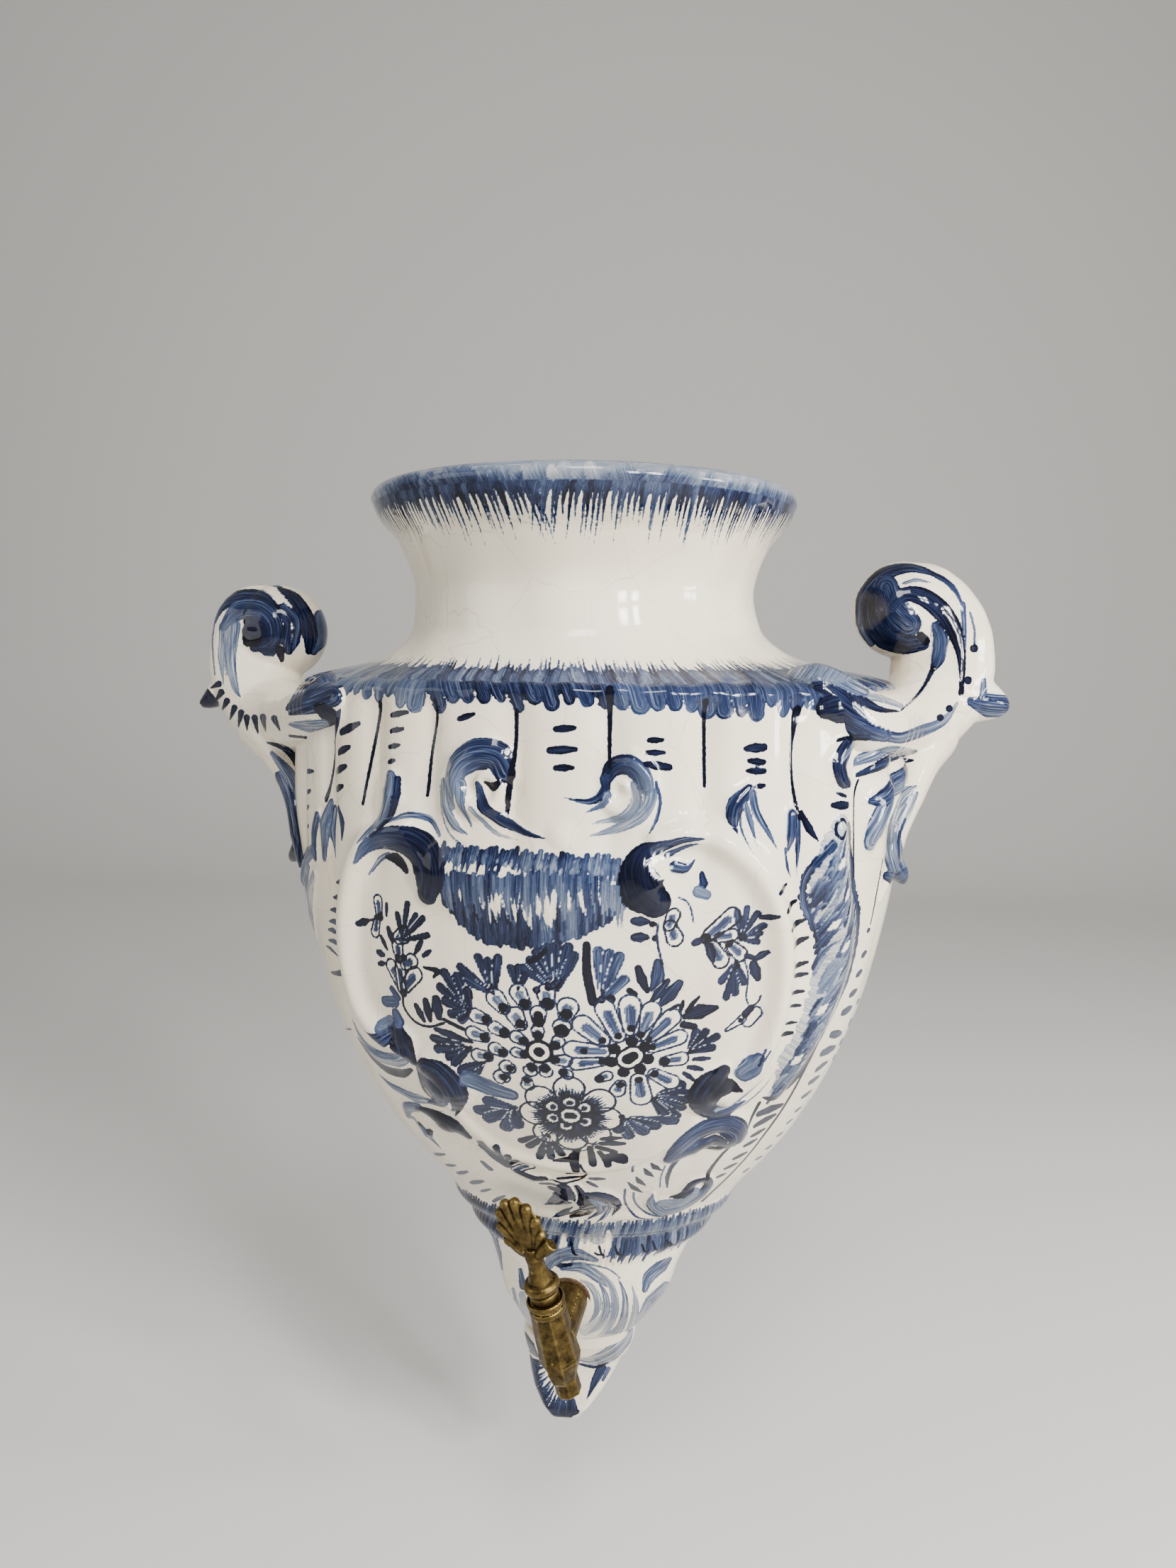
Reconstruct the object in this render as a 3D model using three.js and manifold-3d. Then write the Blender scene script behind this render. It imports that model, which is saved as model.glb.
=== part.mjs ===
// Wall cistern in glazed earthenware with a small brass tap.
// Millimetres, +Z up. The wall is the plane Y = 0, the front faces -Y and +X is to the viewer's right.
// The origin lies on the back plane, midway between the two hanging holes in the neck.

import * as THREE from 'three';
import { mergeVertices } from 'three/addons/utils/BufferGeometryUtils.js';
import Module from 'manifold-3d';

const wasm = await Module();
wasm.setup();

// Potting sizes. Heights are measured from the hanging holes, depths from the back.
const WALL = 6.5;                 // thickness of the front wall
const PLATE_THICKNESS = 6;        // thickness of the flat back
const SEAM = 0.3;                 // joint left between two pieces that touch
const RIM_TOP = 36;
const RIM_BAND = 3.5;             // from the top of the lip to its widest line
const LIP_ROUNDING = 2.5;
const NECK_HEIGHT = 6;
const SHOULDER_HEIGHT = -21;
const BELLY_HEIGHT = -54;
const BOSS_TOP_HEIGHT = -207;     // where the funnel of the body ends
const BOSS_HEIGHT = -222;
const FOOT_HEIGHT = -257;         // underside of the boss, where the tail leaf starts
const FLOOR_THICKNESS = 10;       // clay under the inside floor
const RIM_HALF_WIDTH = 64.5;
const RIM_DEPTH = 130;
const NECK_HALF_WIDTH = 52;
const NECK_DEPTH = 114;
const SHOULDER_HALF_WIDTH = 91;
const SHOULDER_DEPTH = 129;
const BELLY_HALF_WIDTH = 95.5;
const BELLY_DEPTH = 131;
const BOSS_TOP_HALF_WIDTH = 39;
const BOSS_HALF_WIDTH = 32.5;
const BOSS_DEPTH = 58.5;
const FOOT_HALF_WIDTH = 19.5;
const FOOT_DEPTH = 27;
const WIDEST_DEPTH = 46;          // how far in front of the wall the belly is widest
const BOSS_WIDEST_DEPTH = 26;
const FOOT_WIDEST_DEPTH = 16;
const BACK_FULLNESS = 1.75;       // how slowly the sides close towards the back
const BELLY_LEAN = 4.3;           // the hand-built body leans sideways from its neck
const FOOT_LEAN = -3;

// Hanging and relief
const HANG_HOLE_SPACING = 44;
const HANG_HOLE_RADIUS = 4.5;
const FLUTE_COUNT = 13;
const FLUTE_DEPTH = 1.1;
const FRINGE_RELIEF = 2.2;        // how far the ragged ring over the boss stands out
const FRINGE_HALF_HEIGHT = 8;
const SCROLL_BAR_RADIUS = 5;      // bars moulded on the front
const ROPE_BAR_RADIUS = 3.6;
const CURL_BAR_RADIUS = 3.2;

// Scroll handles. A scroll's middle is measured from the belly's flank and from the shoulder.
const HANDLE_SETBACK = 10;        // how far behind the belly's widest place the handles stand
const RIGHT_SCROLL = { out: 5.8, rise: 17.5, radius: 21.5 };
const LEFT_SCROLL = { out: 16.1, rise: 10, radius: 21 };
const SCROLL_THICKNESS = 29;
const ARM_THICKNESS = 25;
const SPIKE_RADIUS = 6;
const SPIKE_LENGTH = 11;

// Tail leaf under the boss
const TAIL_LENGTH = 45;
const TAIL_HALF_WIDTH = 20.5;
const TAIL_THICKNESS = 12;
const TAIL_SLANT = 6;             // how far the tip lies to the left of the leaf's top

// Tap
const TAP_DROP = 0.8;             // from the middle of the boss down to the hole
const TAP_OFFSET = -3;            // sideways place of the hole
const TAP_NOD = 13;               // degrees that the shank points down
const TAP_SKEW = 9.5;             // degrees that the shank points to the left
const TAP_LEAN = 9;               // degrees that the key leans to the left
const SHANK_REACH = 16;           // from the face of the boss to the barrel's axis
const SHANK_SPARE = 3.5;          // thread that stands out behind the nut
const THREAD_RADIUS = 5.4;
const SHANK_STEP = 1.1;           // how much thicker the shank is in front of the wall
const SHANK_ENTRY = 0.8;          // how far the thick shank runs into the hole
const BUSH_WALL = 1.6;
const WATERWAY_RADIUS = 2.3;
const BARREL_RADIUS = 6.2;
const BARREL_TOP = 11;
const BARREL_FOOT = -7;
const FOOT_RUN = 8;               // stepped facets between the barrel and the nozzle
const NOZZLE_RADIUS = 4.1;
const NOZZLE_LENGTH = 6.8;
const PLUG_RADIUS = 3.4;
const PLUG_CLEARANCE = 0.35;
const PLUG_FLOOR = 4;             // from the foot of the barrel down to the plug's seat
const STEM_RADIUS = 2.2;
const STEM_WALL = 0.6;            // wall of the key round the plug's stem
const SOCKET_DEPTH = 6;           // how far the stem stands above the gland nut
const GLAND_RADIUS = 5.4;
const GLAND_HEIGHT = 3.4;
const COLLAR_RADIUS = 5.7;
const COLLAR_HEIGHT = 4.2;
const KEY_STEM_LENGTH = 11;       // from the collar to the fan
const FAN_HEIGHT = 23;
const FAN_HALF_WIDTH = 8.4;
const FAN_THICKNESS = 4.2;
const FAN_LOBES = 7;
const NUT_WALL = 2.6;
const NUT_THICKNESS = 4;
const NUT_SIDES = 6;
const WASHER_MARGIN = 1;          // how far the washer stands out beyond the nut's flats
const WASHER_THICKNESS = 2;
const WASHER_STANDOFF = 4;        // the inside of the boss is hollow there, so the washer spans it

// Values worked out from the sizes
const HOLE_RADIUS = THREAD_RADIUS + BUSH_WALL + 2 * SEAM;
const SHANK_RADIUS = THREAD_RADIUS + SHANK_STEP;
const NUT_ACROSS = 2 * (THREAD_RADIUS + NUT_WALL);
const PANEL_DROP = SHOULDER_HEIGHT - BOSS_TOP_HEIGHT;
const FRINGE_HEIGHT = BOSS_TOP_HEIGHT + 3;
const FACE = -(PLATE_THICKNESS + SEAM);
const { lerp, smoothstep, degToRad } = THREE.MathUtils;

// Resolution of the curved surfaces
const STEPS_PER_FLUTE = 4;
const AROUND = FLUTE_COUNT * STEPS_PER_FLUTE;
const CAVITY_AROUND = 24;

// Solid from a closed geometry, for cutting and joining
function solid(geometry) {
  const bare = geometry.clone();
  bare.deleteAttribute('normal');
  bare.deleteAttribute('uv');
  const merged = mergeVertices(bare, 1e-5);
  const mesh = new wasm.Mesh({
    numProp: 3,
    vertProperties: Float32Array.from(merged.attributes.position.array),
    triVerts: Uint32Array.from(merged.index.array),
  });
  return new wasm.Manifold(mesh);
}

// Geometry of a finished solid
function shape(body) {
  const mesh = body.getMesh();
  const geometry = new THREE.BufferGeometry();
  geometry.setAttribute('position', new THREE.BufferAttribute(mesh.vertProperties, 3));
  geometry.setIndex(new THREE.BufferAttribute(mesh.triVerts, 1));
  geometry.computeVertexNormals();
  return geometry;
}

// Closed skin through rings of equal length, capped at both ends from the middle of each ring
function loft(rings) {
  const count = rings[0].length;
  const points = rings.flat();
  const faces = [];
  for (let r = 0; r < rings.length - 1; r += 1) {
    for (let k = 0; k < count; k += 1) {
      const a = r * count + k;
      const b = r * count + ((k + 1) % count);
      faces.push(a, b, b + count, a, b + count, a + count);
    }
  }
  for (const [first, last] of [[0, true], [rings.length - 1, false]]) {
    const middle = points.length;
    points.push(rings[first].reduce((sum, p) => sum.add(p), new THREE.Vector3()).divideScalar(count));
    for (let k = 0; k < count; k += 1) {
      const a = first * count + k;
      const b = first * count + ((k + 1) % count);
      faces.push(...(last ? [middle, b, a] : [middle, a, b]));
    }
  }
  if (signedVolume(points, faces) < 0) {
    faces.reverse();
  }
  const geometry = new THREE.BufferGeometry().setFromPoints(points);
  geometry.setIndex(faces);
  return geometry;
}

function signedVolume(points, faces) {
  let volume = 0;
  for (let f = 0; f < faces.length; f += 3) {
    const [a, b, c] = [points[faces[f]], points[faces[f + 1]], points[faces[f + 2]]];
    volume += a.dot(new THREE.Vector3().crossVectors(b, c)) / 6;
  }
  return volume;
}

// Smooth value at a height between stations, without overshoot
function between(stations, key, height) {
  const last = stations.length - 1;
  if (height >= stations[0].z) {
    return stations[0][key];
  }
  if (height <= stations[last].z) {
    return stations[last][key];
  }
  const i = stations.findIndex((s, n) => n < last && height <= s.z && height >= stations[n + 1].z);
  const slope = (n) => (stations[n + 1][key] - stations[n][key]) / (stations[n + 1].z - stations[n].z);
  const tangent = (n) => {
    if (n === 0 || n === last) {
      return slope(Math.min(n, last - 1));
    }
    const [before, after] = [slope(n - 1), slope(n)];
    return before * after <= 0 ? 0 : (2 * before * after) / (before + after);
  };
  const span = stations[i + 1].z - stations[i].z;
  const u = (height - stations[i].z) / span;
  const [m0, m1] = [tangent(i) * span, tangent(i + 1) * span];
  return (2 * u ** 3 - 3 * u ** 2 + 1) * stations[i][key] + (u ** 3 - 2 * u ** 2 + u) * m0
    + (3 * u ** 2 - 2 * u ** 3) * stations[i + 1][key] + (u ** 3 - u ** 2) * m1;
}

// Sections of the vessel: half width, front depth, depth of the widest place and sideways lean
const section = (z, half, front, wide, lean) => ({ z, half, front, wide, lean });

const RIM = section(RIM_TOP - RIM_BAND, RIM_HALF_WIDTH, RIM_DEPTH, WIDEST_DEPTH + 2, 0);
const NECK = section(NECK_HEIGHT, NECK_HALF_WIDTH, NECK_DEPTH, WIDEST_DEPTH, 0);
const SHOULDER = section(
  SHOULDER_HEIGHT,
  SHOULDER_HALF_WIDTH,
  SHOULDER_DEPTH,
  WIDEST_DEPTH,
  BELLY_LEAN - 0.3,
);
const BELLY = section(BELLY_HEIGHT, BELLY_HALF_WIDTH, BELLY_DEPTH, WIDEST_DEPTH, BELLY_LEAN);
const BOSS_TOP = section(
  BOSS_TOP_HEIGHT,
  BOSS_TOP_HALF_WIDTH,
  BOSS_DEPTH,
  BOSS_WIDEST_DEPTH,
  FOOT_LEAN + 4.8,
);
const BOSS = section(BOSS_HEIGHT, BOSS_HALF_WIDTH, BOSS_DEPTH, BOSS_WIDEST_DEPTH - 0.5, FOOT_LEAN + 3.8);
const FOOT = section(FOOT_HEIGHT, FOOT_HALF_WIDTH, FOOT_DEPTH, FOOT_WIDEST_DEPTH, FOOT_LEAN);

// Sections between two others. Each row: the way down from the upper one to the lower one, as a share,
// and how much of the upper one's half width, depth, widest place and lean is left there.
function ease(upper, lower, rows) {
  return rows.map(([down, half, front, wide, lean]) => ({
    z: lerp(upper.z, lower.z, down),
    half: lerp(lower.half, upper.half, half),
    front: lerp(lower.front, upper.front, front),
    wide: lerp(lower.wide, upper.wide, wide),
    lean: lerp(lower.lean, upper.lean, lean),
  }));
}

function lip(down, drawnIn) {
  return { ...RIM, z: RIM.z - down, half: RIM.half - drawnIn, front: RIM.front - drawnIn };
}

const PROFILE = [
  lip(-RIM_BAND, LIP_ROUNDING),
  RIM,
  lip(2 * LIP_ROUNDING, LIP_ROUNDING * 0.9),
  ...ease(RIM, NECK, [[0.47, 0.36, 0.41, 0.5, 0]]),
  NECK,
  ...ease(NECK, SHOULDER, [
    [0.37, 0.96, 0.93, 1, 0.8],
    [0.67, 0.74, 0.6, 1, 0.5],
    [0.89, 0.28, 0.2, 1, 0.15],
  ]),
  SHOULDER,
  ...ease(SHOULDER, BELLY, [[0.27, 0.33, 0.5, 1, 1]]),
  BELLY,
  ...ease(BELLY, BOSS_TOP, [
    [0.17, 0.956, 0.979, 1, 0.96],
    [0.301, 0.896, 0.945, 0.95, 0.88],
    [0.431, 0.818, 0.862, 0.85, 0.76],
    [0.562, 0.701, 0.71, 0.7, 0.64],
    [0.693, 0.549, 0.49, 0.5, 0.52],
    [0.791, 0.398, 0.297, 0.3, 0.44],
    [0.876, 0.239, 0.124, 0.15, 0.36],
    [0.941, 0.106, 0.034, 0.05, 0.24],
  ]),
  BOSS_TOP,
  BOSS,
  ...ease(BOSS, FOOT, [
    [0.286, 0.808, 0.873, 0.947, 0.842],
    [0.543, 0.5, 0.603, 0.737, 0.632],
    [0.8, 0.192, 0.317, 0.316, 0.316],
  ]),
  FOOT,
];

// Angle at which the rounded side of the section at a height meets the plane Y = back
function backAngle(height, back) {
  const wide = between(PROFILE, 'wide', height);
  return Math.asin(Math.min(1, (back + wide) / (wide * BACK_FULLNESS)));
}

// Point of the vessel's outside. Angle 0 is the right flank, a quarter turn the front, a half turn the left
function wallPoint(height, angle, proud = 0) {
  const wide = between(PROFILE, 'wide', height);
  const half = between(PROFILE, 'half', height) + proud;
  const front = between(PROFILE, 'front', height) + proud - wide;
  const lean = between(PROFILE, 'lean', height);
  const rise = Math.sin(angle);
  const reach = rise >= 0 ? front : wide * BACK_FULLNESS;
  return new THREE.Vector3(lean + half * Math.cos(angle), -wide - reach * rise, height);
}

// Half ring of the section at a height, from its right back edge round the front to its left one
function wallRing(height, back, steps, proud = 0, carve = () => 0) {
  const start = -backAngle(height, back);
  const ring = [];
  for (let k = 0; k <= steps; k += 1) {
    const angle = start + ((Math.PI - 2 * start) * k) / steps;
    ring.push(wallPoint(height, angle, proud + carve(height, k)));
  }
  ring[0].y = back;
  ring[steps].y = back;
  return ring;
}

function heightsDown(from, to, count) {
  return Array.from({ length: count + 1 }, (_, k) => lerp(from, to, k / count));
}

// Relief of the wall: shallow flutes that start at the shoulder and fade out, and the ring over the boss
function relief(height, step) {
  const below = (SHOULDER_HEIGHT - height) / PANEL_DROP;
  const flutes = smoothstep(below, 0, 0.03) * (1 - smoothstep(below, 0.26, 0.42));
  const groove = step % STEPS_PER_FLUTE === 0 ? FLUTE_DEPTH : 0;
  const ring = Math.max(0, 1 - Math.abs(height - FRINGE_HEIGHT) / FRINGE_HALF_HEIGHT);
  return FRINGE_RELIEF * ring - groove * flutes;
}

// Closed bar along a curve whose section is an ellipse: side by side in the curve's plane, thick along Y
function sweep(curve, steps, side, thick, sides = 12) {
  const rings = [];
  for (let k = 0; k <= steps; k += 1) {
    const u = k / steps;
    const at = curve.getPoint(u);
    const along = curve.getTangent(u);
    const across = new THREE.Vector3().crossVectors(along, new THREE.Vector3(0, 1, 0)).normalize();
    const out = new THREE.Vector3().crossVectors(across, along).normalize();
    const ring = [];
    for (let s = 0; s < sides; s += 1) {
      const turn = (2 * Math.PI * s) / sides;
      ring.push(at.clone().addScaledVector(across, side(u) * Math.cos(turn))
        .addScaledVector(out, thick(u) * Math.sin(turn)));
    }
    rings.push(ring);
  }
  return loft(rings);
}

function ball(x, y, z, rx, ry, rz) {
  return new THREE.SphereGeometry(1, 16, 12).scale(rx, ry, rz).translate(x, y, z);
}

function rod(radius, from, to, sides = 24) {
  return new THREE.CylinderGeometry(radius, radius, to - from, sides)
    .rotateX(Math.PI / 2)
    .translate(0, 0, (from + to) / 2);
}

// The tap stands in its own frame: Z up along the key, Y back into the wall, origin on the barrel's axis
const tapTurn = new THREE.Euler(degToRad(TAP_NOD), degToRad(-TAP_LEAN), degToRad(-TAP_SKEW), 'ZXY');
const shankWay = new THREE.Vector3(0, -1, 0).applyEuler(tapTurn);
const tapAngle = Math.acos((TAP_OFFSET - BOSS.lean) / BOSS_HALF_WIDTH);
const tapCentre = wallPoint(BOSS_HEIGHT - TAP_DROP, tapAngle).addScaledVector(shankWay, SHANK_REACH);
const tapMatrix = new THREE.Matrix4().makeRotationFromEuler(tapTurn).setPosition(tapCentre);

function alongShank(radius, from, to, sides = 24) {
  return new THREE.CylinderGeometry(radius, radius, to - from, sides).translate(0, (from + to) / 2, 0);
}

// Outside of the vessel as one filled body, grown by a clearance, for fitting pieces to it
function vesselBlock(back, proud) {
  const heights = [
    ...heightsDown(RIM_TOP, RIM.z, 2),
    ...heightsDown(RIM.z - 2 * LIP_ROUNDING, SHOULDER_HEIGHT + 4, 6),
    ...heightsDown(SHOULDER_HEIGHT, FRINGE_HEIGHT + 1.5 * FRINGE_HALF_HEIGHT, 12),
    ...heightsDown(FRINGE_HEIGHT + 0.75 * FRINGE_HALF_HEIGHT, FRINGE_HEIGHT - FRINGE_HALF_HEIGHT, 3),
    ...heightsDown(FRINGE_HEIGHT - 1.75 * FRINGE_HALF_HEIGHT, FOOT_HEIGHT + SEAM, 5),
  ];
  return solid(loft(heights.map((h) => wallRing(h, back, AROUND, proud, relief))));
}

// Bars moulded on the front. Each follows points of [way down from the shoulder to the boss, as a share,
// and degrees round from the front, to the right positive].
const MOULDINGS = [
  { // left C-scroll round the panel
    radius: SCROLL_BAR_RADIUS,
    line: [[0.274, -27], [0.22, -25], [0.188, -30], [0.199, -39], [0.242, -47], [0.328, -54],
      [0.425, -56], [0.505, -54], [0.565, -46], [0.586, -35], [0.608, -26]],
  },
  { // right C-scroll round the panel
    radius: SCROLL_BAR_RADIUS,
    line: [[0.274, 12], [0.231, 10], [0.199, 16], [0.194, 24], [0.231, 33], [0.306, 39], [0.403, 42],
      [0.489, 43], [0.554, 39], [0.597, 31], [0.586, 24]],
  },
  { // left curl over the crest
    radius: CURL_BAR_RADIUS,
    line: [[0.081, -11], [0.075, -17], [0.124, -20], [0.172, -17], [0.194, -11], [0.188, -5]],
  },
  { // right curl over the crest
    radius: CURL_BAR_RADIUS,
    line: [[0.086, 7], [0.113, 12], [0.161, 11], [0.183, 6], [0.172, 0], [0.145, -2]],
  },
  { // head of the lower right scroll
    radius: CURL_BAR_RADIUS,
    line: [[0.726, 22], [0.672, 27], [0.656, 35], [0.699, 38]],
  },
  { // its tail
    radius: CURL_BAR_RADIUS,
    line: [[0.747, 21], [0.78, 14], [0.833, 13], [0.876, 23], [0.866, 35], [0.817, 36]],
  },
  { // head of the lower left scroll
    radius: CURL_BAR_RADIUS,
    line: [[0.715, -24], [0.672, -27], [0.661, -35], [0.694, -41]],
  },
  { // crest between the two C-scrolls
    radius: SCROLL_BAR_RADIUS,
    line: [[0.253, -20], [0.247, -12], [0.242, -6], [0.247, 1], [0.253, 7]],
  },
  { // right rope
    radius: ROPE_BAR_RADIUS,
    line: [[0.188, 48], [0.263, 45], [0.328, 48], [0.382, 54], [0.457, 53], [0.532, 49], [0.608, 45]],
  },
  { // left rope
    radius: ROPE_BAR_RADIUS,
    line: [[0.21, -56], [0.29, -63], [0.371, -69], [0.457, -69], [0.543, -65], [0.618, -59]],
  },
];

// One moulded bar, half sunk in the wall, that swells in the middle of its run
function moulding({ radius, line }) {
  const curve = new THREE.CatmullRomCurve3(line.map(([down, degrees]) => (
    wallPoint(SHOULDER_HEIGHT - PANEL_DROP * down, Math.PI / 2 - degToRad(degrees)))));
  const swell = (u) => radius * (0.55 + 0.45 * Math.sin(Math.PI * u));
  return solid(sweep(curve, Math.round(line.length * 1.6), swell, swell, 8));
}

// Front wall: the whole outside, hollowed, open at the mouth and at the back
function vesselShell() {
  const bars = MOULDINGS.map(moulding);
  const outside = bars.reduce((body, bar) => body.add(bar), vesselBlock(FACE, 0));
  const cavityHeights = [
    RIM_TOP + WALL,
    ...heightsDown(RIM_TOP, SHOULDER_HEIGHT + 9, 5),
    ...heightsDown(SHOULDER_HEIGHT - 2, BOSS_TOP_HEIGHT + 19, 8),
    ...heightsDown(BOSS_TOP_HEIGHT + 7, FOOT_HEIGHT + FLOOR_THICKNESS, 4),
  ];
  const cavity = loft(cavityHeights.map((h) => wallRing(h, 0, CAVITY_AROUND, -WALL)));
  const hole = alongShank(HOLE_RADIUS, SHANK_REACH - 2 * WALL, SHANK_REACH + 3 * WALL)
    .applyMatrix4(tapMatrix);
  return shape(outside.subtract(solid(cavity)).subtract(solid(hole)));
}

// Flat back: the vessel's own outline, from the lip to the foot of the boss, with two hanging holes
function backPlate() {
  const heights = [
    ...heightsDown(RIM_TOP, SHOULDER_HEIGHT, 14),
    ...heightsDown(SHOULDER_HEIGHT - 9, FOOT_HEIGHT + SEAM, 22),
  ];
  const edge = (side) => heights.map((h) => new THREE.Vector2(wallRing(h, -PLATE_THICKNESS, 2)[side].x, h));
  const face = new THREE.Shape([...edge(0), ...edge(2).reverse()]);
  for (const side of [-1, 1]) {
    const hole = new THREE.Path();
    hole.absarc((side * HANG_HOLE_SPACING) / 2, 0, HANG_HOLE_RADIUS, 0, 2 * Math.PI);
    face.holes.push(hole);
  }
  return new THREE.ExtrudeGeometry(face, { depth: PLATE_THICKNESS, bevelEnabled: false, curveSegments: 12 })
    .rotateX(Math.PI / 2);
}

// Leaf that hangs below the boss: a small lobe at the top, then a dished tongue that turns up at its tip
function tailLeaf() {
  const rows = [
    { u: 0, half: 1, front: FOOT_DEPTH / TAIL_THICKNESS, lean: 0 },
    { u: 0.1, half: 1.02, front: 2.15, lean: 0.05 },
    { u: 0.22, half: 0.97, front: 1.9, lean: 0.13 },
    { u: 0.3, half: 0.93, front: 1.3, lean: 0.23 },
    { u: 0.42, half: 0.87, front: 0.95, lean: 0.4 },
    { u: 0.56, half: 0.78, front: 0.9, lean: 0.6 },
    { u: 0.7, half: 0.66, front: 0.93, lean: 0.77 },
    { u: 0.84, half: 0.48, front: 0.98, lean: 0.9 },
    { u: 0.94, half: 0.3, front: 0.85, lean: 0.97 },
    { u: 1, half: 0.1, front: 0.5, lean: 1 },
  ];
  const steps = 16;
  const rings = rows.map(({ u, half, front, lean }) => {
    const middle = FOOT_LEAN - TAIL_SLANT * lean;
    const height = FOOT_HEIGHT - TAIL_LENGTH * u;
    const ring = [];
    for (let k = 0; k <= steps; k += 1) {
      const angle = (Math.PI * k) / steps;
      const x = middle + TAIL_HALF_WIDTH * half * Math.cos(angle);
      const y = -TAIL_THICKNESS * front * Math.min(1, 0.25 + 0.95 * Math.sin(angle) ** 0.7);
      ring.push(new THREE.Vector3(x, y, height));
    }
    ring.push(new THREE.Vector3(middle - TAIL_HALF_WIDTH * half, 0, height));
    ring.push(new THREE.Vector3(middle + TAIL_HALF_WIDTH * half, 0, height));
    return ring;
  });
  return loft(rings);
}

// Pointed leaf tip that leaves a handle outwards and a little down
function spike(at, lean) {
  return new THREE.ConeGeometry(SPIKE_RADIUS, SPIKE_LENGTH, 10, 3)
    .translate(0, SPIKE_LENGTH / 2, 0)
    .scale(1, 1, 1.1)
    .rotateX(Math.PI / 2)
    .rotateY(lean * degToRad(112))
    .translate(at.x, at.y, at.z);
}

// Half widths of a handle's arm in equal steps from its foot to the end of its curl, in scroll radii
const ARM_HALF_WIDTHS = [0.16, 0.33, 0.42, 0.58, 0.74, 0.7, 0.51, 0.42, 0.37, 0.33, 0.23];

function armHalfWidth(u) {
  const at = u * (ARM_HALF_WIDTHS.length - 1);
  const low = Math.floor(at);
  const high = Math.min(low + 1, ARM_HALF_WIDTHS.length - 1);
  return lerp(ARM_HALF_WIDTHS[low], ARM_HALF_WIDTHS[high], at - low);
}

// Scroll handle: a web up the flank, an arm that swings outwards and a round volute that curls back in.
// Its points are in scroll radii, outwards from the flank and up from the shoulder. The left scroll sits
// further out and lower than the right one, so the upper part of its arm is shifted with it.
function scrollHandle(side, scroll) {
  const unit = RIGHT_SCROLL.radius;
  const plane = HANDLE_SETBACK - WIDEST_DEPTH;
  const place = (out, rise, follow) => new THREE.Vector3(
    BELLY_LEAN + side * (BELLY_HALF_WIDTH + unit * out + follow * (scroll.out - RIGHT_SCROLL.out)),
    plane,
    SHOULDER_HEIGHT + unit * rise + follow * (scroll.rise - RIGHT_SCROLL.rise),
  );
  const arm = new THREE.CatmullRomCurve3([
    place(-0.16, -3.4, 0), place(-0.07, -2.74, 0), place(0.02, -1.91, 0.1), place(0.21, -1.21, 0.4),
    place(0.49, -0.6, 0.8), place(0.7, 0.05, 1), place(0.77, 0.6, 1), place(0.49, 1.16, 1),
    place(0.07, 1.26, 1), place(-0.16, 0.88, 1), place(0.07, 0.56, 1),
  ]);
  const thick = (u) => (ARM_THICKNESS / 2) * Math.min(1, 0.45 + 1.6 * u);
  const middle = place(RIGHT_SCROLL.out / unit, RIGHT_SCROLL.rise / unit, 1);
  const eye = scroll.radius / 3;
  const parts = [
    sweep(arm, 24, (u) => unit * armHalfWidth(u), thick, 14),
    ball(middle.x, plane, middle.z, scroll.radius, SCROLL_THICKNESS / 2, scroll.radius),
    ball(middle.x, plane - SCROLL_THICKNESS / 2 + eye / 3, middle.z - 1, eye, eye * 0.64, eye),
    spike(place(0.19, -2.74, 0.1), side * 0.75),
    spike(place(1.21, -0.09, 1), side),
  ].map(solid);
  const whole = parts.reduce((body, part) => body.add(part));
  return shape(whole.subtract(vesselBlock(0, SEAM)));
}

// Tap body: octagonal barrel, stepped foot and nozzle, with the shank that goes through the wall
const nozzleTop = BARREL_FOOT - FOOT_RUN;
const nozzleEnd = nozzleTop - NOZZLE_LENGTH;
const plugSeat = BARREL_FOOT - PLUG_FLOOR;
const shankEnd = SHANK_REACH + WALL + WASHER_STANDOFF + WASHER_THICKNESS + NUT_THICKNESS + SHANK_SPARE;

function tapBody() {
  const rows = [
    [BARREL_TOP, BARREL_RADIUS * 0.93],
    [lerp(BARREL_TOP, BARREL_FOOT, 0.45), BARREL_RADIUS * 1.02],
    [lerp(BARREL_TOP, BARREL_FOOT, 0.83), BARREL_RADIUS * 1.06],
    [BARREL_FOOT, BARREL_RADIUS],
    [BARREL_FOOT - 0.08 * FOOT_RUN, BARREL_RADIUS * 1.12],
    [BARREL_FOOT - 0.62 * FOOT_RUN, BARREL_RADIUS * 0.86],
    [nozzleTop, NOZZLE_RADIUS],
    [nozzleEnd, NOZZLE_RADIUS * 1.05],
  ];
  const facets = 8;
  const barrel = loft(rows.map(([height, radius]) => Array.from({ length: facets }, (_, k) => {
    const turn = (Math.PI * (2 * k + 1)) / facets;
    return new THREE.Vector3(radius * Math.cos(turn), radius * Math.sin(turn), height);
  })));
  return shape(solid(barrel)
    .add(solid(alongShank(SHANK_RADIUS, 0, SHANK_REACH + SHANK_ENTRY)))
    .add(solid(alongShank(THREAD_RADIUS, 0, shankEnd)))
    .subtract(solid(rod(PLUG_RADIUS + PLUG_CLEARANCE, plugSeat, BARREL_TOP + 1)))
    .subtract(solid(rod(WATERWAY_RADIUS, nozzleEnd - 1, plugSeat + 1)))
    .subtract(solid(alongShank(WATERWAY_RADIUS, 1, shankEnd + 1))));
}

// Turning plug inside the barrel: a side port that meets the shank after a quarter turn, and a way down
const glandLow = BARREL_TOP + SEAM;
const glandHigh = glandLow + GLAND_HEIGHT;
const stemTop = glandHigh + SOCKET_DEPTH;

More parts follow.
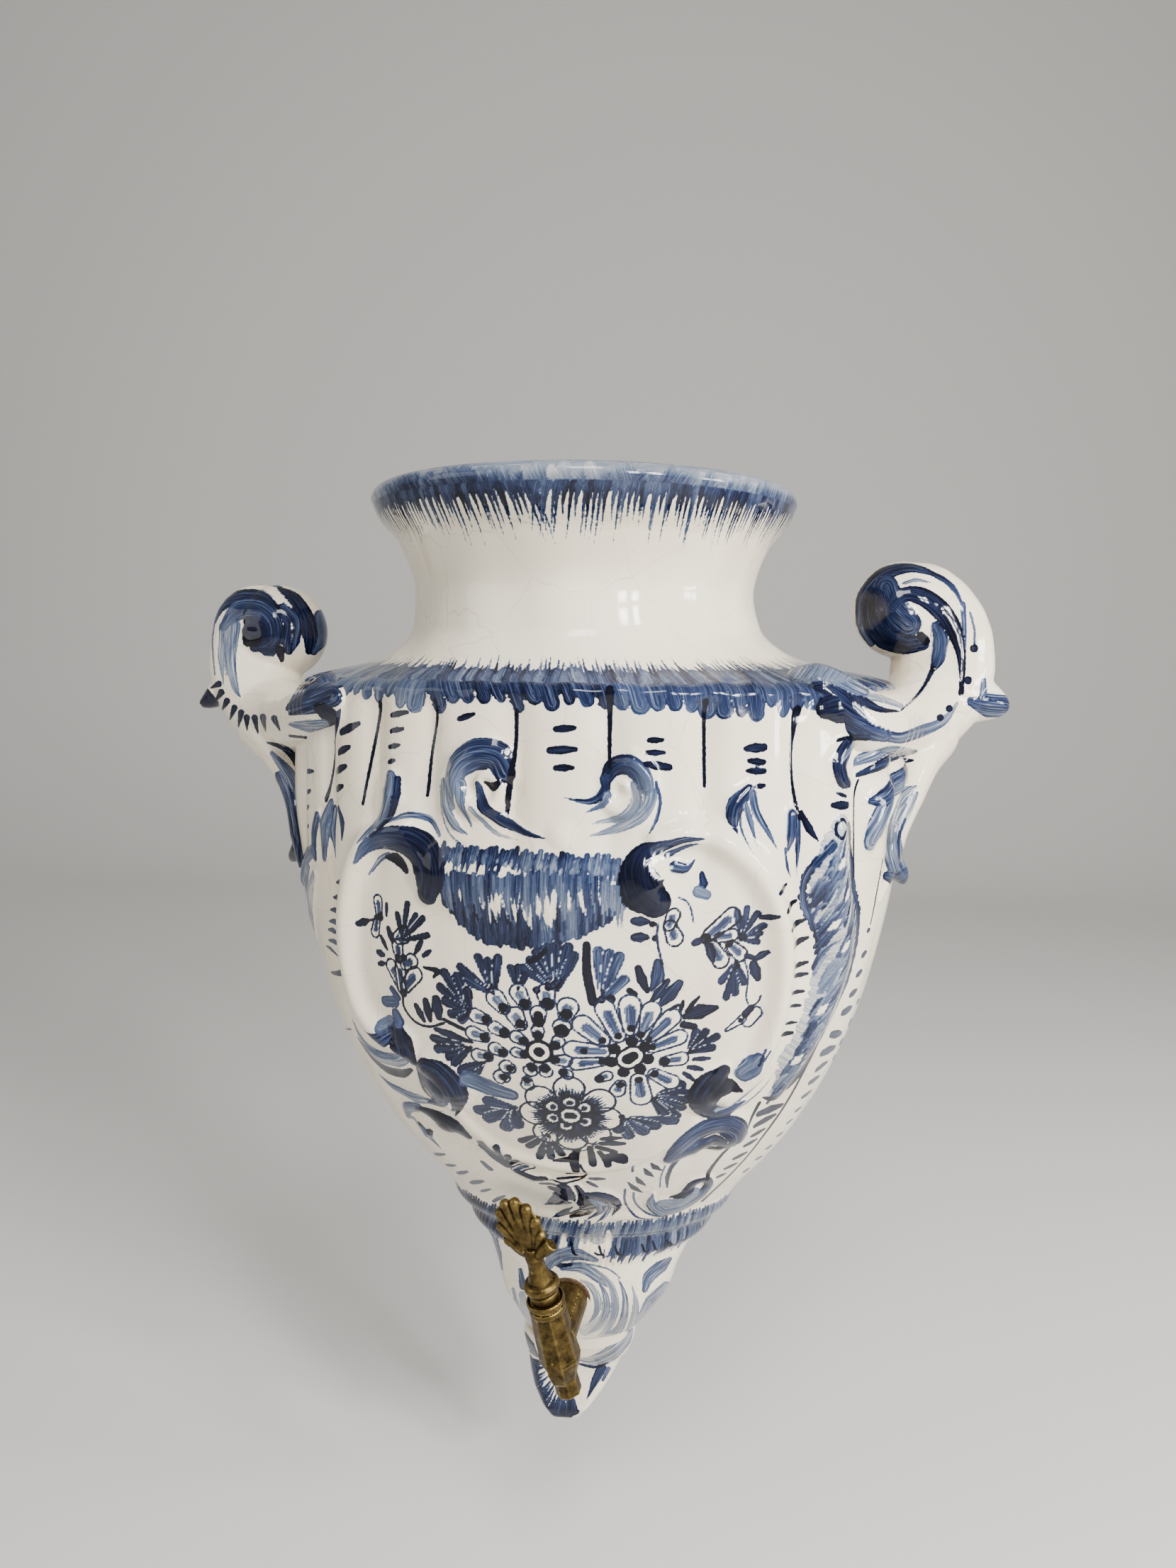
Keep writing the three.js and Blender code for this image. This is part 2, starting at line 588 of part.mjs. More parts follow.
function tapPlug() {
  const way = WATERWAY_RADIUS * 0.83;
  const port = new THREE.CylinderGeometry(way, way, 2 * PLUG_RADIUS + 2, 16)
    .rotateZ(Math.PI / 2)
    .translate(PLUG_RADIUS + 1, 0, 0);
  return shape(solid(rod(PLUG_RADIUS, plugSeat + SEAM, BARREL_TOP - SEAM))
    .add(solid(rod(STEM_RADIUS, 0, stemTop, 16)))
    .subtract(solid(rod(way, plugSeat - 1, way, 16)))
    .subtract(solid(port)));
}

function lathe(points, sides) {
  const profile = points.map(([x, y]) => new THREE.Vector2(x, y));
  return new THREE.LatheGeometry(profile, sides).rotateX(Math.PI / 2);
}

// Screwed ring that holds the plug down in the barrel
function glandNut() {
  const bore = STEM_RADIUS + PLUG_CLEARANCE;
  const waist = GLAND_RADIUS - 0.9;
  return lathe([
    [bore, glandLow], [waist, glandLow], [waist, glandLow + 0.9], [GLAND_RADIUS, glandLow + 1.3],
    [GLAND_RADIUS, glandHigh - 0.5], [GLAND_RADIUS - 0.5, glandHigh], [bore, glandHigh], [bore, glandLow],
  ], 24);
}

// Key: a round collar, a stem that narrows and a scallop shell to turn it by
function tapKey() {
  const low = glandHigh + SEAM;
  const collarTop = low + COLLAR_HEIGHT;
  const fanStart = collarTop + KEY_STEM_LENGTH;
  const neck = STEM_RADIUS + SEAM + STEM_WALL;
  const stem = lathe([
    [0, low], [COLLAR_RADIUS - 1.2, low], [COLLAR_RADIUS, low + COLLAR_HEIGHT * 0.35],
    [COLLAR_RADIUS, low + COLLAR_HEIGHT * 0.65], [COLLAR_RADIUS - 1.2, collarTop],
    [COLLAR_RADIUS - 1.4, collarTop + 1.5], [neck, fanStart - 4], [neck, fanStart + 4], [0, fanStart + 5],
  ], 20);
  const fan = new THREE.Shape();
  fan.moveTo(-neck, fanStart - 1);
  const steps = FAN_LOBES * 4;
  for (let k = 0; k <= steps; k += 1) {
    const turn = Math.PI * (1 - k / steps);
    const lobe = 1 + 0.07 * Math.abs(Math.sin((Math.PI * FAN_LOBES * k) / steps));
    fan.lineTo(
      FAN_HALF_WIDTH * Math.cos(turn) * lobe * 0.95,
      fanStart + FAN_HEIGHT * (0.42 + 0.54 * Math.sin(turn) * lobe),
    );
  }
  fan.lineTo(neck, fanStart - 1);
  fan.closePath();
  const blade = new THREE.ExtrudeGeometry(fan, { depth: FAN_THICKNESS, bevelEnabled: false })
    .translate(0, 0, -FAN_THICKNESS / 2)
    .rotateX(Math.PI / 2);
  const socket = rod(STEM_RADIUS + SEAM, low - 1, stemTop + SEAM, 16);
  return shape(solid(stem).add(solid(blade)).subtract(solid(socket)));
}

// Ring on the shank, such as a bush, a washer or a nut
function shankRing(outer, from, thickness, sides = 24) {
  const bore = alongShank(THREAD_RADIUS + SEAM, from - 1, from + thickness + 1);
  return shape(solid(alongShank(outer, from, from + thickness, sides)).subtract(solid(bore)));
}

const glaze = () => new THREE.MeshStandardMaterial({ color: 0xece8df, roughness: 0.18, metalness: 0 });
const brass = () => new THREE.MeshStandardMaterial({ color: 0x8c7440, roughness: 0.45, metalness: 1 });
const cork = () => new THREE.MeshStandardMaterial({ color: 0x8a6a47, roughness: 0.9, metalness: 0 });
const leather = () => new THREE.MeshStandardMaterial({ color: 0x4a3a2c, roughness: 0.85, metalness: 0 });

function named(name, geometry, material) {
  const mesh = new THREE.Mesh(geometry, material);
  mesh.name = name;
  return mesh;
}

const cistern = new THREE.Group();
cistern.add(named('vessel_shell', vesselShell(), glaze()));
cistern.add(named('back_plate', backPlate(), glaze()));
cistern.add(named('tail_leaf', tailLeaf(), glaze()));
cistern.add(named('handle_right', scrollHandle(1, RIGHT_SCROLL), glaze()));
cistern.add(named('handle_left', scrollHandle(-1, LEFT_SCROLL), glaze()));

const tap = new THREE.Group();
tap.position.copy(tapCentre);
tap.rotation.copy(tapTurn);
const bushStart = SHANK_REACH + SHANK_ENTRY + SEAM;
const washerStart = SHANK_REACH + WALL + WASHER_STANDOFF;
const nutStart = washerStart + WASHER_THICKNESS + SEAM;
const bush = shankRing(HOLE_RADIUS - SEAM, bushStart, washerStart - SEAM - bushStart);
const washer = shankRing(NUT_ACROSS / 2 + WASHER_MARGIN, washerStart, WASHER_THICKNESS);
const nut = shankRing(NUT_ACROSS / 2 / Math.cos(Math.PI / NUT_SIDES), nutStart, NUT_THICKNESS, NUT_SIDES);
tap.add(named('tap_body', tapBody(), brass()));
tap.add(named('tap_plug', tapPlug(), brass()));
tap.add(named('gland_nut', glandNut(), brass()));
tap.add(named('tap_key', tapKey(), brass()));
tap.add(named('shank_bush', bush, cork()));
tap.add(named('inner_washer', washer, leather()));
tap.add(named('back_nut', nut, brass()));
cistern.add(tap);

export default cistern;
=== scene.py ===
"""Wall cistern in tin-glazed earthenware with a small brass tap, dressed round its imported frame.

Sizes in the classes are millimetres in the row's frame: X to the right, -Y to the front and Z up from
the hanging holes. They become Blender's metres when a mesh is made.
"""
import logging
import math
from dataclasses import dataclass, field
from enum import Enum

import bmesh
import bpy
import numpy as np
from mathutils import Matrix, Vector


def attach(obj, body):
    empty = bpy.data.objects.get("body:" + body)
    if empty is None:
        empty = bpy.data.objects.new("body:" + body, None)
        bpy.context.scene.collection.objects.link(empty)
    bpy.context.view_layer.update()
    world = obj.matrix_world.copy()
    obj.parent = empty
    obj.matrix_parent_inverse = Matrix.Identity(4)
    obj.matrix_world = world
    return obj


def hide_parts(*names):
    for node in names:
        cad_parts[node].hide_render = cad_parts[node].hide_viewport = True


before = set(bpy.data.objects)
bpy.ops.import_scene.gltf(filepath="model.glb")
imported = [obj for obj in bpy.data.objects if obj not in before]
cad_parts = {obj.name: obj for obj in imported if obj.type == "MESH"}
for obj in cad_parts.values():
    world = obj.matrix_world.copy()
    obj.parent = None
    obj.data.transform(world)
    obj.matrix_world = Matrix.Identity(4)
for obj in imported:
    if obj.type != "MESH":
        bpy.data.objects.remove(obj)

LOG = logging.getLogger("wall_cistern")
MM = 0.001
Array = np.ndarray
NO_PAINT = -9.0
# Where the photographer's eye was, and how far before the wall lie the planes that some strokes are drawn on.
EYE = (32.75, -420.03, -7.37)
HANDLE_PLANE = 50.0
BOSS_PLANE = 40.0


def linear(code: str, alpha: float = 1.0) -> tuple[float, float, float, float]:
    """Turn an sRGB hex colour into linear RGBA.

    Args:
        code: Colour such as "#e9e2d3".
        alpha: Opacity.

    Returns:
        Linear red, green, blue and alpha.
    """
    parts = [int(code[i:i + 2], 16) / 255 for i in (1, 3, 5)]
    red, green, blue = (p / 12.92 if p <= 0.04045 else ((p + 0.055) / 1.055) ** 2.4 for p in parts)
    return red, green, blue, alpha


def add(tree: bpy.types.NodeTree, kind: str, inputs: dict | None = None, **settings) -> bpy.types.Node:
    """Add a node, set its properties, and set or link its inputs.

    Args:
        tree: Tree that gets the node.
        kind: Blender's name for the node type.
        inputs: Value or output socket for each input, by name or number.
        **settings: Properties of the node.

    Returns:
        The new node.
    """
    node = tree.nodes.new(kind)
    for name, value in settings.items():
        setattr(node, name, value)
    for key, value in (inputs or {}).items():
        if isinstance(value, bpy.types.NodeSocket):
            tree.links.new(value, node.inputs[key])
        else:
            node.inputs[key].default_value = value
    return node


def maths(tree: bpy.types.NodeTree, operation: str, *values, clamp: bool = False) -> bpy.types.NodeSocket:
    """Result of one operation on sockets and numbers."""
    node = add(tree, "ShaderNodeMath", dict(enumerate(values)), operation=operation, use_clamp=clamp)
    return node.outputs[0]


def remap(tree: bpy.types.NodeTree, value: bpy.types.NodeSocket, low: float, high: float,
          to_low: float = 0.0, to_high: float = 1.0, **settings) -> bpy.types.NodeSocket:
    """Value carried from one range to another and held at its ends."""
    node = add(tree, "ShaderNodeMapRange", {
        "Value": value, "From Min": low, "From Max": high, "To Min": to_low, "To Max": to_high}, **settings)
    return node.outputs[0]


def noise(tree: bpy.types.NodeTree, place: bpy.types.NodeSocket, size: float, detail: float,
          output: str = "Fac", **inputs) -> bpy.types.NodeSocket:
    """Noise whose lumps are about size millimetres wide."""
    node = add(tree, "ShaderNodeTexNoise", {
        "Vector": place, "Scale": 1 / (size * MM), "Detail": detail, **inputs})
    return node.outputs[output]


def blend(tree: bpy.types.NodeTree, share: bpy.types.NodeSocket, first: object, second: object
          ) -> bpy.types.NodeSocket:
    """Mix of two colours."""
    return add(tree, "ShaderNodeMix", {"Factor": share, 6: first, 7: second}, data_type="RGBA").outputs[2]


def bump(tree: bpy.types.NodeTree, height: bpy.types.NodeSocket, strength: float, depth: float
         ) -> bpy.types.NodeSocket:
    """Normal of a surface that rises by up to depth millimetres."""
    node = add(tree, "ShaderNodeBump", {"Strength": strength, "Distance": depth * MM, "Height": height})
    return node.outputs["Normal"]


def finish_material(tree: bpy.types.NodeTree, inputs: dict) -> None:
    """Send one principled shader to the output."""
    shader = add(tree, "ShaderNodeBsdfPrincipled", inputs)
    add(tree, "ShaderNodeOutputMaterial", {"Surface": shader.outputs["BSDF"]})


def blank_material(name: str) -> tuple[bpy.types.Material, bpy.types.NodeTree]:
    """Make a material with an empty node tree.

    Args:
        name: Name of the material.

    Returns:
        The material and its tree.
    """
    material = bpy.data.materials.new(name)
    material.use_nodes = True
    material.node_tree.nodes.clear()
    return material, material.node_tree


def coat(thing: bpy.types.Object, material: bpy.types.Material) -> None:
    """Give an object one material."""
    thing.data.materials.clear()
    thing.data.materials.append(material)


def linked(name: str, data: bpy.types.ID) -> bpy.types.Object:
    """Make an object of some data and link it to the scene."""
    thing = bpy.data.objects.new(name, data)
    bpy.context.scene.collection.objects.link(thing)
    return thing


def make_mesh(name: str, points: Array, corners: Array, sizes: Array | None = None) -> bpy.types.Object:
    """Make a mesh object at the origin from points in millimetres.

    Args:
        name: Name of the object.
        points: Points, one row each.
        corners: Vertex numbers of all faces in one row, or one row per face.
        sizes: Corners of each face, where they differ.

    Returns:
        The linked object, smooth shaded.
    """
    if sizes is None:
        sizes = np.full(len(corners), np.shape(corners)[1])
    flat = np.ascontiguousarray(np.ravel(corners), dtype=np.int32)
    mesh = bpy.data.meshes.new(name)
    mesh.vertices.add(len(points))
    mesh.vertices.foreach_set("co", np.ascontiguousarray(points * MM, dtype=np.float32).ravel())
    mesh.loops.add(len(flat))
    mesh.loops.foreach_set("vertex_index", flat)
    mesh.polygons.add(len(sizes))
    mesh.polygons.foreach_set("loop_start", np.concatenate([[0], np.cumsum(sizes)[:-1]]).astype(np.int32))
    mesh.update(calc_edges=True)
    mesh.validate()
    mesh.shade_smooth()
    return linked(name, mesh)


def grid_corners(rows: int, columns: int, closed_rows: bool = False) -> Array:
    """Corner numbers of the quads of a grid whose rows run upwards and columns to the right.

    Args:
        rows: Number of rows of points.
        columns: Number of columns of points.
        closed_rows: Whether the last row joins the first.

    Returns:
        One row of four vertex numbers per quad, facing the viewer.
    """
    low = np.arange(rows if closed_rows else rows - 1)[:, None] * columns
    high = (np.arange(rows if closed_rows else rows - 1)[:, None] + 1) % rows * columns
    left = np.arange(columns - 1)[None, :]
    return np.stack([low + left, low + left + 1, high + left + 1, high + left], -1).reshape(-1, 4)


def tube_faces(rings: int, sides: int, mirrored: bool = False) -> tuple[Array, Array]:
    """Faces of a closed tube whose rings of points follow each other.

    Args:
        rings: Number of rings.
        sides: Points in each ring.
        mirrored: Whether the rings run the other way round.

    Returns:
        Corners of all faces, and the size of each face.
    """
    start = np.arange(rings - 1)[:, None] * sides
    here, after = start + np.arange(sides), start + (np.arange(sides) + 1) % sides
    walls = np.stack([here, after, after + sides, here + sides], -1)
    ends = np.stack([np.arange(sides)[::-1], np.arange(sides) + (rings - 1) * sides])
    if mirrored:
        walls, ends = walls[..., [1, 0, 3, 2]], ends[:, ::-1]
    sizes = np.array([4] * ((rings - 1) * sides) + [sides, sides])
    return np.concatenate([walls.ravel(), ends.ravel()]), sizes


def mark_sharp(mesh: bpy.types.Mesh, lines: list[Array]) -> None:
    """Mark the edges that run along given lines of vertices as sharp.

    Args:
        mesh: Mesh to mark.
        lines: Vertex numbers of each line.
    """
    ends = np.zeros(len(mesh.edges) * 2, dtype=np.int32)
    mesh.edges.foreach_get("vertices", ends)
    ends = ends.reshape(-1, 2)
    sharp = np.zeros(len(mesh.edges), dtype=bool)
    for line in lines:
        on_line = np.zeros(len(mesh.vertices), dtype=bool)
        on_line[line] = True
        sharp |= on_line[ends].all(axis=1)
    flags = mesh.attributes.get("sharp_edge") or mesh.attributes.new("sharp_edge", "BOOLEAN", "EDGE")
    flags.data.foreach_set("value", sharp)


def vertex_points(mesh: bpy.types.Mesh) -> Array:
    """Return a mesh's vertices in millimetres, one row each."""
    flat = np.zeros(len(mesh.vertices) * 3, dtype=np.float32)
    mesh.vertices.foreach_get("co", flat)
    return flat.reshape(-1, 3).astype(float) / MM


def mesh_shape(mesh: bpy.types.Mesh) -> tuple[Array, Array, Array]:
    """Points in millimetres, corners and face sizes of a mesh."""
    corners = np.zeros(len(mesh.loops), dtype=np.int32)
    mesh.loops.foreach_get("vertex_index", corners)
    return vertex_points(mesh), corners, np.array([p.loop_total for p in mesh.polygons])


def move_vertices(thing: bpy.types.Object, points: Array) -> None:
    """Put an object's vertices at new points in millimetres."""
    thing.data.vertices.foreach_set("co", np.ascontiguousarray(points * MM, dtype=np.float32).ravel())
    thing.data.update()


def baked(thing: bpy.types.Object) -> bpy.types.Object:
    """Apply an object's modifiers to its mesh and remove them."""
    depsgraph = bpy.context.evaluated_depsgraph_get()
    mesh = bpy.data.meshes.new_from_object(thing.evaluated_get(depsgraph), depsgraph=depsgraph)
    thing.modifiers.clear()
    thing.data = mesh
    return thing


def smooth_step(low: float, high: float, value: Array) -> Array:
    """Rise smoothly from 0 at low to 1 at high."""
    share = np.clip((value - low) / (high - low), 0, 1)
    return share * share * (3 - 2 * share)


def waver(position: Array, step: float, seed: int) -> Array:
    """Smooth random values from -1 to 1 along a line.

    Args:
        position: Places on the line, in millimetres.
        step: Distance between two independent values.
        seed: Picks the run of values.

    Returns:
        One value for each place.
    """
    count = 512
    table = np.random.default_rng(seed).uniform(-1, 1, count)
    at = position / step + count // 2
    cell = np.floor(at)
    share = at - cell
    share = share * share * (3 - 2 * share)
    index = cell.astype(int) % count
    return table[index] * (1 - share) + table[(index + 1) % count] * share


def spline(points: list[tuple[float, float]], step: float = 1.2) -> Array:
    """Smooth curve through points in a plane.

    Args:
        points: Points that the curve passes through.
        step: Length of its pieces, in millimetres.

    Returns:
        Points along the curve, one row each, with the share of the way as a third column.
    """
    line = np.array(points, float)
    if len(line) == 1:
        line = np.vstack([line, line + 0.01])
    padded = np.vstack([2 * line[0] - line[1], line, 2 * line[-1] - line[-2]])
    made = []
    for i in range(len(line) - 1):
        before, start, end, after = padded[i:i + 4]
        count = max(2, int(np.linalg.norm(end - start) / step) + 1)
        u = np.linspace(0, 1, count, endpoint=False)[:, None]
        curve = 0.5 * (2 * start + (end - before) * u + (2 * before - 5 * start + 4 * end - after) * u ** 2
                       + (3 * start - before - 3 * end + after) * u ** 3)
        made.append(np.hstack([curve, (i + u) / (len(line) - 1)]))
    made.append(np.array([[line[-1][0], line[-1][1], 1.0]]))
    return np.vstack(made)


def way_along(line: Array) -> Array:
    """Distance along a line of points, at each of them."""
    return np.concatenate([[0], np.cumsum(np.linalg.norm(np.diff(line, axis=0), axis=1))])


def trace(curve: Array, across: Array, up: Array) -> tuple[Array, Array, Array]:
    """Measure how places lie along a curve in a plane.

    Args:
        curve: Result of spline.
        across: First coordinate of the places.
        up: Second coordinate of the places.

    Returns:
        Signed distance from the curve, the share of the way and the length along it.
    """
    best = np.full(across.shape, np.inf)
    side = np.zeros_like(best)
    share = np.zeros_like(best)
    length = np.zeros_like(best)
    run = 0.0
    for start, end in zip(curve[:-1], curve[1:]):
        way = end[:2] - start[:2]
        span = math.hypot(*way)
        if span < 1e-9:
            continue
        dx, dz = across - start[0], up - start[1]
        u = np.clip((dx * way[0] + dz * way[1]) / span ** 2, 0, 1)
        distance = np.hypot(dx - u * way[0], dz - u * way[1])
        nearer = distance < best
        best = np.where(nearer, distance, best)
        side = np.where(nearer, np.sign(way[0] * dz - way[1] * dx), side)
        share = np.where(nearer, start[2] + (end[2] - start[2]) * u, share)
        length = np.where(nearer, run + span * u, length)
        run += span
    return best * np.where(side == 0, 1, side), share, length


def close_to(curve: Array, margin: float, across: Array, up: Array) -> tuple[Array, ...]:
    """Indices of the places in the box round a curve."""
    low, high = curve[:, :2].min(axis=0) - margin, curve[:, :2].max(axis=0) + margin
    return np.nonzero((across > low[0]) & (across < high[0]) & (up > low[1]) & (up < high[1]))


@dataclass(frozen=True)
class Section:
    """Horizontal section of the vessel.

    Height z, half width, front depth, depth of the widest place and sideways lean, in millimetres.
    """

    z: float
    half: float
    front: float
    wide: float
    lean: float


def sections_between(upper: Section, lower: Section, rows: list[tuple]) -> list[Section]:
    """Sections between two others.

    Args:
        upper: Upper section.
        lower: Lower section.
        rows: The way down as a share, then how much of the upper one's half width, depth, widest place
            and lean is left there.

    Returns:
        The sections from top to bottom.
    """

    def mix(name: str, share: float) -> float:
        """Value between the two sections."""
        return getattr(lower, name) + (getattr(upper, name) - getattr(lower, name)) * share

    return [Section(mix("z", 1 - down), mix("half", half), mix("front", front), mix("wide", wide),
                    mix("lean", lean)) for down, half, front, wide, lean in rows]


@dataclass
class VesselForm:
    """Smooth outside of the vessel, as a point for each angle and height.

    Angle 0 is the right flank, a quarter turn the front and a half turn the left flank. A place on the
    surface is also given by its arc, the distance in millimetres round from the front line at its
    height, positive to the right, and its height: the chart that the painter works on.
    """

    rim_top: float = 36.0
    rim_band: float = 3.5
    wall: float = 6.5
    fullness: float = 1.75
    belly_lean: float = 4.3
    foot_lean: float = -3.0
    samples: int = 801
    levels: int = 2000
    stations: Array = field(init=False)

    def __post_init__(self) -> None:
        """Work out the stations from the driving sections."""
        rim = Section(self.rim_top - self.rim_band, 64.5, 130, 48, 0)
        neck = Section(6, 52, 114, 46, 0)
        shoulder = Section(-21, 91, 129, 46, self.belly_lean - 0.3)
        belly = Section(-54, 95.5, 131, 46, self.belly_lean)
        boss_top = Section(-207, 39, 58.5, 26, self.foot_lean + 4.8)
        boss = Section(-222, 32.5, 58.5, 25.5, self.foot_lean + 3.8)
        foot = Section(-257, 19.5, 27, 16, self.foot_lean)
        under_lip = Section(rim.z - 5, rim.half - 2.25, rim.front - 2.25, rim.wide, 0)
        rows = [
            rim, under_lip,
            *sections_between(rim, neck, [(0.47, 0.36, 0.41, 0.5, 0)]),
            neck,
            *sections_between(neck, shoulder, [
                (0.37, 0.96, 0.93, 1, 0.8), (0.67, 0.74, 0.6, 1, 0.5), (0.89, 0.28, 0.2, 1, 0.15)]),
            shoulder,
            *sections_between(shoulder, belly, [(0.27, 0.33, 0.5, 1, 1)]),
            belly,
            *sections_between(belly, boss_top, [
                (0.17, 0.956, 0.979, 1, 0.96), (0.301, 0.896, 0.945, 0.95, 0.88),
                (0.431, 0.818, 0.862, 0.85, 0.76), (0.562, 0.701, 0.71, 0.7, 0.64),
                (0.693, 0.549, 0.49, 0.5, 0.52), (0.791, 0.398, 0.297, 0.3, 0.44),
                (0.876, 0.239, 0.124, 0.15, 0.36), (0.941, 0.106, 0.034, 0.05, 0.24)]),
            boss_top, boss,
            *sections_between(boss, foot, [
                (0.286, 0.808, 0.873, 0.947, 0.842), (0.543, 0.5, 0.603, 0.737, 0.632),
                (0.8, 0.192, 0.317, 0.316, 0.316)]),
            foot,
        ]
        self.stations = np.array([[s.z, s.half, s.front, s.wide, s.lean] for s in rows])[::-1]

    def values(self, z: Array, column: int) -> Array:
        """One value of the section at some heights, by a curve that doesn't overshoot its stations."""
        heights, known = self.stations[:, 0], self.stations[:, column]
        z = np.clip(z, heights[0], heights[-1])
        slope = np.diff(known) / np.diff(heights)
        tangent = np.concatenate([slope[:1], np.zeros(len(slope) - 1), slope[-1:]])
        product, total = slope[:-1] * slope[1:], slope[:-1] + slope[1:]
        tangent[1:-1] = np.where(product > 0, 2 * product / np.where(product > 0, total, 1), 0)
        i = np.clip(np.searchsorted(heights, z, side="right") - 1, 0, len(heights) - 2)
        span = heights[i + 1] - heights[i]
        u = (z - heights[i]) / span
        return ((2 * u ** 3 - 3 * u ** 2 + 1) * known[i] + (u ** 3 - 2 * u ** 2 + u) * span * tangent[i]
                + (3 * u ** 2 - 2 * u ** 3) * known[i + 1] + (u ** 3 - u ** 2) * span * tangent[i + 1])

    def point(self, angle: Array, z: Array, proud: Array | float = 0.0) -> Array:
        """Points of the surface, grown outwards by proud millimetres."""
        half, front = self.values(z, 1) + proud, self.values(z, 2) + proud
        wide, lean = self.values(z, 3), self.values(z, 4)
        rise = np.sin(angle)
        reach = np.where(rise >= 0, front - wide, wide * self.fullness)
        return np.stack(np.broadcast_arrays(lean + half * np.cos(angle), -wide - reach * rise, z), -1)

    def normal(self, angle: Array, z: Array) -> Array:
        """Outward unit normals of the smooth surface."""
        step = 1e-3
        along = self.point(angle - step, z) - self.point(angle + step, z)
        upwards = self.point(angle, z + 10 * step) - self.point(angle, z - 10 * step)
        out = np.cross(along, upwards)
        return out / np.linalg.norm(out, axis=-1, keepdims=True)

    def ring(self, z: float, proud: float, count: int, back: float = 0.0) -> tuple[Array, Array]:
        """Angles and arcs of evenly spaced places round the section at a height.

        Args:
            z: Height of the section.
            proud: How far the ring lies outside the surface.
            count: Number of places, from the left back edge to the right one.
            back: Y of the two back edges.

        Returns:
            Angle and arc of each place.
        """
        wide = float(self.values(np.array(z), 3))
        end = -math.asin(min(1.0, (back + wide) / (wide * self.fullness)))
        angles = np.linspace(math.pi - end, end, self.samples)
        line = self.point(angles, np.full(self.samples, z), proud)
        run = way_along(line)
        place = np.linspace(0, run[-1], count)
        front = float(np.interp(-math.pi / 2, -angles, run))
        return np.interp(place, run, angles), place - front

    def heights(self, top: float, bottom: float, step: float) -> Array:
        """Heights from bottom to top whose rings lie about one step apart over the surface."""
        fine = np.linspace(bottom, top, self.levels)
        front, corner, flank = math.pi / 2, math.pi / 4, 0.05
        run = np.mean([way_along(self.point(np.full(self.levels, angle), fine))
                       for angle in (front, corner, flank)], axis=0)
        count = max(3, int(run[-1] / step) + 1)
        return np.interp(np.linspace(0, run[-1], count), run, fine)


class Hairs(Enum):
    """Which way a brush's hairs drag in a stroke."""

    ALONG = "along"
    ACROSS = "across"


@dataclass(frozen=True)
class Stroke:
    """One brush stroke on a chart.

    Args:
        line: Points of its middle line, in millimetres.
        width: Half width in equal steps along it.
        tone: Amount of pigment, from 0 to 1, in equal steps along it.
        dry: How streaky it is, from 0 to 1.
        hairs: Which way the hairs drag.
        ragged: How far its edge wanders, in millimetres.
        outline: Half width of its edge where only the edge is drawn.
        layer: 0 for a wash, 1 for what is painted over the washes.
    """

    line: list[tuple[float, float]]
    width: tuple[float, ...] = (0.6,)
    tone: tuple[float, ...] = (0.9,)
    dry: float = 0.25
    hairs: Hairs = Hairs.ALONG
    ragged: float = 0.0
    outline: float = 0.0
    layer: int = 1


def spread(values: tuple[float, ...], share: Array) -> Array:
    """Values given in equal steps, read at some shares of the way."""
    if len(values) == 1:
        return np.full_like(share, values[0])
    return np.interp(share, np.linspace(0, 1, len(values)), values)


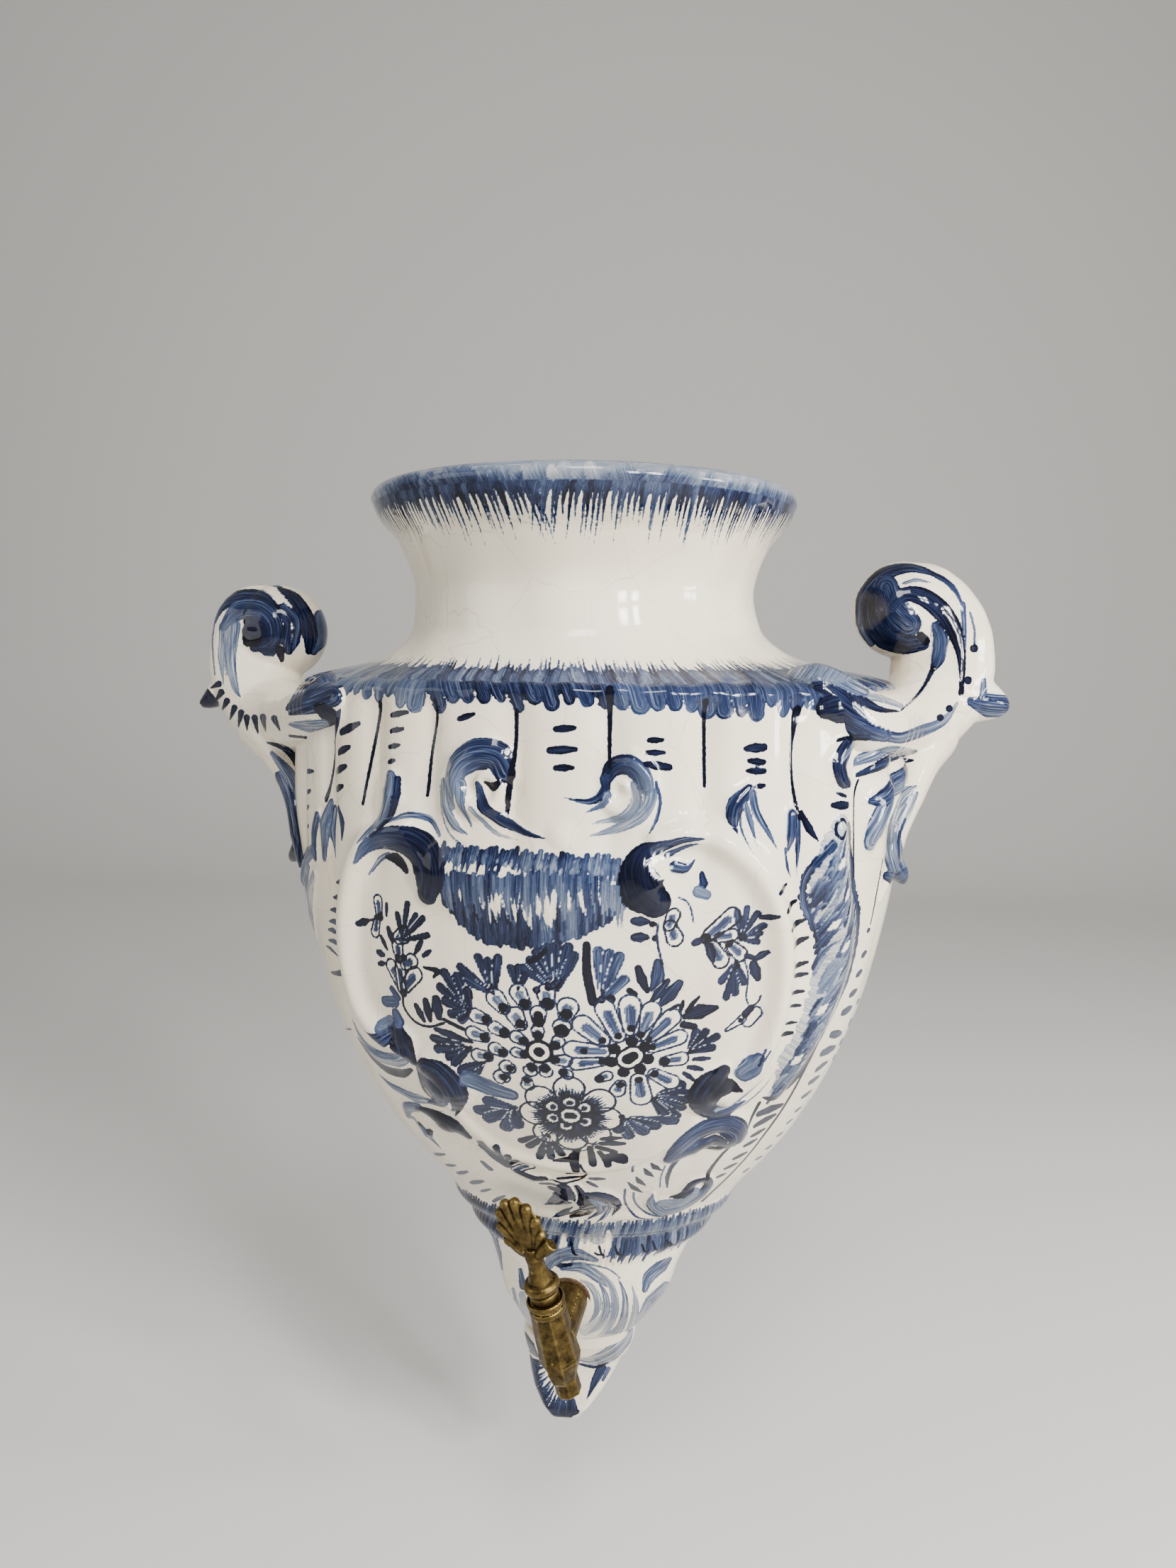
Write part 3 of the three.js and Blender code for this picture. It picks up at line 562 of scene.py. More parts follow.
class Painting:
    """Two layers of strokes, read at the vertices of a mesh.

    Each layer is stored as two vector attributes. The first holds how deep a place lies inside a
    stroke, its tone and its streakiness. The second holds the place across and along the stroke and
    the stroke's number, for the streaks of the brush.
    """

    layers = ("wash", "ink")
    beside = 1.5
    long_tooth = 1.3
    short_tooth = 0.55
    short_share = 0.6
    short_seed = 1000
    shift_step = 0.618
    shift_range = 40

    def __init__(self, strokes: list[Stroke]) -> None:
        """Keep the strokes in their order."""
        self.strokes = strokes

    def read(self, across: Array, up: Array, made: dict[str, Array]) -> None:
        """Read the painting at some places of its chart into the attributes' values."""
        for number, stroke in enumerate(self.strokes):
            self.lay(stroke, number, across, up, made)

    def lay(self, stroke: Stroke, number: int, across: Array, up: Array, made: dict[str, Array]) -> None:
        """Paint one stroke over what is there."""
        curve = spline(stroke.line)
        near = close_to(curve, max(stroke.width) + stroke.ragged + self.beside, across, up)
        if len(near[0]) == 0:
            return
        distance, share, length = trace(curve, across[near], up[near])
        half = spread(stroke.width, share)
        if stroke.ragged:
            tooth = waver(length, self.long_tooth, number)
            tooth = tooth + self.short_share * waver(length, self.short_tooth, number + self.short_seed)
            half = half + stroke.ragged * tooth
        inside = half - np.abs(distance)
        if stroke.outline:
            inside = stroke.outline - np.abs(inside)
        flow = (distance, length) if stroke.hairs is Hairs.ALONG else (length, distance)
        name = self.layers[stroke.layer]
        before = made[name][near][:, 0]
        over = (inside > 0) | (inside > before)
        chosen = near[0][over]
        deepest = np.maximum(before, inside)[over]
        made[name][chosen] = np.column_stack([deepest, spread(stroke.tone, share)[over],
                                              np.full(len(chosen), stroke.dry)])
        shift = np.full(len(chosen), (number * self.shift_step) % 1 * self.shift_range)
        made[name + "_flow"][chosen] = np.column_stack([flow[0][over], flow[1][over], shift])

    @classmethod
    def apply(cls, thing: bpy.types.Object, sheets: list[tuple["Painting", Array, Array]],
              bare: Array | None = None) -> None:
        """Store paintings on a mesh's vertices.

        Args:
            thing: Object to paint.
            sheets: Each painting with the two coordinates of every vertex on its chart.
            bare: True for vertices that stay unpainted.
        """
        count = len(thing.data.vertices)
        made = {}
        for name in cls.layers:
            made[name] = np.tile((NO_PAINT, 0.0, 0.0), (count, 1))
            made[name + "_flow"] = np.zeros((count, 3))
        for painting, across, up in sheets:
            painting.read(across, up, made)
        for name, values in made.items():
            if bare is not None and not name.endswith("_flow"):
                values[bare] = (NO_PAINT, 0, 0)
            attribute = thing.data.attributes.new(name, "FLOAT_VECTOR", "POINT")
            attribute.data.foreach_set("vector", values.astype(np.float32).ravel())


def seen_from_front(points: Array, depth: float) -> tuple[Array, Array]:
    """Place points on the view from the front.

    Args:
        points: Points in millimetres, one row each.
        depth: Distance of the view's plane before the wall.

    Returns:
        X and Z of each point where the painter sees it on that plane.
    """
    x, y, z = EYE
    scale = (-depth - y) / (points[:, 1] - y)
    return x + (points[:, 0] - x) * scale, z + (points[:, 2] - z) * scale


class Brush:
    """Collects the strokes of one painting."""

    def __init__(self) -> None:
        """Start with no strokes."""
        self.strokes: list[Stroke] = []

    def body(self, line: list, width: tuple, tone: tuple | float = 0.8, dry: float = 0.45, **more) -> None:
        """Lay a broad stroke."""
        tones = tone if isinstance(tone, tuple) else (tone,)
        self.strokes.append(Stroke(line, width, tones, dry, layer=0, **more))

    def line(self, line: list, width: tuple | float = 0.45, tone: float = 0.9, dry: float = 0.12,
             **more) -> None:
        """Draw a thin stroke over what is there."""
        widths = width if isinstance(width, tuple) else (width,)
        self.strokes.append(Stroke(line, widths, (tone,), dry, layer=1, **more))

    def white(self, line: list, width: tuple, layer: int = 0) -> None:
        """Leave a streak of bare glaze in one layer."""
        self.strokes.append(Stroke(line, width, (0.0,), 0.0, layer=layer))

    def dashes(self, marks: list[tuple], tone: float = 0.93) -> None:
        """Set down short dashes, each given by its two ends and its half width."""
        for x, z, x_end, z_end, half in marks:
            self.line([(x, z), ((x + x_end) / 2, (z + z_end) / 2), (x_end, z_end)],
                      (half * 0.75, half, half * 0.55), tone, 0.3)

    def leaves(self, foot: tuple, tips: list[tuple], half: float, tone: float = 0.8,
               dry: float = 0.5) -> None:
        """Press leaf fingers from one foot out to several tips."""
        for x, z in tips:
            reach = math.hypot(x - foot[0], z - foot[1])
            far = max(0.5, 1 - 0.8 * half / reach)
            end = (foot[0] + far * (x - foot[0]), foot[1] + far * (z - foot[1]))
            middle = (foot[0] + 0.6 * (x - foot[0]), foot[1] + 0.6 * (z - foot[1]))
            self.white([foot, middle, end], (half * 0.5, half * 0.95, half * 0.95))
            self.body([foot, middle, end], (half * 0.35, half * 0.82, half * 0.88), min(1.0, tone * 1.06),
                      dry)
            self.line([foot, middle], (0.3, 0.1), min(1.0, tone * 1.1), 0.2)

    def petal(self, foot: tuple, tip: tuple, half: float, fill: float = 0.6, edge: float = 0.75) -> None:
        """Draw a white petal with a line round it and a shaded middle."""
        reach = math.hypot(tip[0] - foot[0], tip[1] - foot[1]) or 1.0
        end = max(0.0, 1 - half * 0.8 / reach)
        far = (foot[0] + (tip[0] - foot[0]) * end, foot[1] + (tip[1] - foot[1]) * end)
        core = (foot[0] + (tip[0] - foot[0]) * end * 0.8, foot[1] + (tip[1] - foot[1]) * end * 0.8)
        self.white([foot, far], (half * 0.8, half))
        self.body([foot, core], (half * 0.35, half * 0.5), fill, 0.55)
        self.line([foot, far], (half * 0.75, half), edge, 0.15, outline=0.36)

    def eye(self, dot: tuple, tip: tuple, half: float, radius: float) -> None:
        """Draw a petal with a black dot at its foot."""
        self.petal(dot, tip, half)
        self.dot(dot, radius)

    def ring(self, at: tuple, outer: float, dot: float) -> None:
        """Draw the middle of a flower: a black ring round a black dot on white."""
        self.white([at], (outer,))
        self.line([at], (outer,), 1.0, 0.0, outline=0.55)
        self.dot(at, dot)

    def dot(self, at: tuple, radius: float) -> None:
        """Set down a black dot."""
        self.line([at], (radius,), 1.0, 0.0)


def rim_and_shoulder(brush: Brush) -> None:
    """Paint the rim's band and hairs, and the band round the shoulder."""
    rng = np.random.default_rng(31)
    brush.body([(-190, 33.6), (190, 33.6)], (3.4,), 0.42, 0.5, ragged=0.5)
    for arc in np.arange(-180, 181, 3.1):
        slant = -1.6 if arc > 20 else 1.2 if arc > -20 else 3.0
        tone = 0.72 + 0.25 * waver(np.array([arc]), 24, 5)[0] + rng.uniform(-0.12, 0.12)
        brush.body([(arc - slant, 33.4 + rng.uniform(-1, 1.2)), (arc, 31.2),
                    (arc + slant, 29.6 + rng.uniform(-0.8, 0.6))], (1.3, 2.2, 1.4), (tone * 0.6, tone, tone),
                   0.45)
    for arc in np.arange(-180, 181, 1.45):
        slant = 4.4 - 0.04 * abs(arc) if arc < -5 else -2.8 if arc < 40 else -3.4
        long = rng.uniform(0.55, 1.15)
        x, tone = arc + rng.uniform(-0.5, 0.5), rng.uniform(0.6, 0.98)
        brush.body([(x, 30.2), (x + slant * 0.4, 26.4), (x + slant * long, 29.5 - 11.5 * long)],
                   (0.95, 0.5, 0.12), (tone, tone, tone * 0.75), 0.35)
    brush.body([(-190, -18.6), (190, -18.6)], (2.2,), 0.5, 0.55, ragged=0.6)
    for arc in np.arange(-178, 179, 4.4):
        deep = -30 < arc < 8
        light = arc < -40
        low = -22.6 + rng.uniform(-2.0, 1.0) - (1.2 if arc > 10 else 0)
        tone = (0.97 if deep else 0.62 if light else 0.8) + rng.uniform(-0.08, 0.03)
        slant = -1.8 if light else 1.4
        wide = rng.uniform(0.6, 1.1)
        brush.body([(arc - slant, -17), (arc, -19.4), (arc + slant, low)], (2.0, 3.3 * wide, 2.3 * wide),
                   (tone * 0.8, tone, tone * 0.93), 0.5, ragged=0.6)
    for arc in np.arange(-178, 179, 1.1):
        lean = 4.2 if arc < -40 else 2.0 if arc < 0 else -1.0 if arc < 25 else -3.6
        long, tone = rng.uniform(0.4, 1.25), rng.uniform(0.5, 0.92)
        brush.body([(arc, -18.2), (arc + lean * 0.5, -16), (arc + lean, -17.2 + 4.6 * long)],
                   (0.8, 0.55, 0.12), tone, 0.5)


def flute_marks(brush: Brush) -> None:
    """Paint the lines down the flutes and the dashes beside them."""
    for points, width in (
        ([(-77.5, -36), (-77.2, -39), (-79.4, -48), (-81, -52.7)], (0.45, 0.5, 0.5, 0.9)),
        ([(-56.3, -24.5), (-57.2, -30), (-59.4, -40), (-62.1, -52)], (0.95, 0.55, 0.5, 0.5)),
        ([(-37.1, -23), (-36.9, -28.5), (-38.6, -37), (-40, -48)], (0.55, 0.6, 0.5, 0.5)),
        ([(-14.5, -25.2), (-14.6, -35), (-15.8, -42), (-17, -52)], (0.7, 0.55, 0.8, 0.5)),
        ([(9.3, -20.5), (9.5, -26), (9.5, -39)], (1.2, 0.7, 0.5)),
        ([(33.8, -22.8), (33.9, -26.5), (34.2, -44)], (0.95, 0.6, 0.5)),
        ([(61.4, -25), (60.5, -29.5), (59.8, -36), (60.2, -44), (62, -53.5)], (1.3, 0.9, 0.5, 0.5, 0.6)),
        ([(86.3, -45), (84.5, -50), (84.2, -60), (84.8, -72)], (0.45, 0.5, 0.5, 0.5)),
        ([(80, -112), (75.5, -125), (69.5, -139), (60.5, -156), (50, -173), (40, -187.5)],
         (0.4, 0.6, 0.7, 0.65, 0.6, 0.85)),
        ([(78.3, -118), (75, -127), (71.5, -134)], (0.4, 0.5, 0.4)),
        ([(55.5, -139), (50, -151), (43.5, -161), (40.5, -168), (39.3, -174.5)], (0.8, 0.5, 0.7, 0.9, 0.6)),
        ([(101.7, -69.3), (99.6, -79.3), (98.3, -88)], (0.5, 0.6, 0.5)),
        ([(-108, -134), (-96, -130), (-82, -125)], (0.5, 0.6, 0.4)),
        ([(74.5, -190), (69, -195), (64.5, -201), (63.5, -205.5)], (0.5, 0.6, 0.6, 0.5)),
    ):
        brush.line(points, width, 0.97, 0.1)
    brush.dashes([(-71.3, -33.3, -63.3, -30.4, 1.3), (-73.2, -38.9, -67, -36.9, 1.2),
                  (-74.8, -44.2, -68.7, -42.2, 1.2), (-75.6, -49.3, -70.5, -47.8, 1.15),
                  (-50.8, -27.6, -45.3, -26.6, 0.95), (-51, -31.8, -46.5, -30.9, 0.85),
                  (-51.7, -36, -47.8, -35.2, 0.85), (-52, -40, -49.5, -39.2, 0.8),
                  (-29.5, -27.8, -25.3, -26.4, 0.95), (-4, -29.7, 0.7, -29.3, 1.1),
                  (-5.6, -35, 1, -34.6, 1.2), (-4, -39.3, 0.3, -39.2, 1.05), (19.3, -32.2, 22.7, -32.2, 0.9),
                  (18.8, -35.3, 23.2, -35.3, 0.9), (24.4, -39, 18.2, -38, 1.25),
                  (50.2, -34.4, 44.8, -34.6, 1.4), (50, -38.2, 45.6, -37.7, 1.05),
                  (50.2, -40.5, 45.2, -40.2, 1.05), (50.2, -44.2, 47.3, -44.3, 0.8),
                  (78.8, -48.7, 74.2, -47.4, 0.6), (79.6, -51.2, 72.8, -50.6, 1.35)])
    brush.dashes([
        (-94.4, -46, -87.5, -45.3, 0.85), (-94, -52.1, -90, -51.1, 0.85), (-95.4, -57, -91.9, -55.8, 0.85),
        (-98, -63, -93.2, -61.8, 0.9)], 0.75)
    marks = [
        (-76.6, -76, -70, -75.6, 1.1), (-79.2, -80.8, -72, -80.8, 1.1), (-81.6, -85, -74.2, -84.9, 1.0),
        (-83.3, -88.8, -75.3, -88.6, 1.05), (-85, -91.8, -77.7, -91.8, 1.05),
        (-86.2, -95.4, -76.7, -95.2, 1.0), (-89.2, -98, -80.5, -99, 0.85)]
    for row, (x, z, x_end, z_end, half) in enumerate(marks):
        brush.line([(x, z), ((x + x_end) / 2, (z + z_end) / 2 + 0.5), (x_end, z_end)],
                   (0.35, half, 0.35), 0.8 - 0.02 * row, 0.3)
    brush.line([(-89, -106.8), (-80, -104.5), (-72.5, -100.4)], (0.5, 1.1, 0.3), 0.85, 0.2)
    brush.dashes([(53.5, -71.7, 58.2, -70.6, 0.75), (56.5, -77, 61.8, -75.5, 0.9),
                  (58.5, -82.3, 64.8, -81.2, 1.0), (60.2, -87.6, 66.5, -86.4, 1.05),
                  (61.3, -94, 67.4, -93.7, 0.9), (61.9, -96.8, 68, -97.2, 0.8),
                  (61.8, -101.9, 67.2, -102.3, 0.75), (62.2, -106, 66.6, -106.6, 0.65),
                  (61.4, -111.5, 65.5, -111.7, 0.6), (60.4, -114.9, 64.4, -114.9, 0.9)], 0.98)
    brush.dashes([
        (96.7, -89.8, 98.6, -90, 1.0), (96.2, -97.5, 99.2, -97.3, 1.3), (94.8, -103.5, 98.6, -103.2, 1.3),
        (92.6, -109.7, 97.6, -109.5, 1.4), (89.7, -115, 96.4, -115.3, 1.7), (85, -121.5, 93, -123.8, 1.7),
        (81.6, -127.4, 91, -128.6, 1.9), (81, -134, 88.3, -133.8, 1.5), (78.6, -138.5, 85.4, -139, 1.5),
        (76.6, -144.2, 83, -144.4, 1.3), (75, -150.5, 79, -150.7, 1.1), (72, -155.3, 75.2, -155, 1.0),
        (68.6, -160.5, 71.6, -160.4, 1.1), (64.8, -166, 67.4, -165.8, 1.3), (61.2, -171, 64, -171.2, 1.3),
        (56.6, -176.5, 59, -176.7, 1.5)], 0.8)
    brush.dashes([
        (56.2, -143.8, 65.3, -143.2, 1.9), (55.5, -149, 63.2, -147, 1.6), (54.9, -154, 60, -152.8, 1.2),
        (52.6, -158.3, 57.3, -156.8, 1.1), (49.3, -164, 54, -162.5, 1.2), (46.5, -168.8, 50.7, -167.5, 1.1),
        (44, -173, 47, -172.2, 1.0)], 0.92)
    brush.dashes([(105, -151, 107.5, -153.5, 2.2), (100.2, -156, 101.8, -158.8, 1.8),
                  (103, -115.3, 109, -117, 1.2), (100.5, -122, 109, -126, 1.9),
                  (96.5, -128.5, 109, -133.5, 1.9), (95, -134.5, 105, -139.5, 1.5),
                  (71.8, -196, 73, -198, 1.3), (72.5, -181.5, 74, -182, 1.5),
                  (66.5, -186.5, 69.5, -187, 1.5), (-53.5, -172.3, -46.2, -167.5, 1.0),
                  (-48.8, -176.2, -43.3, -173, 1.0), (-44.3, -179, -38.5, -174.5, 1.1),
                  (-39.5, -183, -33, -177.5, 1.3), (-36, -186.5, -31, -182, 0.8),
                  (-31.5, -190, -26, -184, 0.9)], 0.7)


def volutes(brush: Brush) -> None:
    """Paint the two volutes at the top of the cartouche."""
    brush.body([(-31.5, -50), (-31.5, -45), (-29, -39.5), (-24, -36.5), (-19, -37), (-17, -41)],
               (1.2, 2.2, 3.4, 4.1, 4.1, 2.6), (0.4, 0.5, 0.62, 0.8, 0.88, 0.88), 0.5)
    brush.body([(-34, -44), (-33.5, -50), (-30.5, -55), (-27, -57)], (1.2, 1.6, 1.2, 0.2), 0.5, 0.7)
    brush.body([(-28.5, -44), (-28, -50), (-25.8, -55.6)], (1.4, 1.2, 0.2), 0.6, 0.6)
    brush.body([(-24, -44), (-22.5, -49), (-18, -53), (-12, -55.8), (-6.3, -57.1)],
               (0.9, 1.5, 1.6, 0.9, 0.2), (0.7, 0.85, 0.85, 0.8, 0.75), 0.35)
    brush.line([(-35.6, -45), (-35, -52), (-32.5, -57), (-28, -60)], 0.36, 0.4)
    brush.body([(-25.5, -50), (-20, -56), (-12, -58.5)], (0.8, 0.6, 0.1), 0.4, 0.8)
    brush.line([(-22, -43.5), (-20, -44.5), (-18, -43)], (0.5, 1.3, 0.6), 1.0, 0.0)
    brush.body([(18.5, -40.5), (19.5, -46), (17, -51), (11, -54.5), (4.5, -56.3)], (1.2, 1.8, 1.8, 1.2, 0.2),
               (0.6, 0.55, 0.5, 0.45, 0.4), 0.75)
    brush.body([(15.5, -43), (16, -47.5), (12.5, -51.5), (5, -53.2)], (1.0, 1.4, 1.3, 0.2), 0.45, 0.8)
    brush.body([(8.5, -42), (10.5, -39), (14, -38.3), (17, -40.5), (18.2, -44)], (1.6, 2.4, 2.7, 2.6, 1.6),
               (0.95, 0.9, 0.75, 0.65, 0.55), 0.4)
    brush.body([(8.3, -42), (8.2, -45), (4.5, -47.6), (-2.6, -46.6)], (1.3, 1.3, 0.9, 0.1),
               (0.85, 0.85, 0.8, 0.7))
    brush.body([(9, -46), (7.5, -48.5), (3, -50.5)], (1.1, 0.9, 0.1), 0.55, 0.6)
    brush.line([(20.7, -42.5), (22, -47), (21.2, -52), (18.8, -56)], (0.5, 0.6, 0.5, 0.2), 0.65, 0.4)


def scroll_heads(brush: Brush) -> None:
    """Paint the dark heads of the cartouche's scrolls, what trails off them and painted shade under the left
    head.
    """
    brush.body([(24, -57.3), (18.5, -60), (16.5, -64.5), (18, -70), (21, -73)], (0.8, 2.5, 4.5, 6, 4.2),
               (0.7, 0.9, 1.0, 1.0, 0.97), 0.15)
    brush.body([(21, -59.5), (27, -57), (34, -56.8)], (1.5, 1.1, 0.15), 0.85, 0.6)
    brush.body([(24, -61), (29, -58.7), (33, -58)], (0.9, 0.6, 0.1), 0.75, 0.5)
    brush.body([(26, -64), (29, -64.5), (31.5, -62.5)], (1.6, 1.3, 0.2), 0.75, 0.5)
    for points in ([(20.5, -60.5), (19.5, -63.5), (21.5, -66.3), (25, -66)],
                   [(22.6, -60), (21.6, -63), (23.5, -65)], [(24.2, -60.8), (23.6, -63), (25, -64.2)]):
        brush.white(points, (0.35, 0.6, 0.45))
    brush.body([(33.5, -66.5), (34, -69)], (0.8, 1.3), 0.85, 0.3)
    brush.body([(32.5, -71), (34.8, -72)], (1.7, 1.4), 0.5, 0.3)
    brush.body([(-53, -56.5), (-46, -53.5), (-39.5, -54), (-35.5, -58)], (0.2, 0.9, 0.9, 0.6), 0.65, 0.8)
    brush.body([(-60, -71), (-56, -66.5), (-52, -64.5)], (0.3, 0.9, 0.8), 0.55, 0.8)
    brush.body([(-62.5, -67.8), (-58, -62.5), (-51.5, -60), (-45, -60), (-39.5, -63), (-37.5, -68),
                (-39, -73.5)], (0.3, 1.8, 3.2, 4.2, 5, 5, 3.2), (0.5, 0.65, 0.8, 0.95, 1.0, 1.0, 0.97), 0.35)
    # Black spot in the hollow under the left scroll's head: painted shade, laid in ink.
    brush.line([(-53.5, -65.5), (-49, -65.5), (-46, -68)], (0.6, 2.0, 1.2), 1.0, 0.0)
    brush.body([(-50.5, -44), (-50.8, -48.5), (-54, -54.5), (-61, -62)], (2.2, 3.6, 2.3, 0.2),
               (0.65, 0.6, 0.55), 0.6)
    brush.body([(-48, -44), (-48.3, -49), (-51.5, -55.5), (-56, -60)], (0.9, 1.1, 0.8, 0.1), 0.9, 0.35)
    brush.body([(45.5, -45), (42, -48.5), (41.2, -52), (42, -56)], (1.5, 2.6, 2, 0.2), 0.85, 0.45)
    brush.body([(46.5, -46), (48, -51), (52, -57), (55.2, -61.8)], (1.3, 1.2, 0.7, 0.1), 0.7, 0.7)
    brush.body([(44.5, -49), (46.5, -54), (48, -60)], (1.0, 0.8, 0.1), 0.6, 0.7)
    brush.line([(43, -52), (44, -57), (45.6, -61)], (0.5, 0.4, 0.1), 0.6, 0.4)
    brush.body([(59.5, -52.5), (59.2, -58), (58.5, -62)], (1.8, 1.8, 0.2), 0.8, 0.6)
    brush.body([(61.5, -52), (61.8, -60), (61.5, -69.5)], (1.0, 0.9, 0.1), 0.75, 0.6)
    brush.body([(57.5, -61), (58.5, -66), (60, -69.5)], (0.4, 0.6, 0.1), 0.7, 0.5)
    brush.line([(62.5, -52), (65, -56.3), (68, -59.8)], (0.8, 1.2, 0.3), 0.95, 0.3)
    brush.body([(-78.3, -53.5), (-80.5, -60), (-82, -69.5)], (1.5, 2.6, 1.2), 0.65, 0.7)
    brush.body([(-73.5, -54.2), (-71.3, -58), (-71.8, -63)], (0.9, 1.5, 0.4), 0.8, 0.5)
    brush.body([(-76, -55), (-77.5, -62), (-76.5, -69)], (1.5, 1.5, 0.2), 0.6, 0.8)
    brush.body([(-84.5, -58), (-87.3, -63.5), (-88, -70)], (1.8, 2, 1.6), 0.65, 0.6)
    brush.body([(-89, -68.5), (-94, -70.5), (-100, -74), (-106, -80)], (2, 2.2, 2.8, 3), 0.65, 0.5)
    brush.body([(-91, -76), (-96, -82), (-101, -90), (-105, -99)], (1.5, 3, 2.6, 0.5), 0.42, 0.9)
    brush.body([(-95, -74), (-101, -80), (-107, -90)], (1, 2.2, 0.5), 0.55, 0.85)
    brush.body([(41.5, -123), (37, -127), (35.5, -132), (38, -136.5), (44, -138), (50, -136)],
               (2.2, 4.4, 4.2, 3.2, 2, 0.3), (1.0, 1.0, 1.0, 0.92, 0.75, 0.6), 0.3)
    brush.body([(40, -127), (43.5, -127.5), (46.8, -128.8)], (3, 2, 0.3), 1.0, 0.1)
    brush.body([(40, -136), (48, -135), (56, -129)], (0.8, 0.7, 0.1), 0.45, 0.8)
    brush.line([(41, -139.3), (49, -138.2), (56, -133), (60, -128)], (0.5, 0.45, 0.35, 0.1), 0.4, 0.5)
    brush.body([(47, -124), (49.5, -121.5), (51.5, -118.5)], (2.2, 2.8, 1.2), 0.6, 0.6)
    brush.line([(51, -121), (53, -116)], 0.36, 0.6)
    brush.line([(52.5, -119.5), (54.2, -116.5)], 0.36, 0.6)


def lower_left(brush: Brush) -> None:
    """Paint the scrolls at the cartouche's lower left."""
    brush.body([(-77, -120), (-72, -125.5), (-64, -128), (-55, -127), (-49, -123.5)],
               (0.5, 1.6, 2.4, 2.6, 1.6), 0.5, 0.8)
    brush.body([(-74, -109), (-71.5, -115.5), (-66, -119.3), (-59.5, -119.8), (-54, -117)],
               (0.3, 2, 2.6, 2.6, 2), (0.55, 0.6, 0.7, 0.8, 0.85), 0.55)
    brush.body([(-52.5, -115), (-50.5, -119), (-48, -125)], (2.3, 4, 1.8), 0.97, 0.3)
    brush.line([(-78, -127), (-70, -131.5), (-62, -133.5), (-55, -132.5), (-50, -129.5)],
               (0.5, 1.3, 1.9, 1.9, 0.8), 0.97, 0.15)
    brush.body([(-68, -137.5), (-60, -139.8), (-50, -140.2), (-43, -139.5)], (0.3, 1.6, 2, 1), 0.55, 0.8)
    brush.body([(-43.5, -128), (-43, -134)], (4.2, 4.2), 0.93, 0.45)
    brush.body([(-43, -126), (-38, -127.5), (-35, -132), (-37, -137), (-44, -140)], (3.4, 5.2, 5.6, 4, 1),
               (1.0, 0.95, 0.95, 0.85, 0.75), 0.4)
    brush.white([(-35.2, -135), (-36.5, -138.5), (-40, -141.5)], (0.2, 1.0, 1.3))
    brush.line([(-33.9, -132), (-33, -137.5), (-35.5, -142.5)], (0.8, 1.2, 0.3), 1.0, 0.0)
    brush.body([(-58.5, -115.5), (-55.5, -113.5)], (1.9, 1.7), 0.55, 0.4)
    brush.body([(-58, -152), (-56, -147), (-50, -144)], (1.5, 2.4, 2), 0.65, 0.7)
    brush.body([(-50, -144.5), (-43, -145.5), (-36.5, -147.5), (-33, -151.5)], (1.2, 3.0, 3.4, 1.6),
               (0.85, 1.0, 1.0, 0.95), 0.3)
    brush.body([(-52.5, -153.5), (-50, -156.5), (-48, -155)], (1.2, 2.4, 1.2), 0.97, 0.35)
    brush.body([(-51, -155), (-48.5, -160), (-46, -164)], (1.6, 1.2, 0.2), 0.55, 0.8)
    brush.body([(-56, -152), (-53, -158), (-50, -160)], (1.0, 1.0, 0.3), 0.5, 0.8)
    brush.leaves((-22, -164), [(-29, -151.5), (-24, -152.5), (-20.3, -156), (-17.3, -158.5), (-30, -155)],
                 1.4, 0.9, 0.3)
    brush.body([(-30, -154), (-26.5, -160), (-22, -164)], (0.7, 1.0, 1.3), 0.9, 0.3)
    brush.petal((-19.5, -165), (-13.5, -161.5), 1.7, 0.8)
    brush.body([(-19, -165.5), (-14, -168.3), (-10.5, -167.5)], (1.2, 1.8, 1.2), 0.93, 0.3)
    brush.body([(-30.5, -165), (-28.5, -168)], (1.0, 1.3), 0.75, 0.3)


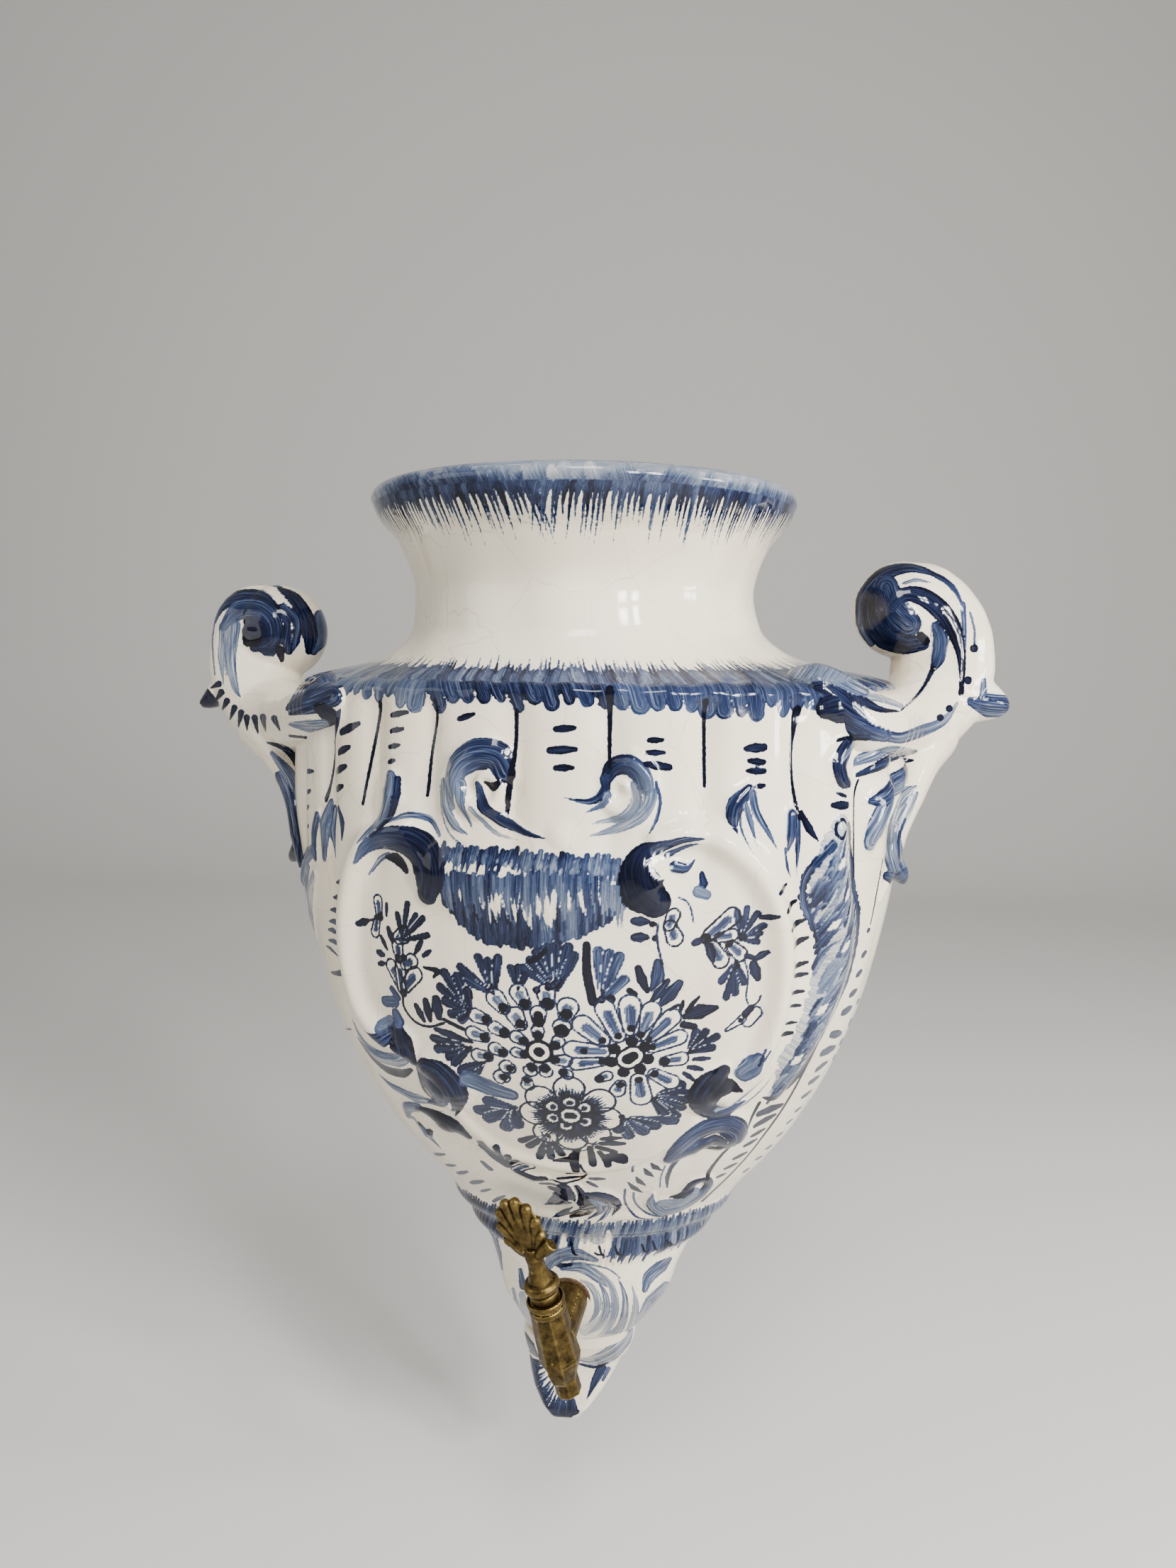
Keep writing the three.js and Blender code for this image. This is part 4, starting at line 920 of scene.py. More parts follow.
def lower_right(brush: Brush) -> None:
    """Paint the scrolls at the cartouche's lower right."""
    brush.body([(27, -158), (33, -153), (38, -150.5)], (1.2, 3.4, 2.5), 0.8, 0.5)
    brush.body([(41, -150), (37, -151.5)], (3, 2.2), 0.88, 0.4)
    brush.body([(26.5, -157), (30.5, -149.5), (36, -144.5), (42, -143), (47, -146), (47.5, -151),
                (43, -154.3)], (1.6, 3.2, 3.6, 3.6, 4.2, 4, 1.8), (0.75, 0.75, 0.78, 0.82, 0.88, 0.9, 0.95),
               0.45)
    brush.line([(36, -152.5), (40, -154.5), (45, -154.8)], (0.8, 1.2, 0.6), 1.0, 0.0)
    brush.body([(29.5, -158), (27.5, -163), (26.6, -168), (26.6, -174)], (1.1, 0.8, 0.8, 0.3), 0.85, 0.35)
    brush.line([(25.8, -161), (24.5, -167), (24.3, -173)], 0.36, 0.5)
    brush.body([(35, -178), (30, -182.5), (25, -182)], (3.2, 3.2, 2), 0.5, 0.7)
    brush.body([(40, -172), (40.5, -175.5), (37.5, -181), (32, -186), (25, -187), (21.5, -182), (22, -176)],
               (1.6, 2, 3, 3.2, 3, 1.8, 0.3), (0.95, 0.88, 0.68, 0.5, 0.55, 0.65, 0.65), 0.6)
    brush.body([(33, -176), (35.5, -172.5), (39, -171.3)], (1.6, 1.8, 1.2), 0.88, 0.35)
    brush.body([(33.5, -174.5), (31.5, -178), (27.5, -179.5)], (1.2, 1.3, 0.3), 0.95, 0.3)
    for points, tone in (([(13.5, -173), (13.2, -180), (15, -187), (20, -190.5), (27, -191)], 0.65),
                         ([(16, -175), (16.3, -181), (19, -187), (24, -189.5)], 0.55),
                         ([(16.2, -158.5), (15.9, -163)], 0.75)):
        brush.line(points, 0.45, tone)
    for x, z, x_end, z_end in ((17, -166, 19.8, -171.3), (19.5, -161.5, 22.3, -166.5),
                               (21.5, -159, 24.8, -163.3), (14.5, -169, 18.8, -175.4)):
        brush.line([(x, z), ((x + x_end) / 2 - 0.3, (z + z_end) / 2 - 0.3), (x_end, z_end)],
                   (0.35, 1.15, 0.3), 0.9, 0.2)


def crest_fringe(brush: Brush) -> None:
    """Paint the two rows of hairs of the crest between the scroll heads."""
    rng = np.random.default_rng(14)
    for arc in np.arange(-34, 13, 0.72):
        foot = float(np.interp(arc, (-35, -30, -25, -20, -12, -5, 2, 8, 13),
                               (-74, -80, -84, -85.5, -86, -85, -82, -79, -74)))
        top = foot + rng.uniform(5, 15)
        tone = rng.uniform(0.72, 1.0) if arc < -8 else rng.uniform(0.5, 0.9)
        x = arc + rng.uniform(-0.3, 0.3)
        brush.body([(x, foot - rng.uniform(-1, 0.8)), (x + 0.3, (foot + top) / 2), (x - 0.1, top)],
                   (0.75, 0.85, 0.15), (tone, tone, tone * 0.8), 0.42)
    for arc in np.arange(-33.5, 13, 0.85):
        high = float(np.interp(arc, (-34, -25, -15, -5, 5, 13), (-68.5, -67.5, -67.5, -65, -66.5, -70)))
        tone = rng.uniform(0.45, 0.85)
        x, long = arc + rng.uniform(-0.3, 0.3), rng.uniform(4, 13)
        brush.body([(x, high + rng.uniform(-0.6, 1.6)), (x, high - long / 2), (x + 0.3, high - long)],
                   (0.65, 0.6, 0.12), (tone, tone * 0.85), 0.45)
    brush.body([(-34, -62.5), (12, -64)], (1.4, 1.6), 0.45, 0.75, ragged=0.9, hairs=Hairs.ACROSS)
    for arc in np.arange(-33.5, 12.6, 1.3):
        high = float(np.interp(arc, (-34, -12, 13), (-60.4, -60.8, -62.2)))
        tone = rng.uniform(0.55, 0.9)
        x, long = arc + rng.uniform(-0.3, 0.3), rng.uniform(3.4, 7)
        brush.body([(x, high + rng.uniform(-0.6, 0.9)), (x - 0.5, high - long / 2), (x - 1.1, high - long)],
                   (0.75, 0.75, 0.2), (tone, tone * 0.85), 0.45)


def peony(brush: Brush) -> None:
    """Paint the big flower at the left of the bouquet."""
    for x, z, tip_x, tip_z, half, dot in (
        (-12.3, -125.6, -12.3, -128.6, 1.9, 1.1), (-18.9, -125.3, -21.4, -125.2, 2.4, 1.3),
        (-23.2, -118.9, -27.6, -119, 2.2, 1.4), (-23.9, -112.8, -28.8, -111.6, 2.2, 1.4),
        (-23.1, -107.3, -27.6, -106, 2.1, 1.3), (-18.1, -103.3, -21.5, -99, 2.6, 1.5),
        (-12.3, -101.6, -14.8, -96.9, 2.4, 1.5), (-6.2, -101, -6.8, -96.2, 2.5, 1.7),
        (-1.2, -103.9, -0.4, -99.8, 2.9, 1.7), (-13.5, -107.7, -15.8, -103.6, 2.5, 1.5),
        (-8.6, -106.2, -8.6, -102.3, 2.2, 1.6), (-2.5, -108.9, -2.2, -105.8, 2.5, 2.1),
        (-18.1, -110.8, -22, -108.8, 2.0, 1.5), (-8.8, -110.6, -8.8, -107.9, 1.8, 1.4),
        (-12.9, -112.8, -16, -111, 1.9, 1.3), (-4.2, -113.3, -2.6, -111, 1.8, 1.4),
        (-18.9, -117, -22.2, -115.3, 2.0, 1.3), (-12.9, -117, -16.2, -116.4, 1.6, 1.2),
        (-16.9, -122, -19.4, -121, 2.2, 1.2), (-10.8, -121.1, -11.8, -123.4, 2.0, 1.4),
        (-7.2, -121.1, -6.6, -123.4, 1.9, 1.4), (-4.2, -118, -0.2, -118.2, 1.9, 1.3),
        (-2.2, -121.9, -0.1, -123.2, 1.6, 1.2),
    ):
        brush.eye((x, z), (tip_x, tip_z), half, dot)
    brush.line([(-8.6, -104.6), (-8.6, -107)], (1.35, 1.35), 1.0, 0.0)
    brush.ring((-8.6, -115.8), 3.3, 1.6)


def daisy(brush: Brush) -> None:
    """Paint the flower with long petals at the right of the bouquet."""
    for x, z, dot, tip_x, tip_z, half in (
        (12.9, -125.8, 1.2, 11.6, -129.5, 2.1), (7.4, -123.8, 1.3, 10.5, -122.3, 1.6),
        (17.9, -124.2, 1.2, 18.9, -132.6, 3.0), (22.1, -122.4, 1.3, 28.4, -126.6, 2.4),
        (25, -118.5, 1.4, 31, -117.8, 2.1), (21.5, -113.8, 1.0, 30.3, -110.5, 2.3),
        (20.3, -111.2, 1.0, 27.8, -103.6, 2.6), (18.2, -109.9, 1.1, 21.6, -100.8, 2.6),
        (15.6, -107.9, 1.1, 15.1, -98.8, 2.9), (12.3, -110.2, 1.1, 7.9, -100.2, 2.6),
        (8.2, -111.6, 1.1, 1.4, -105.3, 2.7), (8, -118.2, 1.1, -0.2, -119.2, 1.9),
    ):
        brush.petal((x, z), (tip_x, tip_z), half, 0.72)
        brush.dot((x, z), dot)
    brush.petal((8.5, -115), (-1.6, -114.2), 2.6, 0.72)
    brush.dot((3.3, -114.9), 1.1)
    brush.white([(15.6, -116.9)], (6.2,))
    for x, z in ((11.3, -114.2), (10.5, -118.3), (13.8, -121.6), (18.2, -120.7), (20.3, -117.5),
                 (19.3, -113.6), (15.9, -111.8)):
        brush.dot((x, z), 1.75)
    brush.line([(14.9, -117.4), (16.3, -116.4)], (3.0, 3.0), 1.0, 0.0, outline=0.42)
    brush.line([(14.9, -117.4), (16.3, -116.4)], (1.7, 1.5), 1.0, 0.0)


def pansy(brush: Brush) -> None:
    """Paint the flower with scalloped petals at the foot of the bouquet."""
    x, z = -0.9, -137.5
    for turn in (90, 35, -6, -48, -90, -132, 180, 143):
        out = (math.cos(math.radians(turn)), math.sin(math.radians(turn)))
        brush.white([(x + 6 * out[0], z + 6 * out[1]), (x + 10 * out[0], z + 10 * out[1])], (3.4, 4.3))
        brush.line([(x + 6 * out[0], z + 6 * out[1]), (x + 10 * out[0], z + 10 * out[1])], (3.4, 4.3), 0.85,
                   0.1, outline=0.38)
    brush.white([(x, z)], (8.6,))
    brush.white([(x, z)], (6.5,), 1)
    rng = np.random.default_rng(5)
    for turn in (90, 35, -6, -48, -90, -132, 180, 143):
        for step in (-21, -16, -11, -6, -1, 4, 9, 14, 19):
            angle = math.radians(turn + step)
            far = 11.6 - abs(step) * 0.07 + rng.uniform(-1, 0.8)
            brush.line([(x + 4.2 * math.cos(angle), z + 4.2 * math.sin(angle)),
                        (x + 0.6 * far * math.cos(angle), z + 0.6 * far * math.sin(angle)),
                        (x + far * math.cos(angle), z + far * math.sin(angle))], (0.62, 0.66, 0.15),
                       rng.uniform(0.75, 0.95), 0.2)
    for dx, dz in ((0, 5.2), (-4.9, 3.2), (-4.9, -1.3), (-1.3, -4.1), (4.2, -2.2), (4.1, 3.2)):
        brush.white([(x + dx, z + dz)], (2.1,), 1)
        brush.line([(x + dx, z + dz)], (2.1,), 1.0, 0.0, outline=0.45)
        brush.line([(x + dx * 0.95, z + dz * 0.95)], (0.95,), 0.97, 0.0)
    brush.white([(x, z)], (3.1,), 1)
    brush.line([(x, z)], (3.2,), 1.0, 0.0, outline=0.55)
    brush.line([(x - 0.6, z), (x + 0.6, z)], (1.25, 1.25), 1.0, 0.0)


def bouquet_leaves(brush: Brush) -> None:
    """Paint the leaves round the bouquet."""
    brush.leaves((-3.5, -97), [(-13.3, -91), (-11.5, -88.5), (-9.5, -86), (-6.5, -84.5), (-3.5, -83.6),
                               (-0.5, -84), (1.3, -86.5)], 1.7, 0.85, 0.4)
    brush.line([(-11, -89.8), (-8.5, -88.5), (-6.8, -86.5)], 0.75, 1.0, 0.0)
    for spot in ((-9, -97.5), (-5.8, -96.5), (5.5, -100.3), (7.8, -99.6), (10.5, -99.4)):
        brush.dot(spot, 1.15)
    brush.leaves((8, -100), [(6.8, -85), (9.8, -85.6), (12.7, -86.5), (14.6, -93)], 1.75, 0.72, 0.55)
    brush.line([(3.9, -84.5), (4.1, -92), (5.6, -100)], (1.1, 1.3, 1.3), 1.0, 0.1)
    brush.body([(17.2, -90.8), (18.2, -94), (19.7, -97.3)], (1.0, 1.5, 0.7), 0.97, 0.2)
    brush.body([(15, -97), (16.6, -98)], (0.9, 0.8), 0.97, 0.2)
    brush.body([(22.3, -89.5), (22.2, -93.5), (20.8, -97)], (1.3, 2.1, 0.5), 0.82, 0.4)
    brush.body([(28, -95.5), (25.5, -98.5), (23, -101.5)], (1.3, 2.1, 0.8), 0.85, 0.4)
    brush.body([(25, -94.5), (22.5, -98), (20.5, -100.5)], (0.8, 1.4, 0.5), 0.9, 0.3)
    brush.line([(30.5, -103.6), (32, -101.5), (33.7, -99.6)], (0.8, 0.8, 0.4), 1.0, 0.1)
    brush.dashes([(25.8, -102.8, 28.2, -101.4, 0.7), (28.6, -103.4, 29.3, -100.4, 0.8)], 0.97)
    brush.body([(30, -105), (34, -104), (38.7, -103.2)], (1.0, 2.5, 0.8), 0.93, 0.3)
    brush.body([(29.5, -107.4), (32.6, -108.3)], (1.1, 1.1), 0.95, 0.2)
    brush.leaves((31.3, -116.4), [(33.6, -109), (36.6, -109.3), (40.2, -111.4), (39.3, -115.2)], 1.5, 0.88,
                 0.35)
    brush.dashes([(33, -118.6, 37.6, -118.8, 0.9), (31.6, -121, 35.4, -121.9, 1.0),
                  (30.3, -122.8, 33, -125, 0.9)], 0.85)
    brush.leaves((21.5, -131), [(30.8, -126), (31.8, -129), (31.8, -132.2), (31.2, -135.6), (29.6, -139.5),
                                (26, -138.6)], 1.9, 0.88, 0.35)
    brush.leaves((13, -138), [(29.5, -140.4), (24.2, -142.4), (20.6, -145), (15.5, -147), (12, -144.5)], 2.1,
                 0.82, 0.45)
    brush.dot((13.2, -137.6), 1.0)
    brush.dashes([(7.6, -147, 12.9, -146.4, 1.1), (7.4, -149, 13.8, -149, 1.3)], 0.9)
    brush.leaves((-20.5, -99.8), [(-31, -92.3), (-29.8, -95.8), (-25.3, -88.6), (-22.4, -89.3),
                                  (-19.2, -88.2)], 1.5, 0.85, 0.4)
    brush.leaves((-14, -98), [(-16.3, -90.8), (-13.8, -90.6), (-11.5, -92.5)], 1.3, 0.85, 0.4)
    brush.leaves((-27.5, -105.8), [(-35.8, -94.2), (-31.5, -94.5), (-28.4, -98.2), (-37.6, -99),
                                   (-36.4, -103.2), (-34.7, -107.4), (-31.3, -109.2)], 1.7, 0.88, 0.4)
    brush.body([(-39, -113), (-34, -113.8), (-27.5, -115)], (0.8, 1.5, 0.5), 0.88, 0.3)
    brush.line([(-36, -109.3), (-30, -111.2)], 0.7, 0.9)
    brush.leaves((-28, -116.7), [(-41.2, -116), (-40.2, -119.6), (-36.2, -121.4), (-34, -123.2)], 1.6, 0.88,
                 0.4)
    brush.leaves((-24.5, -121), [(-28.6, -127), (-32.3, -125)], 1.8, 0.85, 0.4)
    brush.body([(-29.5, -127), (-24, -129.5), (-17, -131.5)], (2.5, 3, 2), 0.62, 0.5)
    brush.leaves((-16.5, -136.3), [(-29.4, -139.6), (-26.6, -143), (-20.6, -146.4), (-16.4, -144.8),
                                   (-26, -134.5)], 2.4, 0.76, 0.4)
    brush.leaves((-7.5, -145.5), [(-16.9, -150.7), (-12, -151), (-14.6, -153.2), (-11.3, -157.6),
                                  (-7.6, -157.4), (-4, -155.6)], 1.5, 0.9, 0.3)
    brush.line([(-9.5, -145), (-8, -150), (-3, -152), (3, -152), (6, -148)], 0.36, 0.55)
    brush.body([(0.8, -151.5), (-1, -156), (-0.5, -160.8)], (0.8, 1.8, 1.2), 0.97, 0.2)
    brush.body([(-7, -157.8), (-3, -157)], (0.4, 1.3), 0.95, 0.2)
    brush.body([(4, -150.8), (4.5, -158)], (1.0, 1.3), 0.93, 0.2)
    brush.body([(6.2, -150.6), (11, -153)], (1.0, 1.0), 0.93, 0.2)
    brush.body([(8.6, -158.3), (9.3, -155.6), (13, -155.4)], (1.0, 1.8, 1.9), 0.97, 0.15)
    brush.body([(6.6, -153), (8.8, -158)], (0.8, 1.2), 0.95, 0.2)
    brush.line([(0.8, -159), (2.5, -163), (0.5, -167), (-4, -169), (-10, -168.5)], 0.45, 0.85)
    brush.dashes([(-3.5, -164.2, 2.2, -162.3, 0.8), (-6.5, -167.5, 1.6, -165.4, 0.8),
                  (3.4, -166.7, 7.4, -167, 1.0), (2.4, -168.5, 5.1, -171.3, 0.85),
                  (-12.5, -172, -7, -170.5, 0.8)], 0.85)


def sprigs(brush: Brush) -> None:
    """Paint the two sprigs beside the bouquet, the small flower above it and the butterfly."""
    for foot, tip, half in (((-49.5, -102.5), (-54, -94.8), 2.1), ((-48.5, -101.8), (-43.4, -95.8), 2.3),
                            ((-49.8, -102.5), (-49.9, -94.5), 1.9), ((-48, -95), (-44.2, -92.6), 2.1),
                            ((-50, -93.2), (-50.6, -88.4), 2.0), ((-57, -82), (-57.3, -76.8), 1.6),
                            ((-57.8, -83.5), (-59.3, -88.6), 1.5), ((-50, -87.5), (-46.5, -85.5), 2.4)):
        brush.petal(foot, tip, half, 0.85, 0.95)
    for spot, radius in (((-49.3, -103.6), 1.4), ((-56.5, -82.6), 1.3), ((-48.3, -93), 1.2),
                         ((-50.6, -93), 1.0)):
        brush.dot(spot, radius)
    brush.leaves((-48.5, -88), [(-46, -76.5), (-43, -79.6), (-40.6, -80.2), (-39.2, -85.2), (-50, -80)],
                 1.15, 0.9, 0.25)
    brush.dashes([(-53.5, -85.5, -52.3, -89, 1.25), (-56.7, -88.3, -54.5, -91.6, 0.95),
                  (-58.3, -93.2, -56, -93.5, 1.3), (-58.3, -96.6, -56, -96, 1.05),
                  (-42, -87.3, -44.2, -91, 1.05), (-41.6, -91.4, -39.2, -89.6, 0.9),
                  (-53.8, -78.3, -54, -82, 0.75), (-65, -85.8, -61.5, -84.4, 1.3),
                  (-45, -106.6, -42.6, -111, 1.25), (-41.6, -104.6, -40.6, -110.4, 1.5),
                  (-38.1, -103.6, -37.6, -109, 2.0)], 0.93)
    brush.body([(-41.5, -94.7), (-37.3, -95.2), (-38.7, -97.2)], (0.5, 1.0, 0.4), 0.95, 0.1)
    brush.line([(-61.5, -84.5), (-57, -83)], 0.4, 0.9)
    brush.line([(-49.5, -103.5), (-49.5, -108), (-46, -111.8), (-41, -112.5), (-36, -110.5)], 0.48, 0.93)
    brush.body([(-57, -108), (-53, -107)], (1.9, 1.9), 0.65, 0.35)
    brush.body([(-53, -111), (-51.5, -113)], (1.9, 1.8), 0.65, 0.35)
    brush.body([(-53.7, -103.3), (-51.5, -105.4)], (1.2, 1.2), 0.75, 0.35)
    for foot, tip, half in (((36, -82.5), (43.5, -76.8), 2.4), ((38.5, -83.6), (43.6, -82.8), 1.7),
                            ((36.5, -85.5), (40.3, -91.2), 2.3), ((42, -86), (46, -89.6), 2.0),
                            ((25.2, -79.8), (27.2, -84.6), 2.2), ((25, -79.5), (26.3, -75.4), 1.9)):
        brush.petal(foot, tip, half, 0.75, 0.9)
    for spot, radius in (((34.8, -83.6), 1.6), ((41.5, -85.3), 1.1), ((45, -84), 1.1), ((20.6, -79), 0.95),
                         ((21.3, -82.9), 0.9), ((44.3, -91.8), 0.8)):
        brush.dot(spot, radius)
    brush.leaves((45, -84.5), [(43, -76), (46.2, -75.2), (49.4, -76.8), (51.6, -80.5), (51, -83),
                               (50.6, -85.7)], 1.15, 0.82, 0.35)
    brush.leaves((43.6, -90.5), [(39, -96.4), (41.1, -101.4), (44, -100.4), (46.8, -97.5)], 1.35, 0.82, 0.4)
    brush.dashes([(31.8, -84.6, 33.6, -84, 1.3), (36, -85.6, 37, -89.6, 1.5), (50, -78.6, 53.6, -78, 1.0),
                  (46.4, -89, 49.6, -90.2, 0.9), (49.6, -90.2, 52.6, -88.4, 1.2),
                  (48.8, -91.8, 50.6, -96, 1.8), (16, -78, 19.2, -78.3, 1.6), (16, -82.5, 19.2, -82.5, 1.5)],
                 0.88)
    brush.line([(22, -79), (22, -84), (23.5, -90)], 0.4, 0.75)
    brush.line([(27, -72), (30, -74), (31.5, -79)], 0.36, 0.65)
    brush.line([(46, -90), (47.5, -95), (47.3, -101), (48.5, -104)], 0.36, 0.7)
    brush.body([(47.5, -106), (49, -104.5)], (1.4, 1.2), 0.9, 0.3)
    brush.line([(48.6, -108.3), (50.6, -106)], (1.9, 1.7), 0.75, 0.1, outline=0.36)
    brush.line([(42, -110.3), (46.5, -107.5)], (0.4, 1.3), 0.75, 0.1, outline=0.36)
    brush.line([(49, -104), (51, -103), (51.7, -101)], 0.36, 0.75)
    brush.line([(46, -107.8)], (0.8,), 0.9, 0.0)


def feather_rope(brush: Brush) -> None:
    """Paint the rope of feathers at the right of the cartouche."""
    spine = [(76.3, -57), (74, -66), (75.5, -76), (79, -86), (79.5, -97), (76.5, -107), (71.5, -117),
             (67.2, -125), (65, -131), (61, -137)]
    widths = (3.8, 8.0, 10, 9.8, 9.6, 9.0, 7.2, 6.8, 5.2, 3)
    brush.body(spine, widths, 0.3, 0.85, ragged=0.8, hairs=Hairs.ACROSS)
    curve = spline(spine, 1.0)
    run = np.concatenate([[0], np.cumsum(np.linalg.norm(np.diff(curve[:, :2], axis=0), axis=1))])
    rng = np.random.default_rng(8)
    for place in np.arange(4, run[-1], 0.62):
        share = float(np.interp(place, run, curve[:, 2]))
        half = float(spread(widths, np.array([share]))[0])
        x, z = (float(np.interp(place, run, curve[:, k])) for k in (0, 1))
        start, end = sorted(rng.uniform(-1.0, 1.0, 2))
        end = max(end, start + 0.5)
        slope = 0.95 - 0.35 * share
        dark = 0.5 + 0.5 * rng.random()
        near = 0.97 if share < 0.35 and start < -0.4 else dark
        brush.body([(x + half * start, z + half * start * slope - 2),
                    (x + half * (start + end) / 2, z + half * slope * (start + end) / 2 + 0.6),
                    (x + half * end, z + half * end * slope - 0.5)], (0.75, 0.6, 0.15),
                   (near, dark * 0.9, dark * 0.6), 0.5)
    for x, z in ((76, -66), (79.5, -75), (74.5, -83), (73.5, -108), (66.5, -123.5), (80, -90)):
        brush.white([(x - 1.8, z - 1.5), (x + 1.6, z + 1.2)], (0.5, 1.3, 0.3))
    for points in ([(72.5, -61), (66.3, -66.5), (63.9, -71), (64.2, -76.5), (67, -82), (69.8, -87.5)],
                   [(80.7, -57), (82.6, -66), (84.6, -75), (88.3, -83), (89.2, -95), (86.5, -106),
                    (81, -114)]):
        brush.body(points, (0.8, 1.3, 1.5, 1.4, 1.2, 0.6), 0.85, 0.5, ragged=0.5)
    brush.body([(80, -114), (75.5, -122), (70.5, -131), (66.5, -135.5)], (1.2, 1.8, 2.2, 1.4), 0.97, 0.3,
               ragged=0.4)
    brush.line([(78.8, -56.5), (77, -54.7), (74.2, -55.6), (73.8, -58.4), (76, -59.6), (77.6, -58)], 0.55,
               0.85, 0.2)
    brush.line([(66, -134.5), (61, -138.5), (56.5, -137)], (1.0, 1.4, 0.3), 0.93, 0.4)


def foot_shell(brush: Brush) -> None:
    """Paint the shell above the ring."""
    brush.body([(2.5, -176.5), (5.5, -181), (5, -186.5), (1, -190.5)], (1.6, 1.9, 1.2, 0.2), 0.7, 0.75)
    brush.body([(5.5, -178), (8, -182.5), (7, -188), (3.5, -191.5)], (1.4, 1.3, 0.8, 0.1), 0.6, 0.8)
    brush.body([(1.5, -174.5), (6, -175.5), (9.5, -179), (10.8, -184), (9, -188.5)],
               (1.2, 2.2, 2.4, 1.2, 0.2), (0.9, 0.92, 0.97, 0.95, 0.85), 0.3)
    brush.body([(-5, -171.5), (-5.2, -176), (-8.5, -181), (-12.5, -185)], (2.4, 3.8, 2.4, 0.2),
               (0.92, 0.97, 0.88, 0.75), 0.35)
    brush.body([(-1, -170.5), (0.5, -176), (-1.5, -183), (-6, -187.5), (-10, -190)],
               (0.9, 1.5, 2.2, 1.6, 0.2), (0.95, 0.92, 0.9, 0.85, 0.75), 0.3)
    brush.line([(1, -176), (2.2, -182), (0, -187), (-4, -189.5)], (1.0, 1.9, 2.2, 0.7), 1.0, 0.05)
    brush.white([(-3.5, -176.5), (-1.8, -181), (-4, -185.5)], (0.4, 1.1, 0.3))
    brush.body([(-9.5, -173.3), (-5, -172.2)], (0.9, 1.2), 0.93, 0.2)


def ring_fringe(brush: Brush) -> None:
    """Paint the ragged ring over the boss, with painted shade on its left side."""
    rng = np.random.default_rng(21)
    brush.body([(-75, -198), (-40, -198), (0, -197.5), (30, -197), (75, -197)], (4.5, 4.5, 4.2, 4.2, 4.5),
               0.3, 0.7, ragged=0.8)
    for arc in np.arange(-74, 75, 1.25):
        # Dabs left of arc -26 carry a quarter more pigment: painted shade on the ring's left side.
        dark = 0.25 if arc < -26 else 0.0
        tone = min(1.0, rng.uniform(0.42, 0.78) + dark)
        brush.body([(arc + 0.8, -191.6 + rng.uniform(-0.9, 0.9)), (arc, -195), (arc - 1.0, -199.2)],
                   (0.5, 0.85, 0.5), (tone, tone, tone * 0.7), 0.5)
        tone = min(1.0, rng.uniform(0.45, 0.95) + dark)
        lower = -208.5 + rng.uniform(-2.2, 2.2) - (0 if abs(arc) < 40 else 1)
        if not -2 < arc < 7:
            brush.body([(arc + 0.6, -200.3), (arc, -204.5), (arc - 0.7, lower)], (0.85, 0.95, 0.35),
                       (tone, tone, tone * 0.8), 0.5)
        if rng.random() < 0.3:
            brush.line([(arc - 1, -202 - rng.uniform(0, 3)), (arc, -205.5), (arc + 1.1, -206)],
                       (0.4, 0.55, 0.3), 0.9, 0.2)
    for x, top, bottom in ((-6.6, -199, -208.5), (7.6, -195, -206)):
        brush.white([(x, top), (x + 0.2, (top + bottom) / 2), (x - 0.4, bottom)], (0.6, 1.4, 0.5))


def handle_roots(brush: Brush) -> None:
    """Paint the strokes that run from the handles on to the vessel."""
    brush.body([(-106, -26), (-95, -24), (-84, -22.5), (-75, -24.5), (-73, -29), (-75.5, -35.5)],
               (2, 3, 3.4, 3, 2.3, 0.6), (0.65, 0.78, 0.82, 0.92, 0.93, 0.9), 0.55)
    brush.body([(69, -25), (73, -24.5), (80, -24.5), (90, -25.5), (105, -29.5)], (2.8, 4.6, 5, 3.5, 2),
               (0.97, 0.97, 0.88, 0.8, 0.7), 0.35)
    brush.white([(84, -20), (88, -25), (94, -28.5)], (0.3, 0.5, 0.2))
    brush.body([(84, -34.5), (78.5, -35.7), (75, -39.5), (76.5, -43.8), (80, -45.3)],
               (1.4, 2.8, 3.1, 2.7, 1.2), 0.95, 0.45)
    brush.white([(82, -36.5), (79, -40.5), (78.8, -43.5)], (0.3, 0.7, 0.3))
    brush.body([(75, -38.5), (79, -36), (84, -33)], (0.8, 0.9, 0.3), 0.65, 0.7)
    brush.line([(74.5, -33.5), (80, -33), (86, -34)], 0.55, 0.95)
    brush.body([(84, -40), (92, -38), (105, -35.5), (120, -34.5), (132, -34)], (1.2, 2.2, 2.4, 2.4, 2), 0.6,
               0.8)
    brush.body([(85.5, -43.5), (94, -41.5), (107, -40), (120, -38.6), (132, -38)], (0.7, 1.6, 1.8, 1.6, 1),
               0.93, 0.5)
    brush.body([(90.5, -62), (93, -58), (98, -53), (107, -49), (120, -46), (130, -44)],
               (3, 4.5, 4.5, 3.4, 3, 2), 0.6, 0.8)
    brush.body([(90, -51), (95, -50.5), (104, -47.5), (118, -44)], (1, 2.5, 2, 1), 0.8, 0.6)


def vessel_strokes() -> list[Stroke]:
    """All strokes of the vessel, on the chart of arc and height."""
    brush = Brush()
    for paint in (rim_and_shoulder, flute_marks, crest_fringe, volutes, scroll_heads, feather_rope,
                  handle_roots, lower_left, lower_right, foot_shell, ring_fringe, bouquet_leaves, peony,
                  daisy, pansy, sprigs):
        paint(brush)
    return brush.strokes


